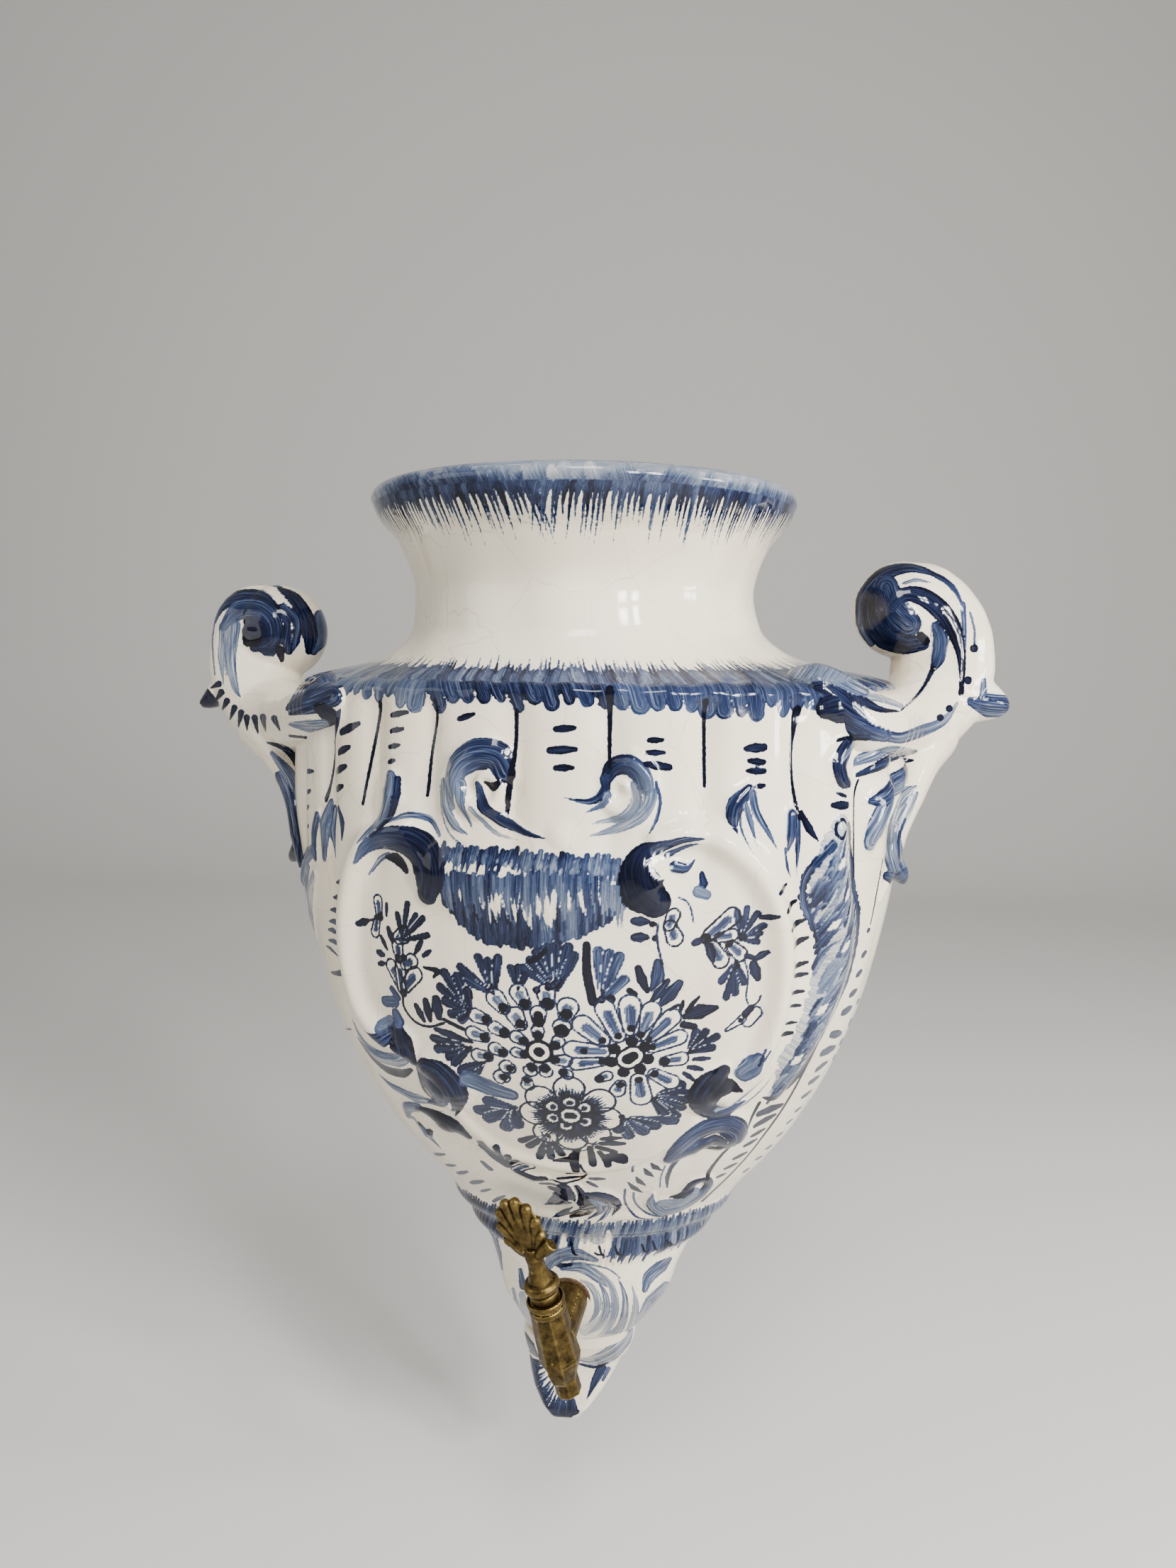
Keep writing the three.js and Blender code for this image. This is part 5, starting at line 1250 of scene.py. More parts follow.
def boss_strokes() -> list[Stroke]:
    """Strokes round the tap, on the view from the front 40 mm before the wall."""
    brush = Brush()
    brush.body([(1, -245), (6, -242), (9.5, -236)], (2, 2.2, 1), 0.22, 0.9)
    brush.body([(-7, -222.5), (0, -222), (6, -225.5), (10.5, -229)], (1, 2.2, 2, 0.4), 0.55, 0.75)
    brush.body([(-11, -219.5), (-8, -221.5), (-4, -221)], (0.5, 1.0, 0.6), 0.88, 0.3)
    brush.line([(2, -220.5), (9, -222), (13, -225)], 0.4, 0.5, 0.5)
    brush.body([(0.5, -249.5), (7, -247.5), (13, -242.5), (16, -235.5)], (1.4, 1.1, 0.9, 0.2), 0.55, 0.7)
    brush.line([(1, -250.8), (9, -249.5), (15.5, -245)], (0.4, 0.65, 0.3), 0.8, 0.3)
    brush.body([(-21.5, -224), (-20.5, -230)], (0.8, 1.4), 0.65, 0.6)
    brush.body([(-21, -233), (-19, -240), (-15, -246)], (1.2, 1.9, 1.2), 0.35, 0.8)
    brush.body([(-24, -231), (-21.5, -240), (-17.5, -247.5)], (0.6, 0.8, 0.4), 0.4, 0.8)
    brush.body([(-32, -212), (-30, -219), (-28, -224)], (2.4, 2.2, 0.5), 0.7, 0.6)
    brush.body([(21.5, -229), (23, -224), (27, -220), (30, -217)], (1.0, 2.2, 2.2, 0.8), 0.65, 0.7)
    brush.body([(20, -240), (24, -233), (29, -227)], (1.2, 2.4, 1.8), 0.55, 0.8)
    brush.body([(16.5, -245), (20, -239), (23, -234)], (0.8, 1.4, 0.8), 0.5, 0.8)
    for bend, first, last, tone in ((8.5, -50, 75, 0.3), (11.5, -62, 40, 0.4), (14.5, -66, 58, 0.32),
                                    (18.0, -70, 30, 0.45), (21.5, -60, 20, 0.3)):
        turns = np.radians(np.linspace(first, last, 7))
        brush.body([(-3 + bend * math.cos(t), -235 + bend * 1.05 * math.sin(t)) for t in turns],
                   (0.3, 1.1, 1.5, 1.2, 0.3), tone + 0.12, 0.85)
    brush.body([(-14, -226), (-10, -219.5), (-3, -217), (5, -219)], (0.8, 2.4, 2.6, 0.8), 0.55, 0.6)
    return brush.strokes


def tail_strokes() -> list[Stroke]:
    """Strokes of the tail leaf, on the view from the front 40 mm before the wall."""
    brush = Brush()
    edge = [(-19.8, -256.5), (-19.4, -262), (-17.8, -268), (-14.8, -273.5), (-10, -277), (-5, -277),
            (-1, -275.3)]
    brush.body(edge, (1.2, 2.4, 2.6, 2.4, 2.0, 1.4, 0.4), (0.7, 0.88, 0.97, 1.0, 1.0, 0.93, 0.75), 0.3,
               ragged=0.4)
    root_x, root_z = -4, -257
    rng = np.random.default_rng(4)
    for x, z in spline(edge, 1.0)[::2, :2]:
        long = rng.uniform(0.3, 0.62)
        brush.body([(x, z), (x + (root_x - x) * long * 0.5, z + (root_z - z) * long * 0.5 - 0.8),
                    (x + (root_x - x) * long, z + (root_z - z) * long)],
                   (1.0, 0.7, 0.12), (0.95, 0.75, 0.6), 0.4)
    brush.body([(-18, -255.5), (-16.8, -261)], (0.5, 1.9), 0.75, 0.4)
    brush.body([(7, -258.5), (5, -263), (2, -270.5)], (1.8, 1.5, 0.2), 0.8, 0.4)
    brush.body([(9.5, -258.5), (7.5, -263)], (0.8, 0.6), 0.6, 0.5)
    brush.body([(-1, -255.8), (4, -255.8), (10, -253), (15, -248), (17.5, -243.5)],
               (0.5, 1.8, 2.8, 2.0, 0.5), 0.45, 0.75)
    brush.line([(-2, -257.2), (4.5, -258.3), (9.5, -256.4)], (0.4, 0.7, 0.3), 0.8, 0.3)
    brush.body([(-20, -247.5), (-18, -252), (-15.5, -255.5)], (0.9, 1.8, 0.6), 0.8, 0.45)
    return brush.strokes


def left_handle_strokes() -> list[Stroke]:
    """Strokes of the left handle, on the view from the front 50 mm before the wall."""
    brush = Brush()
    brush.body([(-117, -5), (-117.5, -14), (-117, -24)], (1.0, 1.2, 0.1), 0.45, 0.9)
    brush.body([(-113, -4), (-114.3, -15), (-113, -24), (-111, -27.5)], (2.4, 1.9, 1.2, 0.1),
               (0.6, 0.55, 0.6), 0.85)
    brush.line([(-119.5, -4), (-120.3, -10), (-119.8, -20)], 0.36, 0.45, 0.5)
    brush.body([(-115.5, -6), (-116, -20)], (1.2, 0.3), 0.55, 0.9)
    brush.body([(-84.5, -1), (-84, -7), (-87, -12)], (2.2, 2.8, 1.4), 0.65, 0.4)
    brush.body([(-98, 8), (-93, 4.5), (-89.5, -1), (-88, -7), (-88.5, -12)], (0.6, 2.2, 2.8, 2.6, 1.2), 0.95,
               0.35)
    brush.body([(-96.5, 1), (-93.5, -3), (-94.5, -9), (-95, -12)], (2.2, 3.2, 3.2, 1.4), 0.88, 0.45)
    brush.body([(-119.8, -4), (-117, 2), (-111, 4.8), (-104, 4.6), (-98.5, 0.5)], (0.5, 1.8, 2.4, 2.6, 1.8),
               (0.6, 0.85, 0.93, 0.95, 0.95), 0.4)
    brush.body([(-116.5, -4.5), (-111.5, 0.5), (-105, 1), (-100.5, -2.5), (-100, -8), (-104, -11)],
               (1.4, 3.0, 3.2, 3.2, 3, 1.6), (0.6, 0.8, 0.9, 0.92, 0.9, 0.85), 0.5)
    brush.body([(-108, -3), (-104, -4), (-103, -7.5), (-106.5, -9)], (1.8, 2.2, 2.4, 1.8), 0.95, 0.3)
    brush.body([(-108, -6), (-104.5, -6.5)], (2.4, 2.4), 0.97, 0.2)
    brush.body([(-107, -11.3), (-102, -12.2), (-98, -11.5)], (1.2, 1.2, 1.2), 0.85, 0.4, ragged=0.5)
    brush.body([(-98, -12), (-97.5, -15)], (1.7, 0.8), 0.97, 0.2)
    brush.white([(-104.5, 8.3), (-98.5, 5.8), (-94, 2)], (0.3, 1.25, 0.4))
    brush.line([(-108, 9), (-102, 9.3), (-97, 8)], 0.5, 0.65, 0.5)
    brush.line([(-109.3, -5.5), (-108.4, -8.8), (-105, -8.5)], (0.6, 2.1, 1.5), 1.0, 0.0)
    for start, end in (((-118.6, -22.8), (-121.4, -24.2)), ((-117.8, -25.5), (-120, -28.5)),
                       ((-116, -28.3), (-117.8, -31.3)), ((-113.6, -30.5), (-115.2, -34.3)),
                       ((-111.4, -32), (-112.4, -36.5)), ((-109.6, -33.6), (-109.6, -37.6)),
                       ((-107, -33.6), (-106, -38.6)), ((-104.2, -33.3), (-103.5, -38)),
                       ((-100.5, -33.7), (-98.7, -37.5))):
        brush.line([start, end], (1.15, 0.3), 0.88, 0.25)
    brush.body([(-96, -30.5), (-90, -25.5), (-84, -22), (-78.5, -20.5)], (0.8, 3.2, 3.8, 3.0), 0.86, 0.55)
    brush.body([(-95, -32), (-88, -29.5), (-81, -26.5)], (0.8, 2.8, 3.4), 0.85, 0.55)
    brush.body([(-85, -30), (-81.5, -33.5), (-80, -39), (-82, -44)], (2.2, 3.0, 2.4, 0.5), 0.96, 0.35)
    brush.body([(-95, -35.5), (-89, -36), (-84, -35.5)], (0.8, 2.2, 1.8), 0.5, 0.88)
    brush.line([(-95.5, -39.3), (-88, -40), (-83, -41.3)], 0.5, 0.93)
    brush.body([(-103, -41.5), (-97, -43.5), (-93, -48), (-91.3, -53.5)], (0.4, 1.1, 1.5, 0.8), 0.93, 0.35)
    brush.body([(-101.5, -45), (-96.5, -51), (-93.5, -58), (-92.5, -66)], (0.8, 2.2, 2.4, 1.4), 0.6, 0.85)
    brush.body([(-99.5, -52), (-96, -61), (-94, -71), (-93.5, -80)], (1.2, 3.2, 3.4, 2.6),
               (0.7, 0.85, 0.93, 0.97), 0.6)
    brush.body([(-97, -72), (-97, -79), (-95, -84)], (1.4, 2.6, 2.0), 0.97, 0.2)
    brush.body([(-125, -25), (-121.5, -29.5)], (2.6, 2.8), 0.95, 0.2)
    return brush.strokes


def right_handle_strokes() -> list[Stroke]:
    """Strokes of the right handle, on the view from the front 50 mm before the wall."""
    brush = Brush()
    brush.body([(84.5, 1), (86, -4), (88.3, -8)], (1.4, 1.8, 1.1), 0.6, 0.5)
    brush.body([(84.5, -2), (85.5, 6), (91, 12.5), (98.5, 14.8), (106, 13), (112, 9), (115.8, 2.5)],
               (1.2, 2.2, 2.4, 1.5, 0.8, 0.9, 0.3), (0.65, 0.88, 0.95, 0.95, 0.88, 0.75, 0.65), 0.45)
    brush.body([(115.2, 4), (116, -4), (116.5, -14)], (0.9, 0.8, 0.3), 0.6, 0.6)
    brush.body([(92, 9), (94.5, 2), (99, -2)], (3.8, 5.2, 4.2), 0.88, 0.55)
    brush.body([(88.5, 6), (89, -1), (92.5, -6), (98.5, -8.3), (103.5, -7.8)], (3.0, 3.8, 3.8, 3.0, 2.4),
               0.95, 0.4)
    brush.body([(94, 3), (97.5, 6.8), (103, 6.2), (108.5, 2.3), (112.8, -3.5), (115.3, -11), (116, -18),
                (115.9, -23)], (1.2, 2.2, 2.8, 3, 2.5, 1.5, 0.9, 0.9),
               (0.88, 0.9, 0.95, 0.97, 1.0, 1.0, 0.97, 0.97), 0.3)
    brush.white([(96, 9.8), (100.5, 10.9), (106, 9.8)], (0.3, 0.9, 0.2))
    brush.body([(97.5, 10.2), (101, 11.3), (105.5, 10.4)], (0.5, 0.6, 0.2), 0.55, 0.85)
    brush.line([(103, -5.6), (104.6, -7.2)], (1.4, 1.4), 1.0, 0.0)
    brush.white([(105.8, -1), (105.4, -4.5), (106.2, -9)], (0.5, 0.7, 0.4))
    brush.body([(107.4, -2.5), (109, -7), (108.5, -12.5), (107, -16)], (1.4, 2.4, 2.2, 0.9),
               (0.75, 0.68, 0.72, 0.85), 0.35)
    brush.line([(107.2, -15.5), (105.2, -20), (102.2, -24.5), (98, -28.5)], (0.9, 0.6, 0.45, 0.36), 0.85,
               0.3)
    brush.line([(117.5, 1.5), (119, -3.5), (119.2, -8)], 0.42, 0.55, 0.4)
    for x, z, radius in ((119.2, -9.3, 1.3), (117.8, -19, 1.35), (112.6, -27.7, 1.15), (110, -30.5, 1.15)):
        brush.line([(x, z)], (radius,), 0.9, 0.2)
    brush.body([(92, -35.5), (98, -37), (105, -34.5), (111, -31.5), (115, -26)], (1.8, 1.8, 1.9, 1.4, 0.5),
               (0.82, 0.68, 0.6, 0.5, 0.4), 0.65)
    brush.body([(86, -24), (92, -25), (98, -27)], (1.2, 1.2, 0.8), 0.4, 0.85)
    brush.body([(78, -19.5), (84, -24), (91, -28), (97.5, -28.8)], (1.6, 1.8, 1.1, 0.3), 0.97, 0.3)
    brush.body([(60, -19.5), (68, -17), (77, -18.5), (87, -23)], (3, 4.5, 4, 1.5), 0.6, 0.8, ragged=0.6)
    for start in np.arange(62, 86, 1.6):
        brush.body([(start, -19), (start + 2.4, -15.5), (start + 3.6, -12.5)], (0.8, 0.6, 0.15), 0.55, 0.6)
    brush.body([(73, -24.5), (77, -27.5), (83, -31.5), (89, -34.5), (93, -36)], (5, 6.4, 5.6, 3.6, 2.4),
               (0.97, 0.95, 0.92, 0.85, 0.75), 0.45)
    brush.white([(86.5, -27.5), (89.5, -31.5), (95, -34.5)], (0.4, 0.9, 0.3))
    brush.body([(78, -38.5), (83, -37.2), (88, -37)], (0.6, 1.0, 1.0), 0.95, 0.3)
    brush.body([(77.5, -44), (78.5, -41), (83, -38.5)], (1.5, 1.5, 0.8), 0.95, 0.4)
    brush.body([(79, -47.5), (81.5, -50.2), (84, -48.5)], (1.4, 1.4, 1.0), 0.88, 0.5)
    brush.body([(83, -48), (89, -44.5), (96, -41.8), (103, -41)], (1.6, 2.8, 2.5, 0.6), 0.66, 0.7)
    brush.body([(85.5, -51), (91, -47.5), (97.5, -44.6), (102.5, -43.8)], (0.8, 2.3, 1.6, 0.3), 0.97, 0.35)
    brush.body([(92.5, -69), (95.5, -62), (99.5, -55), (103.5, -52)], (2.4, 3.4, 2.8, 0.5), 0.55, 0.85)
    brush.body([(91.5, -58), (93, -55), (96, -52.5), (99, -49.5)], (2.2, 2.4, 1.2, 0.2), 0.9, 0.5)
    brush.body([(90, -60.5), (89.7, -65.5), (91.3, -70), (93, -72)], (1.2, 1.6, 2, 1.2), 0.8, 0.5)
    brush.body([(98, -66), (100.5, -60), (104, -54)], (2.0, 2.2, 0.6), 0.5, 0.9)
    brush.body([(97, -65), (97.5, -73), (99.5, -79)], (2.2, 3.4, 3.2), (0.5, 0.55, 0.78), 0.85)
    brush.line([(100.8, -62), (99, -68), (99.4, -75)], (0.4, 0.6, 0.3), 0.6, 0.5)
    brush.body([(96, -80.5), (99.5, -81.5), (102, -79.5)], (1.6, 2.6, 2.0), 0.85, 0.5)
    brush.body([(122.5, -19), (122.6, -25)], (0.9, 1.4), 0.55, 0.6)
    brush.body([(119, -25.5), (124, -26.5), (129.5, -26.8)], (1.5, 3.8, 3.4), 0.78, 0.6)
    return brush.strokes


@dataclass(frozen=True)
class Bar:
    """Round bar or dome moulded on the front.

    Args:
        line: Points of its middle line on the chart.
        radius: Half width in equal steps along it.
        rise: How far it stands out, as a share of its radius.
    """

    line: list[tuple[float, float]]
    radius: tuple[float, ...] = (4.0,)
    rise: float = 0.8


def curl(middle: tuple[float, float], radius: float, start: float, turns: float
         ) -> list[tuple[float, float]]:
    """Points of a spiral that winds in to its middle.

    Args:
        middle: Middle of the spiral on the chart.
        radius: Distance of its outer end.
        start: Direction of the outer end, in degrees.
        turns: Number of turns, negative for clockwise.

    Returns:
        Points from the outer end inwards.
    """
    made = []
    for share in np.linspace(0, 1, max(5, int(abs(turns) * 9))):
        angle, reach = math.radians(start + 360 * turns * share), radius * (1 - 0.82 * share)
        made.append((middle[0] + reach * math.cos(angle), middle[1] + reach * math.sin(angle)))
    return made


def bars_under(strokes: list[Stroke], least: float = 1.6, rise: float = 0.42) -> list[Bar]:
    """Swellings of the clay that the broad strokes were painted along."""
    wider, beyond = 1.15, 0.5
    return [Bar(s.line, tuple(w * wider + beyond for w in s.width), rise) for s in strokes
            if s.layer == 0 and max(s.width) >= least and max(s.tone) > 0 and len(s.line) > 2]


def vessel_bars() -> list[Bar]:
    """Moulded scrolls, leaves, crest, rope and ring of the front."""
    painted = Brush()
    for paint in (volutes, scroll_heads, lower_left, lower_right, foot_shell, handle_roots):
        paint(painted)
    bars = bars_under(painted.strokes)
    bars += [
        Bar([(-46, -57), (-56, -59.5), (-64, -67), (-69, -80), (-71, -93), (-70, -105), (-66, -114),
             (-57, -120), (-50, -122)], (3.2, 4.2, 4.6, 4.8, 4.8, 4.6, 4.4, 4.0, 3.0), 0.8),
        Bar([(21, -57), (30, -55.5), (40, -59), (49, -67), (55, -78), (57.5, -90), (57.5, -103), (55, -115),
             (50, -126), (43, -133)], (3.2, 4.2, 4.6, 4.8, 4.8, 4.8, 4.6, 4.4, 4.0, 3.4), 0.8),
        Bar([(-36, -140), (-30, -149), (-22, -156), (-10, -160), (2, -161), (14, -158), (25, -150),
             (34, -141)], (2.6, 3.0, 3.0, 2.6, 2.6, 3.0, 3.0, 2.6), 0.4),
        Bar([(-32, -68), (-10, -70), (11, -69)], (11.0, 13.0, 11.0), 0.2),
        Bar([(76, -58), (74, -67), (75.5, -77), (79, -87), (79.5, -97), (76.5, -107), (71.5, -117),
             (67, -126), (62, -136)], (4, 7.5, 8.5, 8.5, 8.5, 8.0, 7.0, 5.5, 3.0), 0.32),
        Bar([(-75, -196.5), (0, -195.5), (75, -196.5)], (4.5,), 0.42),
        Bar([(-75, -205), (0, -205), (75, -205)], (4.5,), 0.4),
        Bar([(-24, -191), (-12, -190), (0, -192), (12, -189.5), (24, -190)], (2.4,), 0.45),
        Bar(curl((-22.5, -44.5), 9.0, 110, 1.1), (3.2, 3.0, 2.6, 2.2, 1.6), 0.75),
        Bar(curl((12.5, -45), 8.0, 70, -1.1), (3.0, 2.8, 2.4, 2.0, 1.5), 0.75),
    ]
    bars += [Bar([(x, z), (x + 0.1, z)], (radius,), rise) for x, z, radius, rise in (
        (-39, -68, 6.5, 0.4), (19, -66, 6.5, 0.4), (40, -129.5, 6.5, 0.42), (-39, -132.5, 7, 0.42),
        (45, -149, 6, 0.42), (-40, -148, 5.5, 0.36), (-3, -57, 4.5, 0.3), (0, -180, 8, 0.2))]
    rng = np.random.default_rng(40)
    for arc in np.arange(-60, 61, 2.1):
        bars.append(Bar([(arc, -199.8), (arc - 0.5, -205), (arc - 1, -209.5 + rng.uniform(-1.5, 1.5))],
                        (0.9, 1.25, 0.7), 0.75))
    for arc in np.arange(-32, 12, 2.2):
        bars.append(Bar([(arc, -70), (arc + 0.2, -77), (arc, -82.5 + abs(arc + 10) * 0.15)], (0.7, 1.2, 0.9),
                        0.6))
    return bars


@dataclass
class Relief:
    """Moulded relief of the front: flutes, scrolls, the crest and the ragged ring over the boss."""

    flute_arcs: tuple[float, ...] = (-122, -100, -78, -57, -38.5, -15, 9.5, 34, 60, 85, 107, 128)
    flute_depth: float = 2.0
    flute_half_width: float = 4.2
    flute_steepness: float = 1.7
    flute_head: tuple[float, float] = (-18.5, -27)
    flute_foot: tuple[float, float] = (-44, -84)
    flute_fading: float = 0.9
    eave_height: float = 1.1
    eave_z: float = -19.5
    eave_width: float = 3.2
    lobe_arc: float = 12.0
    neck_z: float = 3
    neck_width: float = 15
    bars: list[Bar] = field(default_factory=list)
    bar_step: float = 2.0
    bar_reach: float = 1.8
    bar_shoulder: float = 0.82
    bar_steepness: float = 2.4
    bar_meeting: float = 0.25
    highest_swell: float = 4.2

    def height(self, arc: Array, z: Array) -> Array:
        """How far the surface stands out at some places of the chart."""
        run = smooth_step(*self.flute_head, z) * (1 - self.flute_fading * smooth_step(*self.flute_foot, z))
        grooves = np.zeros_like(arc)
        for middle in self.flute_arcs:
            aside = np.abs((arc - middle) / self.flute_half_width)
            grooves = np.maximum(grooves, np.exp(-aside ** self.flute_steepness))
        lobes = 0.75 + 0.25 * np.cos(arc * 2 * math.pi / self.lobe_arc)
        eave = self.eave_height * np.exp(-((z - self.eave_z) / self.eave_width) ** 2) * lobes
        ripple = 0.3 * np.cos(arc / 6.3) + 0.2 * np.cos(arc / 3.6 + 1)
        neck = np.exp(-((z - self.neck_z) / self.neck_width) ** 2) * ripple
        return neck + eave - self.flute_depth * grooves * run + self.swell(arc, z)

    def swell(self, across: Array, up: Array) -> Array:
        """How far the bars stand out, with a soft meeting where they cross."""
        raised = np.zeros_like(across)
        for bar in self.bars:
            curve = spline(bar.line, self.bar_step)
            near = close_to(curve, max(bar.radius) * self.bar_reach, across, up)
            if len(near[0]) == 0:
                continue
            distance, share, _ = trace(curve, across[near], up[near])
            radius = spread(bar.radius, share)
            aside = np.abs(distance / (self.bar_shoulder * radius))
            out = bar.rise * radius * np.exp(-aside ** self.bar_steepness)
            raised[near] = np.maximum(raised[near], out) + self.bar_meeting * np.minimum(raised[near], out)
        return np.minimum(raised, self.highest_swell)


@dataclass(frozen=True)
class TinGlaze:
    """White tin glaze on earthenware, painted with cobalt before firing.

    Dipped and fired, so it is thick, glossy and finely crazed, with a few iron specks. The pigment sank
    into it, so it is as glossy where it is painted. It is a little darker just inside a stroke's edge and
    streaked where the brush ran dry.
    """

    name: str = "tin_glaze_cobalt"
    cream: str = "#e8dec9"
    warm: str = "#dbcdb2"
    speck: str = "#8a6a4a"
    pigment_stops: tuple[tuple[float, str], ...] = (
        (0.0, "#ffffff"), (0.14, "#ced4e0"), (0.32, "#8c9bbb"), (0.5, "#53658f"), (0.66, "#2d3c6a"),
        (0.82, "#161e42"), (1.0, "#06081a"))
    roughness: float = 0.09
    ior: float = 1.45
    shine: float = 0.34
    hair_mm: float = 0.42
    hair_squeeze: float = 0.035
    wear: float = 0.85

    def material(self) -> bpy.types.Material:
        """Build the node tree."""
        material, tree = blank_material(self.name)
        place = add(tree, "ShaderNodeTexCoord").outputs["Object"]
        density = self.density(tree, place)
        ground = self.ground(tree, place)
        height = maths(tree, "MULTIPLY_ADD", noise(tree, place, 1.6, 1.0), 0.12, noise(tree, place, 7, 1.5))
        finish_material(tree, {
            "Base Color": self.pigment(tree, ground, density), "Roughness": self.roughness, "IOR": self.ior,
            "Specular IOR Level": self.shine, "Normal": bump(tree, height, 0.35, 0.35)})
        return material

    def density(self, tree: bpy.types.NodeTree, place: bpy.types.NodeSocket) -> bpy.types.NodeSocket:
        """Pigment of both layers together, from 0 to 1."""
        edge = maths(tree, "MULTIPLY_ADD", noise(tree, place, 0.8, 2.0), 0.5, -0.25)
        wash, ink = (self.left_bare(tree, layer, edge) for layer in Painting.layers)
        return maths(tree, "SUBTRACT", 1.0, maths(tree, "MULTIPLY", wash, ink), clamp=True)

    def left_bare(self, tree: bpy.types.NodeTree, layer: str,
                  edge: bpy.types.NodeSocket) -> bpy.types.NodeSocket:
        """How much of the ground shows through one layer, from 0 to 1."""
        shape = add(tree, "ShaderNodeAttribute", attribute_name=layer)
        flow = add(tree, "ShaderNodeAttribute", attribute_name=layer + "_flow")
        part = add(tree, "ShaderNodeSeparateXYZ", {0: shape.outputs["Vector"]}).outputs
        depth = maths(tree, "ADD", part["X"], edge)
        cover = remap(tree, depth, -0.06, 0.2, interpolation_type="SMOOTHSTEP")
        drag = add(tree, "ShaderNodeVectorMath", {
            0: flow.outputs["Vector"], 1: (1 / self.hair_mm, self.hair_squeeze / self.hair_mm, 1.0)},
            operation="MULTIPLY")
        hairs = add(tree, "ShaderNodeTexNoise", {
            "Vector": drag.outputs[0], "Scale": 1.0, "Detail": 2.5, "Roughness": 0.62})
        streak = remap(tree, hairs.outputs["Fac"], 0.42, 0.68)
        worn = maths(tree, "MULTIPLY", streak, maths(tree, "MULTIPLY", part["Z"], self.wear))
        laid = maths(tree, "MULTIPLY", part["Y"], maths(tree, "SUBTRACT", 1.0, worn, clamp=True))
        pool = remap(tree, depth, 0.9, 0.25, 1.0, 1.18)
        shown = maths(tree, "MULTIPLY", maths(tree, "MULTIPLY", laid, pool), cover, clamp=True)
        return maths(tree, "SUBTRACT", 1.0, shown, clamp=True)

    def ground(self, tree: bpy.types.NodeTree, place: bpy.types.NodeSocket) -> bpy.types.NodeSocket:
        """Colour of the bare glaze, with its warm patches, cracks and iron specks."""
        patches = remap(tree, noise(tree, place, 45, 3.0), 0.35, 0.75)
        base = blend(tree, patches, linear(self.cream), linear(self.warm))
        bent = add(tree, "ShaderNodeVectorMath", {
            0: noise(tree, place, 14, 2.0, "Color"), 1: (9 * MM,) * 3, 2: place}, operation="MULTIPLY_ADD")
        cracks = add(tree, "ShaderNodeTexVoronoi", {"Vector": bent.outputs[0], "Scale": 1 / (24 * MM)},
                     feature="DISTANCE_TO_EDGE")
        crack = remap(tree, cracks.outputs["Distance"], 0.0085, 0.002, 0.0, 0.22)
        crazed = blend(tree, crack, base, linear(self.speck))
        specks = add(tree, "ShaderNodeTexVoronoi",
                     {"Vector": place, "Scale": 1 / (9 * MM), "Randomness": 1.0})
        dot = remap(tree, specks.outputs["Distance"], 0.028, 0.012, 0.0, 0.75)
        return blend(tree, dot, crazed, linear(self.speck))

    def pigment(self, tree: bpy.types.NodeTree, ground: bpy.types.NodeSocket,
                density: bpy.types.NodeSocket) -> bpy.types.NodeSocket:
        """Colour of the ground seen through the pigment."""
        ramp = add(tree, "ShaderNodeValToRGB", {"Fac": density})
        first, *between, last = self.pigment_stops
        for element, (position, code) in zip(ramp.color_ramp.elements, (first, last)):
            element.position = position
            element.color = linear(code)
        for position, code in between:
            ramp.color_ramp.elements.new(position).color = linear(code)
        mixed = add(tree, "ShaderNodeMix", {"Factor": 1.0, 6: ground, 7: ramp.outputs["Color"]},
                    data_type="RGBA", blend_type="MULTIPLY")
        return mixed.outputs[2]


@dataclass(frozen=True)
class AgedBrass:
    """Sand-cast brass, dull brown where it is untouched and bright where it is handled."""

    name: str = "aged_cast_brass"
    dark: str = "#241b0e"
    bright: str = "#86703f"
    dull_roughness: float = 0.55
    bright_roughness: float = 0.3

    def material(self) -> bpy.types.Material:
        """Build the node tree."""
        material, tree = blank_material(self.name)
        place = add(tree, "ShaderNodeTexCoord").outputs["Object"]
        patina = noise(tree, place, 3.2, 6.0, Roughness=0.65)
        rubbed = remap(tree, add(tree, "ShaderNodeNewGeometry").outputs["Pointiness"], 0.44, 0.56)
        share = remap(tree, maths(tree, "MULTIPLY", patina, rubbed), 0.16, 0.5)
        finish_material(tree, {
            "Base Color": blend(tree, share, linear(self.dark), linear(self.bright)), "Metallic": 1.0,
            "Roughness": remap(tree, share, 0.0, 1.0, self.dull_roughness, self.bright_roughness),
            "Normal": bump(tree, noise(tree, place, 0.45, 4.0), 0.5, 0.12)})
        return material


@dataclass(frozen=True)
class Fibre:
    """Turned cork or greased leather: matt, mottled and a little rough."""

    name: str
    light: str
    dark: str
    grain_mm: float
    roughness: float = 0.85

    def material(self) -> bpy.types.Material:
        """Build the node tree."""
        material, tree = blank_material(self.name)
        place = add(tree, "ShaderNodeTexCoord").outputs["Object"]
        mottle = noise(tree, place, self.grain_mm, 5.0)
        share = remap(tree, mottle, 0.35, 0.65)
        finish_material(tree, {
            "Base Color": blend(tree, share, linear(self.dark), linear(self.light)),
            "Roughness": self.roughness, "Normal": bump(tree, mottle, 0.4, 0.15)})
        return material


@dataclass(frozen=True)
class Paper:
    """Matt studio paper for the floor and the background."""

    name: str = "studio_paper"
    colour: str = "#d2d0cb"
    roughness: float = 0.9

    def material(self) -> bpy.types.Material:
        """Build the node tree."""
        material, tree = blank_material(self.name)
        finish_material(tree, {"Base Color": linear(self.colour), "Roughness": self.roughness})
        return material


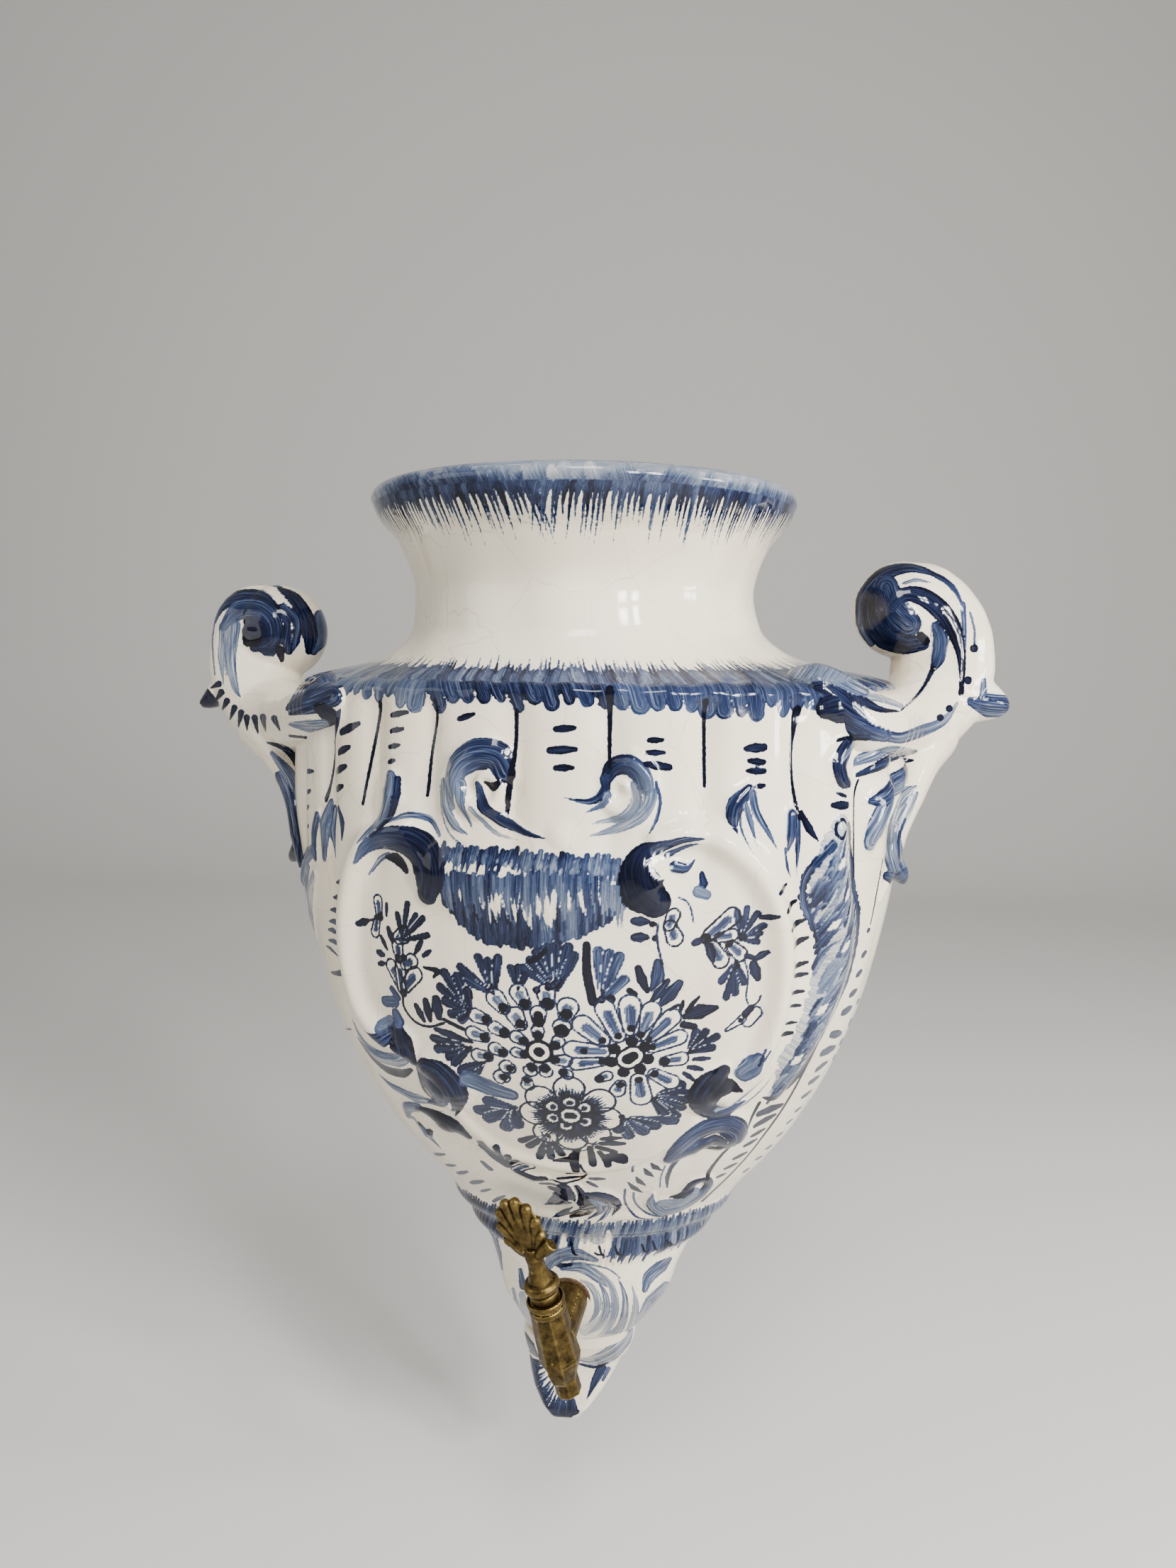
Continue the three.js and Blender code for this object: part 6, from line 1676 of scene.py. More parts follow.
@dataclass
class Vessel:
    """Glazed front wall, in bands that meet edge to edge."""

    form: VesselForm
    relief: Relief
    painting: Painting
    boss_painting: Painting
    glaze: bpy.types.Material
    reach: float = -135.2
    grain: float = 0.46
    cuts: tuple[float, ...] = (8.0, -18.0, -50.0, -92.0, -138.0, -174.0, -207.0)
    foot: float = -256.9
    hollow_floor: float = -247.0
    lip_steps: int = 13
    painted_lip: float = 1.9
    inner_rows: int = 9

    def build(self) -> None:
        """Make every band."""
        top = self.form.rim_top - self.form.rim_band
        limits = [top, *self.cuts, self.foot]
        names = ("rim", "neck", "belly_upper", "belly_middle", "belly_lower", "funnel_upper", "funnel_lower",
                 "boss")
        for name, high, low in zip(names, limits[:-1], limits[1:]):
            self.band(f"glazed_{name}", high, low, lip=high == top)

    def outside(self, heights: Array, columns: int) -> list[tuple[Array, Array, Array, bool]]:
        """Rows of the moulded face: points, arcs, heights and whether they stay bare."""
        form = self.form
        rings = [form.ring(z, 0.0, columns) for z in heights]
        places = np.repeat(heights[:, None], columns, axis=1)
        stand = self.relief.height(np.array([arcs for _, arcs in rings]), places)
        rows = []
        for level, (angles, arcs), out in zip(places, rings, stand):
            points = form.point(angles, level) + form.normal(angles, level) * out[:, None]
            points[[0, -1], 1] = 0.0
            points[:, 1] = np.clip(points[:, 1], self.reach, 0.0)
            rows.append((points, arcs, level, False))
        return rows

    def over_lip(self, high: float, columns: int) -> list[tuple[Array, Array, Array, bool]]:
        """Rows over the rounded lip."""
        form = self.form
        rows = []
        for turn in np.linspace(0, math.pi, self.lip_steps)[1:-1]:
            middle = -form.wall / 2
            proud = middle - middle * math.cos(turn)
            angles, arcs = form.ring(high, proud, columns)
            points = form.point(angles, np.full(columns, high), proud)
            points[:, 2] += form.rim_band * math.sin(turn)
            rows.append((points, arcs, points[:, 2].copy(), turn > self.painted_lip))
        return rows

    def inside(self, high: float, low: float, columns: int) -> list[tuple[Array, Array, Array, bool]]:
        """Rows of the bare inner face, which stops at the hollow's floor."""
        form = self.form
        floor = max(low, self.hollow_floor)
        rows = []
        for z in np.linspace(high, floor, self.inner_rows):
            angles, arcs = form.ring(z, -form.wall, columns)
            points = form.point(angles, np.full(columns, z), -form.wall)
            if z == floor and low < floor:
                points[:, 2] = low + 1
            rows.append((points, arcs, np.full(columns, z), True))
        return rows

    def band(self, name: str, high: float, low: float, lip: bool) -> None:
        """Make one closed ring of wall between two heights.

        Args:
            name: Name of the piece.
            high: Its upper height.
            low: Its lower height.
            lip: Whether its top is the rounded lip.
        """
        outer = self.form.heights(high, low, self.grain)
        widest = max(np.ptp(self.form.ring(z, 0.0, 3)[1]) for z in (high, (high + low) / 2, low))
        columns = int(widest / self.grain) + 1
        rows = self.outside(outer, columns)
        if lip:
            rows += self.over_lip(high, columns)
        rows += self.inside(high, low, columns)
        points, arcs, heights = (np.concatenate([r[k] for r in rows]) for k in (0, 1, 2))
        total = len(rows)
        quads = grid_corners(total, columns, closed_rows=True)
        left = np.arange(total) * columns
        right = left[::-1] + columns - 1
        sizes = np.concatenate([np.full(len(quads), 4), [total, total]])
        thing = make_mesh(name, points, np.concatenate([quads.ravel(), left, right]), sizes)
        edges = [0, total - 1] if lip else [0, total - 1, len(outer) - 1, len(outer)]
        mark_sharp(thing.data, [left, right, *(np.arange(columns) + row * columns for row in edges)])
        bare = np.concatenate([np.full(columns, r[3]) for r in rows])
        boss_view = seen_from_front(points, BOSS_PLANE)
        Painting.apply(thing, [(self.painting, arcs, heights), (self.boss_painting, *boss_view)], bare)
        coat(thing, self.glaze)
        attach(thing, "cistern")
        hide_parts("vessel_shell")
        LOG.info("%s: %d faces", name, len(thing.data.polygons))


@dataclass
class FlatBack:
    """Flat back plate with its two hanging holes, set inside the front wall."""

    form: VesselForm
    glaze: bpy.types.Material
    gap: float = 0.2
    top: float = 35.4
    foot: float = -256.5
    step: float = 3.0
    edge_y: float = -3.0
    middle_y: float = -3.15
    half_thickness: float = 2.8
    rounding: float = 0.3
    hole_offset: float = 22.0
    hole_radius: float = 4.2
    hole_corners: int = 48

    def outline(self) -> list[tuple[float, float]]:
        """Edge of the plate, up its right side and down its left one."""
        inset = self.form.wall + self.gap
        right, left = [], []
        for z in self.form.heights(self.top, self.foot, self.step):
            angles, _ = self.form.ring(float(z), -inset, 3, back=self.edge_y)
            ends = self.form.point(angles[[0, -1]], np.full(2, z), -inset)[:, 0]
            right.append((ends[1], z))
            left.append((ends[0], z))
        return right + left[::-1]

    def hole(self, side: int) -> list[tuple[float, float]]:
        """Edge of one hanging hole."""
        turns = np.linspace(0, 2 * math.pi, self.hole_corners, endpoint=False)
        return [(side * self.hole_offset + self.hole_radius * math.cos(t), self.hole_radius * math.sin(t))
                for t in turns]

    def build(self) -> None:
        """Make the plate from its filled outline."""
        curve = bpy.data.curves.new("back_outline", "CURVE")
        curve.dimensions = "2D"
        curve.fill_mode = "BOTH"
        curve.extrude = self.half_thickness * MM
        curve.bevel_depth = self.rounding * MM
        for loop in (self.outline(), self.hole(-1), self.hole(1)):
            line = curve.splines.new("POLY")
            line.points.add(len(loop) - 1)
            for point, (x, z) in zip(line.points, loop):
                point.co = (x * MM, z * MM, 0, 1)
            line.use_cyclic_u = True
        drawn = linked("back_outline", curve)
        depsgraph = bpy.context.evaluated_depsgraph_get()
        mesh = bpy.data.meshes.new_from_object(drawn.evaluated_get(depsgraph), depsgraph=depsgraph)
        bpy.data.objects.remove(drawn)
        upright = Matrix.Rotation(math.pi / 2, 4, "X")
        mesh.transform(Matrix.Translation((0, self.middle_y * MM, 0)) @ upright)
        thing = linked("flat_back", mesh)
        coat(thing, self.glaze)
        Painting.apply(thing, [])
        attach(thing, "cistern")
        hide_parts("back_plate")
        LOG.info("flat_back: %d faces", len(mesh.polygons))


def swept(curve: Array, side: Array, thick: Array, sides: int = 20) -> tuple[Array, Array, Array]:
    """Closed bar along a curve in a plane of constant Y.

    Args:
        curve: Points of its middle line, one row each.
        side: Half width in the plane at each point.
        thick: Half thickness along Y at each point.
        sides: Corners of its section.

    Returns:
        Points, corners and face sizes.
    """
    way = np.gradient(curve, axis=0)
    way /= np.linalg.norm(way, axis=1, keepdims=True)
    across = np.cross(way, (0.0, 1.0, 0.0))
    turns = np.linspace(0, 2 * math.pi, sides, endpoint=False)
    rings = (curve[:, None, :] + across[:, None, :] * (side[:, None] * np.cos(turns))[..., None]
             + np.array([0.0, 1.0, 0.0]) * (thick[:, None] * np.sin(turns))[..., None])
    return rings.reshape(-1, 3), *tube_faces(len(curve), sides)


def ellipsoid(middle: tuple[float, float, float], radii: tuple[float, float, float], rows: int = 25
              ) -> tuple[Array, Array, Array]:
    """Closed ellipsoid as points, corners and face sizes."""
    sides = 2 * rows - 2
    up = np.linspace(0, math.pi, rows)[1:-1]
    turns = np.linspace(0, 2 * math.pi, sides, endpoint=False)
    shell = np.stack([np.outer(np.sin(up), np.cos(turns)), np.outer(np.sin(up), np.sin(turns)),
                      np.outer(np.cos(up), np.ones(sides))], -1).reshape(-1, 3)
    points = np.vstack([shell, [[0, 0, 1], [0, 0, -1]]]) * radii + middle
    corners, sizes = [], []
    for r in range(rows - 3):
        for k in range(sides):
            a, b = r * sides + k, r * sides + (k + 1) % sides
            corners += [a, a + sides, b + sides, b]
            sizes.append(4)
    last = (rows - 3) * sides
    for k in range(sides):
        corners += [len(shell), k, (k + 1) % sides]
        corners += [len(shell) + 1, last + (k + 1) % sides, last + k]
        sizes += [3, 3]
    return points, np.array(corners), np.array(sizes)


@dataclass(frozen=True)
class Lump:
    """Place on a roll of clay: where it is seen on the view from the front, its Y and its radii."""

    across: float
    up: float
    y: float
    radius: float
    depth: float

    def scale(self) -> float:
        """Size at the lump's Y for one millimetre on the view's plane."""
        return (self.y - EYE[1]) / (-HANDLE_PLANE - EYE[1])

    def middle(self) -> tuple[float, float, float]:
        """Middle of the lump in the row's frame."""
        x, _, z = EYE
        return x + (self.across - x) * self.scale(), self.y, z + (self.up - z) * self.scale()

    def solid(self, rows: int = 13) -> tuple[Array, Array, Array]:
        """Ellipsoid round the middle."""
        radius = self.radius * self.scale()
        return ellipsoid(self.middle(), (radius, self.depth, radius), rows)


def chain(*rows: tuple[float, float, float, float, float]) -> list[Lump]:
    """Lumps from rows of their five values."""
    return [Lump(*row) for row in rows]


def roll(lumps: list[Lump], step: float = 1.3) -> list[tuple[Array, Array, Array]]:
    """Ellipsoids set close together along a smooth path through some lumps."""
    curve = spline([(k.across, k.up) for k in lumps], step)
    values = [spread(tuple(getattr(k, name) for k in lumps), curve[:, 2])
              for name in ("y", "radius", "depth")]
    return [Lump(x, up, y, radius, depth).solid()
            for (x, up, _), y, radius, depth in zip(curve, *values)]


def merged(parts: list[tuple[Array, Array, Array]]) -> tuple[Array, Array, Array]:
    """Put several closed shapes into one set of points, corners and face sizes."""
    points, corners, sizes, start = [], [], [], 0
    for part in parts:
        points.append(part[0])
        corners.append(part[1] + start)
        sizes.append(part[2])
        start += len(part[0])
    return np.vstack(points), np.concatenate(corners), np.concatenate(sizes)


def softened(name: str, shape: tuple[Array, Array, Array], voxel: float, rounds: int) -> bpy.types.Object:
    """Melt closed shapes into one skin of modelled clay.

    Args:
        name: Name of the piece.
        shape: Points, corners and face sizes.
        voxel: Size of the skin's cells, in millimetres.
        rounds: How often the skin is smoothed.

    Returns:
        The object with its modifiers applied.
    """
    thing = make_mesh(name, *shape)
    remesh = thing.modifiers.new("skin", "REMESH")
    remesh.mode = "VOXEL"
    remesh.voxel_size = voxel * MM
    remesh.use_smooth_shade = True
    smooth = thing.modifiers.new("soften", "SMOOTH")
    smooth.factor = 0.5
    smooth.iterations = rounds
    return baked(thing)


class Side(Enum):
    """Side of the vessel, as the sign of X."""

    LEFT = -1
    RIGHT = 1


@dataclass
class Handle:
    """Scroll handle: a volute, an arm that runs on to the shoulder, a web down the flank and two nubs."""

    side: Side
    volute: Lump
    arm: list[Lump]
    web: list[Lump]
    nubs: list[list[Lump]]
    painting: Painting
    glaze: bpy.types.Material
    bare_behind: float = -24.0
    voxel: float = 0.6
    smoothing: int = 9
    relief_share: float = 0.4
    wall_gap: float = 0.3

    def build(self) -> None:
        """Make the handle and paint it."""
        parts = [self.volute.solid(rows=25), *roll(self.arm), *roll(self.web)]
        for nub in self.nubs:
            parts += roll(nub, step=1.2)
        name = f"glazed_handle_{self.side.name.lower()}"
        thing = softened(name, merged(parts), self.voxel, self.smoothing)
        points = vertex_points(thing.data)
        chart = seen_from_front(points, HANDLE_PLANE)
        facing = np.zeros(len(points) * 3, dtype=np.float32)
        thing.data.vertex_normals.foreach_get("vector", facing)
        out = Relief(bars=bars_under(self.painting.strokes, least=1.5, rise=0.5)).swell(*chart)
        points[:, 1] -= self.relief_share * out * np.clip(-facing[1::3], 0, 1)
        points[:, 1] = np.minimum(points[:, 1], -self.wall_gap)
        move_vertices(thing, points)
        Painting.apply(thing, [(self.painting, *chart)], points[:, 1] > self.bare_behind)
        coat(thing, self.glaze)
        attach(thing, "cistern")
        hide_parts(f"handle_{self.side.name.lower()}")
        LOG.info("%s: %d faces", name, len(thing.data.polygons))


def right_handle(glaze: bpy.types.Material) -> Handle:
    """The right handle, which stands higher."""
    arm = chain(
        (98.5, 2.5, -36, 14.2, 12.5), (103.8, 1.5, -35, 14.2, 12.0), (109.0, -6, -35, 15.0, 12.0),
        (109.8, -16, -36, 15.8, 12.5), (107.5, -24.5, -38, 14.6, 13.0), (101, -32, -48, 13.2, 13.0),
        (95, -33, -60, 11.6, 13.0), (90, -33, -77, 11.2, 13.0), (84, -32, -88, 11.0, 12.0),
        (77.5, -26.5, -94, 10.0, 10.0), (72, -21.5, -98, 7.5, 8.0), (66, -19, -99, 3.5, 4.0))
    web = chain(
        (104.5, -35, -44, 11.4, 13.0), (101, -42.5, -52, 9.8, 13.0), (97.5, -53, -59, 8.8, 14.0),
        (94.7, -64, -65, 7.0, 14.0), (93.3, -74, -68, 6.0, 13.0), (91, -86, -73, 4.0, 9.0))
    nubs = [
        chain((120, -24.5, -36, 7.5, 9.0), (125.5, -26, -36, 4.6, 6.5), (128.6, -26.8, -36, 2.0, 3.0)),
        chain((96, -76, -60, 4.5, 8.0), (99.3, -79, -58, 3.1, 5.5), (100.6, -81.6, -58, 1.5, 2.5))]
    volute = Lump(97.0, 2.1, -36, 14.7, 14.0)
    return Handle(Side.RIGHT, volute, arm, web, nubs, Painting(right_handle_strokes()), glaze)


def left_handle(glaze: bpy.types.Material) -> Handle:
    """The left handle, set lower and further out."""
    arm = chain(
        (-103.8, -6.5, -35, 15.6, 12.0), (-105.8, -14.5, -35, 15.2, 12.0), (-105.5, -22.5, -37, 14.4, 12.5),
        (-101, -31.5, -44, 12.5, 13.0), (-95, -33, -54, 11.2, 13.0), (-91, -33.2, -66, 10.8, 13.0),
        (-87, -32, -77, 10.8, 12.0), (-82, -29.5, -91, 9.5, 10.0), (-77, -27.5, -101, 6.0, 6.0))
    web = chain(
        (-102.5, -36, -46, 9.4, 13.0), (-97.4, -43.5, -54, 7.2, 12.0), (-92.9, -51, -58, 6.6, 12.0),
        (-90.8, -60, -64, 5.4, 11.0), (-90, -70, -68, 5.0, 10.0), (-89.5, -80, -72, 3.4, 7.0),
        (-88, -92, -76, 2.0, 4.0))
    nubs = [
        chain((-117, -25, -36, 4.6, 7.0), (-121, -27.8, -36, 2.9, 4.5), (-123.4, -29, -36, 1.7, 2.5)),
        chain((-91.5, -75.5, -64, 3.8, 6.5), (-94.1, -78.2, -62, 2.4, 4.0), (-94.8, -79.4, -61, 1.4, 2.4))]
    volute = Lump(-97.6, -6.0, -36, 14.9, 14.0)
    return Handle(Side.LEFT, volute, arm, web, nubs, Painting(left_handle_strokes()), glaze)


@dataclass
class TailLeaf:
    """Dished tongue under the boss, with a small lobe at its top and a tip that turns up."""

    form: VesselForm
    painting: Painting
    glaze: bpy.types.Material
    top: float = -257.0
    length: float = 45.0
    half_width: float = 20.5
    thickness: float = 12.0
    slant: float = 6.0
    rows: int = 40
    columns: int = 41
    voxel: float = 0.5
    smoothing: int = 8
    bare_behind: float = -2.0

    def build(self) -> None:
        """Make the leaf and paint it."""
        stations = np.array([(0, 1, 2.25, 0), (0.1, 1.02, 2.15, 0.05), (0.22, 0.97, 1.9, 0.13),
                             (0.3, 0.93, 1.3, 0.23), (0.42, 0.87, 0.95, 0.4), (0.56, 0.78, 0.9, 0.6),
                             (0.7, 0.66, 0.93, 0.77), (0.84, 0.48, 0.98, 0.9), (0.94, 0.3, 0.85, 0.97),
                             (1, 0.1, 0.5, 1)])
        down = np.linspace(0, 1, self.rows)
        half, front, lean = (np.interp(down, stations[:, 0], stations[:, k]) for k in (1, 2, 3))
        turns = np.linspace(0, math.pi, self.columns)
        middle = self.form.foot_lean - self.slant * lean
        x = middle[:, None] + self.half_width * half[:, None] * np.cos(turns)
        bulge = np.minimum(1, 0.25 + 0.95 * np.sin(turns) ** 0.7)
        y = -self.thickness * front[:, None] * bulge
        z = np.broadcast_to((self.top - self.length * down)[:, None], x.shape)
        sheet = np.stack([x, y, z], -1)
        flat = sheet * np.array([1.0, 0.0, 1.0])
        rings = np.concatenate([sheet, flat[:, ::-1]], axis=1)[::-1]
        faces = tube_faces(self.rows, 2 * self.columns, mirrored=True)
        thing = softened("glazed_tail_leaf", (rings.reshape(-1, 3), *faces), self.voxel, self.smoothing)
        points = vertex_points(thing.data)
        view = seen_from_front(points, BOSS_PLANE)
        Painting.apply(thing, [(self.painting, *view)], points[:, 1] > self.bare_behind)
        coat(thing, self.glaze)
        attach(thing, "cistern")
        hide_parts("tail_leaf")
        LOG.info("glazed_tail_leaf: %d faces", len(thing.data.polygons))


def lathed(profile: list[tuple[float, float]], sides: int, turn: float = 0.0) -> tuple[Array, Array, Array]:
    """Closed turned or faceted shape from radii and heights that go upwards."""
    turns = np.linspace(0, 2 * math.pi, sides, endpoint=False) + turn
    points = np.array([(r * math.cos(t), r * math.sin(t), z) for r, z in profile for t in turns])
    return points, *tube_faces(len(profile), sides)


@dataclass
class ScallopFan:
    """Ribs of the key's scallop shell, made by geometry nodes: one rib for each place on an oval."""

    ribs: int = 8
    base: float = 29.5
    height: float = 12.2
    half_width: float = 5.9
    rise: float = 9.4
    rib_radius: float = 1.75
    foot_share: float = 0.42
    sweep: float = 226.0

    def tree(self) -> bpy.types.NodeTree:
        """Build the node group with named inputs for the sizes."""
        tree = bpy.data.node_groups.new("scallop_ribs", "GeometryNodeTree")
        kinds = {"Geometry": "Geometry", "Ribs": "Int"}
        kinds |= dict.fromkeys(("Base", "Middle Height", "Half Width", "Rise", "Rib Radius", "Sweep"),
                               "Float")
        kinds["Brass"] = "Material"
        for name, kind in kinds.items():
            tree.interface.new_socket(name, in_out="INPUT", socket_type=f"NodeSocket{kind}")
        tree.interface.new_socket("Geometry", in_out="OUTPUT", socket_type="NodeSocketGeometry")
        given = add(tree, "NodeGroupInput").outputs
        row = add(tree, "GeometryNodeMeshLine", {"Count": given["Ribs"], "Offset": (0.0, 0.0, 0.0)})
        line = row.outputs["Mesh"]
        index = add(tree, "GeometryNodeInputIndex").outputs[0]
        share = maths(tree, "DIVIDE", index, maths(tree, "SUBTRACT", given["Ribs"], 1.0))
        turn = maths(tree, "MULTIPLY", maths(tree, "SUBTRACT", share, 0.5), given["Sweep"])
        across = maths(tree, "MULTIPLY", maths(tree, "SINE", turn), given["Half Width"])
        above = maths(tree, "MULTIPLY_ADD", maths(tree, "COSINE", turn), given["Rise"],
                      given["Middle Height"])
        tip = add(tree, "ShaderNodeCombineXYZ", {"X": across, "Z": above}).outputs[0]
        foot = add(tree, "ShaderNodeCombineXYZ", {"Z": given["Base"]}).outputs[0]
        feet = add(tree, "GeometryNodeSetPosition", {"Geometry": line, "Position": foot})
        length = add(tree, "ShaderNodeVectorMath", {0: tip}, operation="LENGTH").outputs["Value"]
        aim = add(tree, "FunctionNodeAlignRotationToVector", {"Vector": tip}, axis="Z")
        size = add(tree, "ShaderNodeCombineXYZ", {"X": 1.0, "Y": 1.0, "Z": length})
        slim = maths(tree, "MULTIPLY", given["Rib Radius"], self.foot_share)
        rib = add(tree, "GeometryNodeMeshCone", {
            "Vertices": 14, "Radius Top": given["Rib Radius"], "Radius Bottom": slim, "Depth": 1.0})
        ribs = add(tree, "GeometryNodeInstanceOnPoints", {
            "Points": feet.outputs[0], "Instance": rib.outputs["Mesh"], "Rotation": aim.outputs[0],
            "Scale": size.outputs[0]})
        end = add(tree, "ShaderNodeVectorMath", {0: foot, 1: tip}, operation="ADD")
        ends = add(tree, "GeometryNodeSetPosition", {"Geometry": line, "Position": end.outputs[0]})
        knob = add(tree, "GeometryNodeMeshUVSphere",
                   {"Segments": 16, "Rings": 10, "Radius": given["Rib Radius"]})
        knobs = add(tree, "GeometryNodeInstanceOnPoints", {
            "Points": ends.outputs[0], "Instance": knob.outputs["Mesh"]})
        both = add(tree, "GeometryNodeJoinGeometry", {0: ribs.outputs[0]})
        tree.links.new(knobs.outputs[0], both.inputs[0])
        real = add(tree, "GeometryNodeRealizeInstances", {0: both.outputs[0]})
        dressed = add(tree, "GeometryNodeSetMaterial",
                      {"Geometry": real.outputs[0], "Material": given["Brass"]})
        add(tree, "NodeGroupOutput", {"Geometry": dressed.outputs[0]})
        return tree

    def build(self, brass: bpy.types.Material) -> tuple[Array, Array, Array]:
        """Return the ribs as points in millimetres, corners and face sizes."""
        holder = make_mesh("scallop_ribs", np.zeros((3, 3)), np.array([[0, 1, 2]]))
        modifier = holder.modifiers.new("ribs", "NODES")
        modifier.node_group = self.tree()
        values = {"Ribs": self.ribs, "Base": self.base * MM, "Middle Height": self.height * MM,
                  "Half Width": self.half_width * MM, "Rise": self.rise * MM,
                  "Rib Radius": self.rib_radius * MM, "Sweep": math.radians(self.sweep), "Brass": brass}
        for socket in modifier.node_group.interface.items_tree:
            if socket.in_out == "INPUT" and socket.name in values:
                modifier[socket.identifier] = values[socket.name]
        baked(holder)
        shape = mesh_shape(holder.data)
        bpy.data.objects.remove(holder)
        return shape


@dataclass
class Tap:
    """Cast brass tap: octagonal body with a stepped shield at its foot, and the key with its shell."""

    brass: bpy.types.Material
    middle: tuple[float, float, float] = (-5.5944, -73.6103, -226.3992)
    across: tuple[float, float, float] = (0.9683, -0.1977, 0.1524)
    back: tuple[float, float, float] = (0.1608, 0.9610, 0.2250)
    up: tuple[float, float, float] = (-0.19096, -0.193315, 0.962374)
    round_sides: int = 32
    shell_lean: float = 9.0
    shell_foot: float = 28.0
    weld: float = 0.004
    voxel: float = 0.27
    smoothing: int = 2

    def placed(self, shape: tuple[Array, Array, Array]) -> tuple[Array, Array, Array]:
        """Put a shape from the tap's own axes into the row's frame."""
        return shape[0] @ np.array([self.across, self.back, self.up]) + self.middle, shape[1], shape[2]

    def build(self) -> None:
        """Make the body and the key."""
        body = merged([self.lip(), *self.shield()])
        self.finish("cast_tap_body", self.placed(body), "tap_body", "cistern", self.bored_solid("tap_body"))
        self.finish("cast_tap_key", self.placed(merged([self.stem(), self.shell()])), "tap_key", "key")

    def bored_solid(self, node: str) -> tuple[Array, Array, Array]:
        """CAD solid of a node with its bores, its corners welded."""
        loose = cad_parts[node].data.copy()
        grid = bmesh.new()
        grid.from_mesh(loose)
        bmesh.ops.remove_doubles(grid, verts=grid.verts, dist=self.weld * MM)
        grid.to_mesh(loose)
        grid.free()
        return mesh_shape(loose)

    def lip(self) -> tuple[Array, Array, Array]:
        """Sleeve round the screwed ring, with the groove under its lip."""
        profile = [
            (5.3, 10.2), (5.9, 10.8), (5.85, 12.4), (5.3, 12.9), (5.35, 13.3), (6.1, 13.8), (6.15, 14.9),
            (5.8, 15.4), (5.45, 15.4), (5.45, 10.4), (5.3, 10.2)]
        points, corners, _ = lathed(profile, self.round_sides)
        first_again = (len(profile) - 1) * self.round_sides
        keep = corners[:4 * first_again]
        keep = np.where(keep >= first_again, keep - first_again, keep)
        return points[:first_again], keep, np.full(len(keep) // 4, 4)

    def shield(self) -> list[tuple[Array, Array, Array]]:
        """Stepped facets that stand out at the foot of the barrel."""
        lower = lathed([
            (3.9, -21.6), (4.3, -21.4), (4.05, -15.6), (4.4, -14.6), (5.3, -12.6), (6.5, -9.4), (6.8, -6.6),
            (6.5, -3.4), (6.0, -1.5)], 8, math.pi / 8)
        plate = lathed([(2.2, -15.4), (3.4, -14.2), (4.4, -10.5), (4.5, -6.0), (3.2, -3.4), (1.4, -2.2)], 5,
                       0.3)
        plate[0][:, 1] = plate[0][:, 1] * 0.7 - 3.9
        return [lower, plate]

    def stem(self) -> tuple[Array, Array, Array]:
        """Turned ring, collar and waisted stem of the key."""
        return lathed([
            (4.2, 15.0), (4.6, 16.0), (4.75, 17.6), (4.2, 18.3), (5.1, 18.8), (5.7, 19.8), (5.7, 20.8),
            (5.0, 21.8), (3.9, 22.3), (3.5, 23.6), (2.9, 26.0), (2.7, 28.5), (3.0, 31.0), (2.0, 34.0)],
            self.round_sides)

    def shell(self) -> tuple[Array, Array, Array]:
        """Ribbed shell, leaning a little to the left of the stem."""
        ribs = ScallopFan().build(self.brass)
        web = ellipsoid((0.0, 0.0, 41.0), (7.2, 1.3, 11.2))
        fold_line = np.array([(1.0, -0.5, 31.0), (4.4, -1.0, 32.8), (8.4, -1.0, 35.0)])
        fold = swept(fold_line, np.array([1.0, 1.9, 2.3]), np.array([1.4, 1.9, 1.8]), 12)
        points, corners, sizes = merged([ribs, web, fold])
        turn = math.radians(self.shell_lean)
        x, z = points[:, 0].copy(), points[:, 2] - self.shell_foot
        points[:, 0] = x * math.cos(turn) - z * math.sin(turn)
        points[:, 2] = x * math.sin(turn) + z * math.cos(turn) + self.shell_foot
        return points, corners, sizes

    def finish(self, name: str, shape: tuple[Array, Array, Array], node: str, body: str,
               *more: tuple[Array, Array, Array]) -> None:
        """Melt shapes into one casting and dress it.

        Args:
            name: Name of the piece.
            shape: Points, corners and face sizes.
            node: Solid that it replaces.
            body: Body that it rides on.
            *more: Further shapes of the same casting.
        """
        thing = softened(name, merged([shape, *more]), self.voxel, self.smoothing)
        coat(thing, self.brass)
        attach(thing, body)
        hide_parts(node)
        LOG.info("%s: %d faces", name, len(thing.data.polygons))


@dataclass(frozen=True)
class Lamp:
    """Square soft light: its place and the point that it faces, its side in millimetres and its watts."""

    name: str
    at: tuple[float, float, float]
    towards: tuple[float, float, float]
    size: float
    power: float

    def hang(self) -> None:
        """Put the light in the scene."""
        light = bpy.data.lights.new(self.name, "AREA")
        light.size = self.size * MM
        light.energy = self.power
        holder = linked(self.name, light)
        holder.location = Vector(self.at) * MM
        holder.rotation_euler = (Vector(self.towards) - Vector(self.at)).to_track_quat("-Z", "Y").to_euler()


@dataclass(frozen=True)
class Window:
    """Window of four panes, with the steps from its middle to them and what each pane is as a lamp."""

    name: str
    middle: tuple[float, float, float]
    steps: tuple[float, float, float]
    towards: tuple[float, float, float]
    size: float
    power: float

    def panes(self) -> list[Lamp]:
        """One lamp for each pane."""
        x, y, z = self.middle
        aside, ahead, upwards = self.steps
        return [Lamp(f"{self.name}_{across}_{above}",
                     (x + aside * across, y + ahead * across, z + upwards * above),
                     self.towards, self.size, self.power) for across in (-1, 1) for above in (-1, 1)]


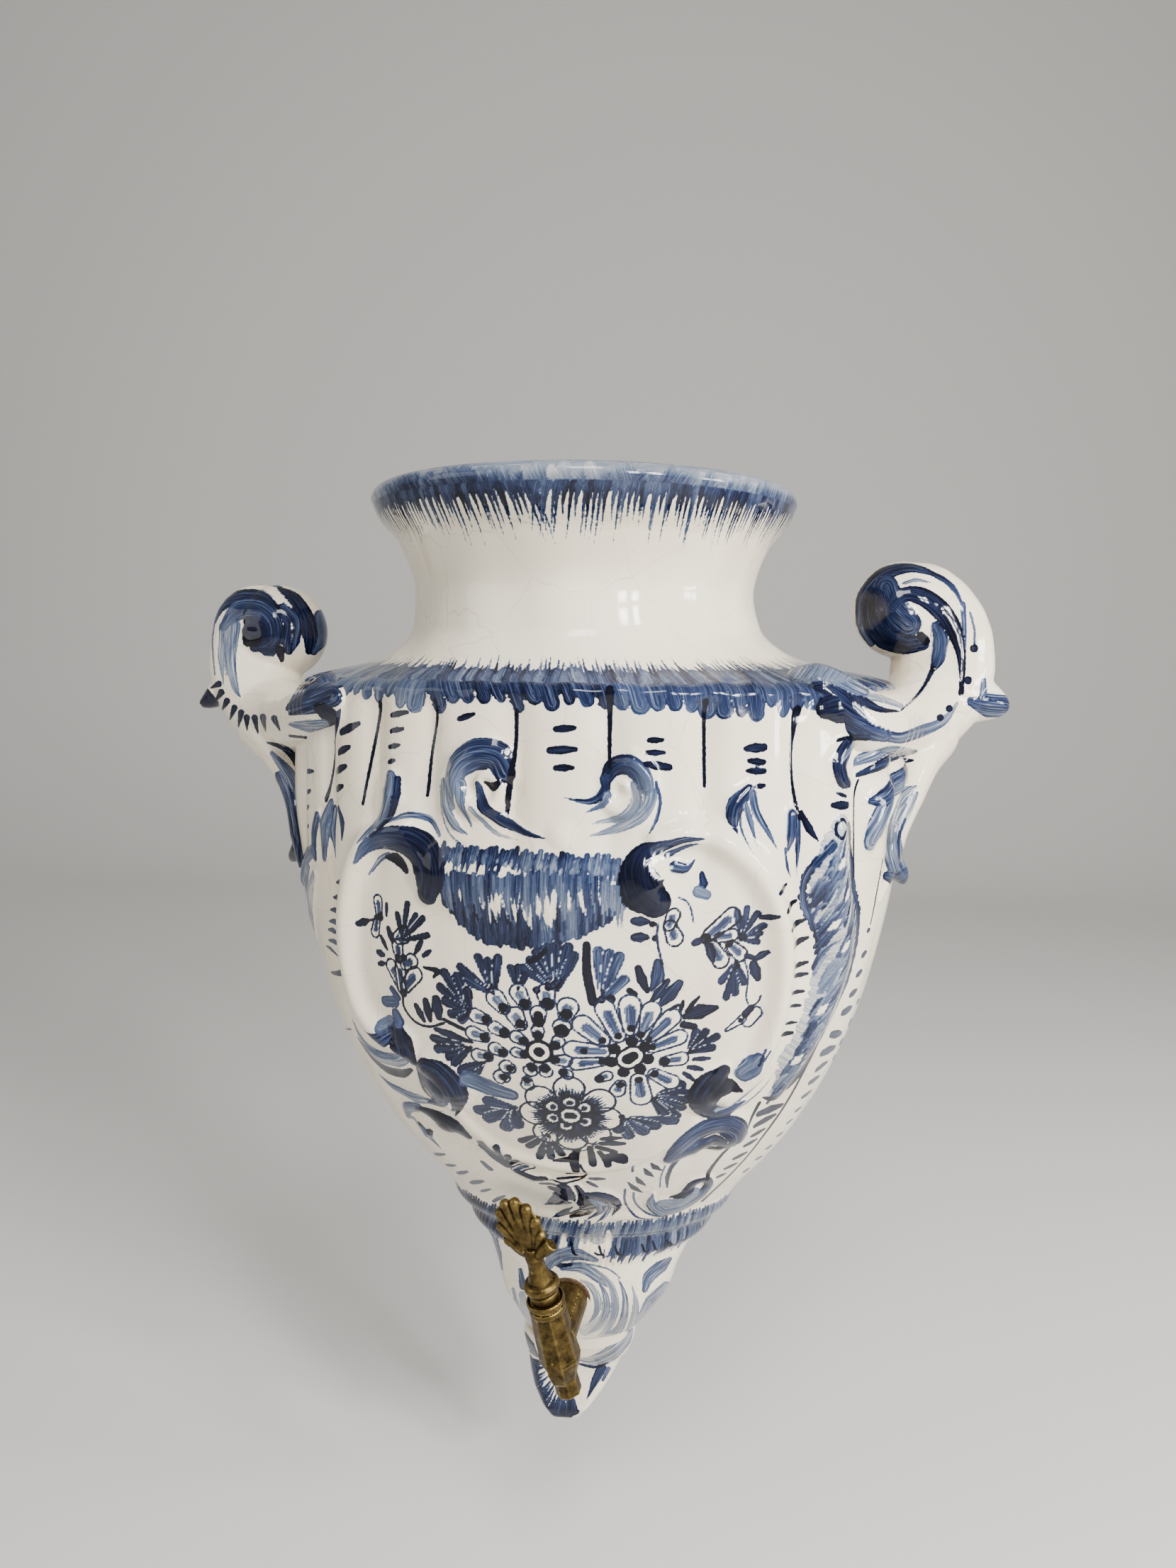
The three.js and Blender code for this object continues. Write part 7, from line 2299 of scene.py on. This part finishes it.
@dataclass
class Studio:
    """Pale floor and background, soft lights and the camera at the photograph's angle."""

    camera_place: tuple[float, float, float] = EYE
    yaw: float = 4.97192587
    pitch: float = -6.9336681
    roll: float = -0.62608954
    tilt: float = 1.1
    focal_px: float = 1661.0
    image_height_px: float = 2212.0
    sensor_mm: float = 36.0
    floor_height: float = -345.0
    floor_front: float = -3000.0
    floor_half_width: float = 3500.0
    floor_back: float = 1100.0
    bend: float = 500.0
    paper_top: float = 3200.0
    sky: str = "#e8e9ea"
    sky_strength: float = 0.5

    def build(self) -> None:
        """Make the stage, the lights and the camera."""
        self.paper()
        for lamp in self.lamps():
            lamp.hang()
        world = bpy.data.worlds.new("studio")
        world.use_nodes = True
        background = world.node_tree.nodes["Background"].inputs
        background["Color"].default_value = linear(self.sky)
        background["Strength"].default_value = self.sky_strength
        bpy.context.scene.world = world
        self.camera()

    def lamps(self) -> list[Lamp]:
        """Two windows, a wide fill from the left and a soft light from above the camera."""
        window = Window("window", (650, -740, 265), (78, 68, 96), (0, -40, -90), 116, 4.8)
        side = Window("side", (900, -175, 75), (0, 58, 66), (0, -100, 0), 92, 1.5)
        return [
            *window.panes(), *side.panes(),
            Lamp("fill", (-1150, -560, 260), (0, -40, -120), 900, 5.5),
            Lamp("front", (160, -820, 860), (0, -60, -120), 330, 9.0)]

    def paper(self) -> None:
        """Lay one sheet of paper as the floor, bent up behind the object."""
        profile = [(self.floor_front, self.floor_height)]
        profile += [(self.floor_back + self.bend * math.sin(t),
                     self.floor_height + self.bend * (1 - math.cos(t)))
                    for t in np.linspace(0, math.pi / 2, 16)]
        profile += [(self.floor_back + self.bend, self.paper_top)]
        ends = (-self.floor_half_width, self.floor_half_width)
        points = np.array([(x, y, z) for y, z in profile for x in ends])
        sheet = make_mesh("studio_paper", points, grid_corners(len(profile), 2))
        coat(sheet, Paper().material())

    def camera(self) -> None:
        """Put the camera where the photograph was taken."""
        yaw, pitch, roll, tilt = (math.radians(v) for v in (self.yaw, self.pitch, self.roll, self.tilt))
        ahead = Vector((-math.sin(yaw) * math.cos(pitch), math.cos(yaw) * math.cos(pitch), math.sin(pitch)))
        right = Vector((math.cos(yaw), math.sin(yaw), 0))
        up = right.cross(ahead)
        right, up = (right * math.cos(roll) + up * math.sin(roll),
                     up * math.cos(roll) - right * math.sin(roll))
        lean = Matrix.Rotation(-tilt, 3, "Y")
        axes = Matrix((lean @ right, lean @ up, lean @ -ahead)).transposed()
        lens = bpy.data.cameras.new("photograph")
        lens.sensor_fit = "AUTO"
        lens.sensor_width = self.sensor_mm
        lens.lens = self.sensor_mm * self.focal_px / self.image_height_px
        lens.clip_start, lens.clip_end = 0.01, 50.0
        eye = linked("photograph", lens)
        eye.matrix_world = Matrix.Translation(Vector(self.camera_place) * MM) @ axes.to_4x4()
        bpy.context.scene.camera = eye


def main() -> None:
    """Build the wall cistern and its studio."""
    logging.basicConfig(level=logging.INFO, format="%(name)s %(message)s")
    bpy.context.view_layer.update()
    glaze = TinGlaze().material()
    brass = AgedBrass().material()
    form = VesselForm()
    relief = Relief(bars=vessel_bars())
    Vessel(form, relief, Painting(vessel_strokes()), Painting(boss_strokes()), glaze).build()
    FlatBack(form, glaze).build()
    right_handle(glaze).build()
    left_handle(glaze).build()
    TailLeaf(form, Painting(tail_strokes()), glaze).build()
    finishes = {
        "shank_bush": Fibre("turned_cork", "#5e462c", "#3a2917", 1.1).material(),
        "inner_washer": Fibre("greased_leather", "#4a3524", "#241810", 0.6, 0.7).material(),
    }
    Tap(brass).build()
    for node in ("tap_plug", "gland_nut", "back_nut", "shank_bush", "inner_washer"):
        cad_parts[node].material_slots[0].material = finishes.get(node, brass)
    Studio().build()


if __name__ == "__main__":
    main()
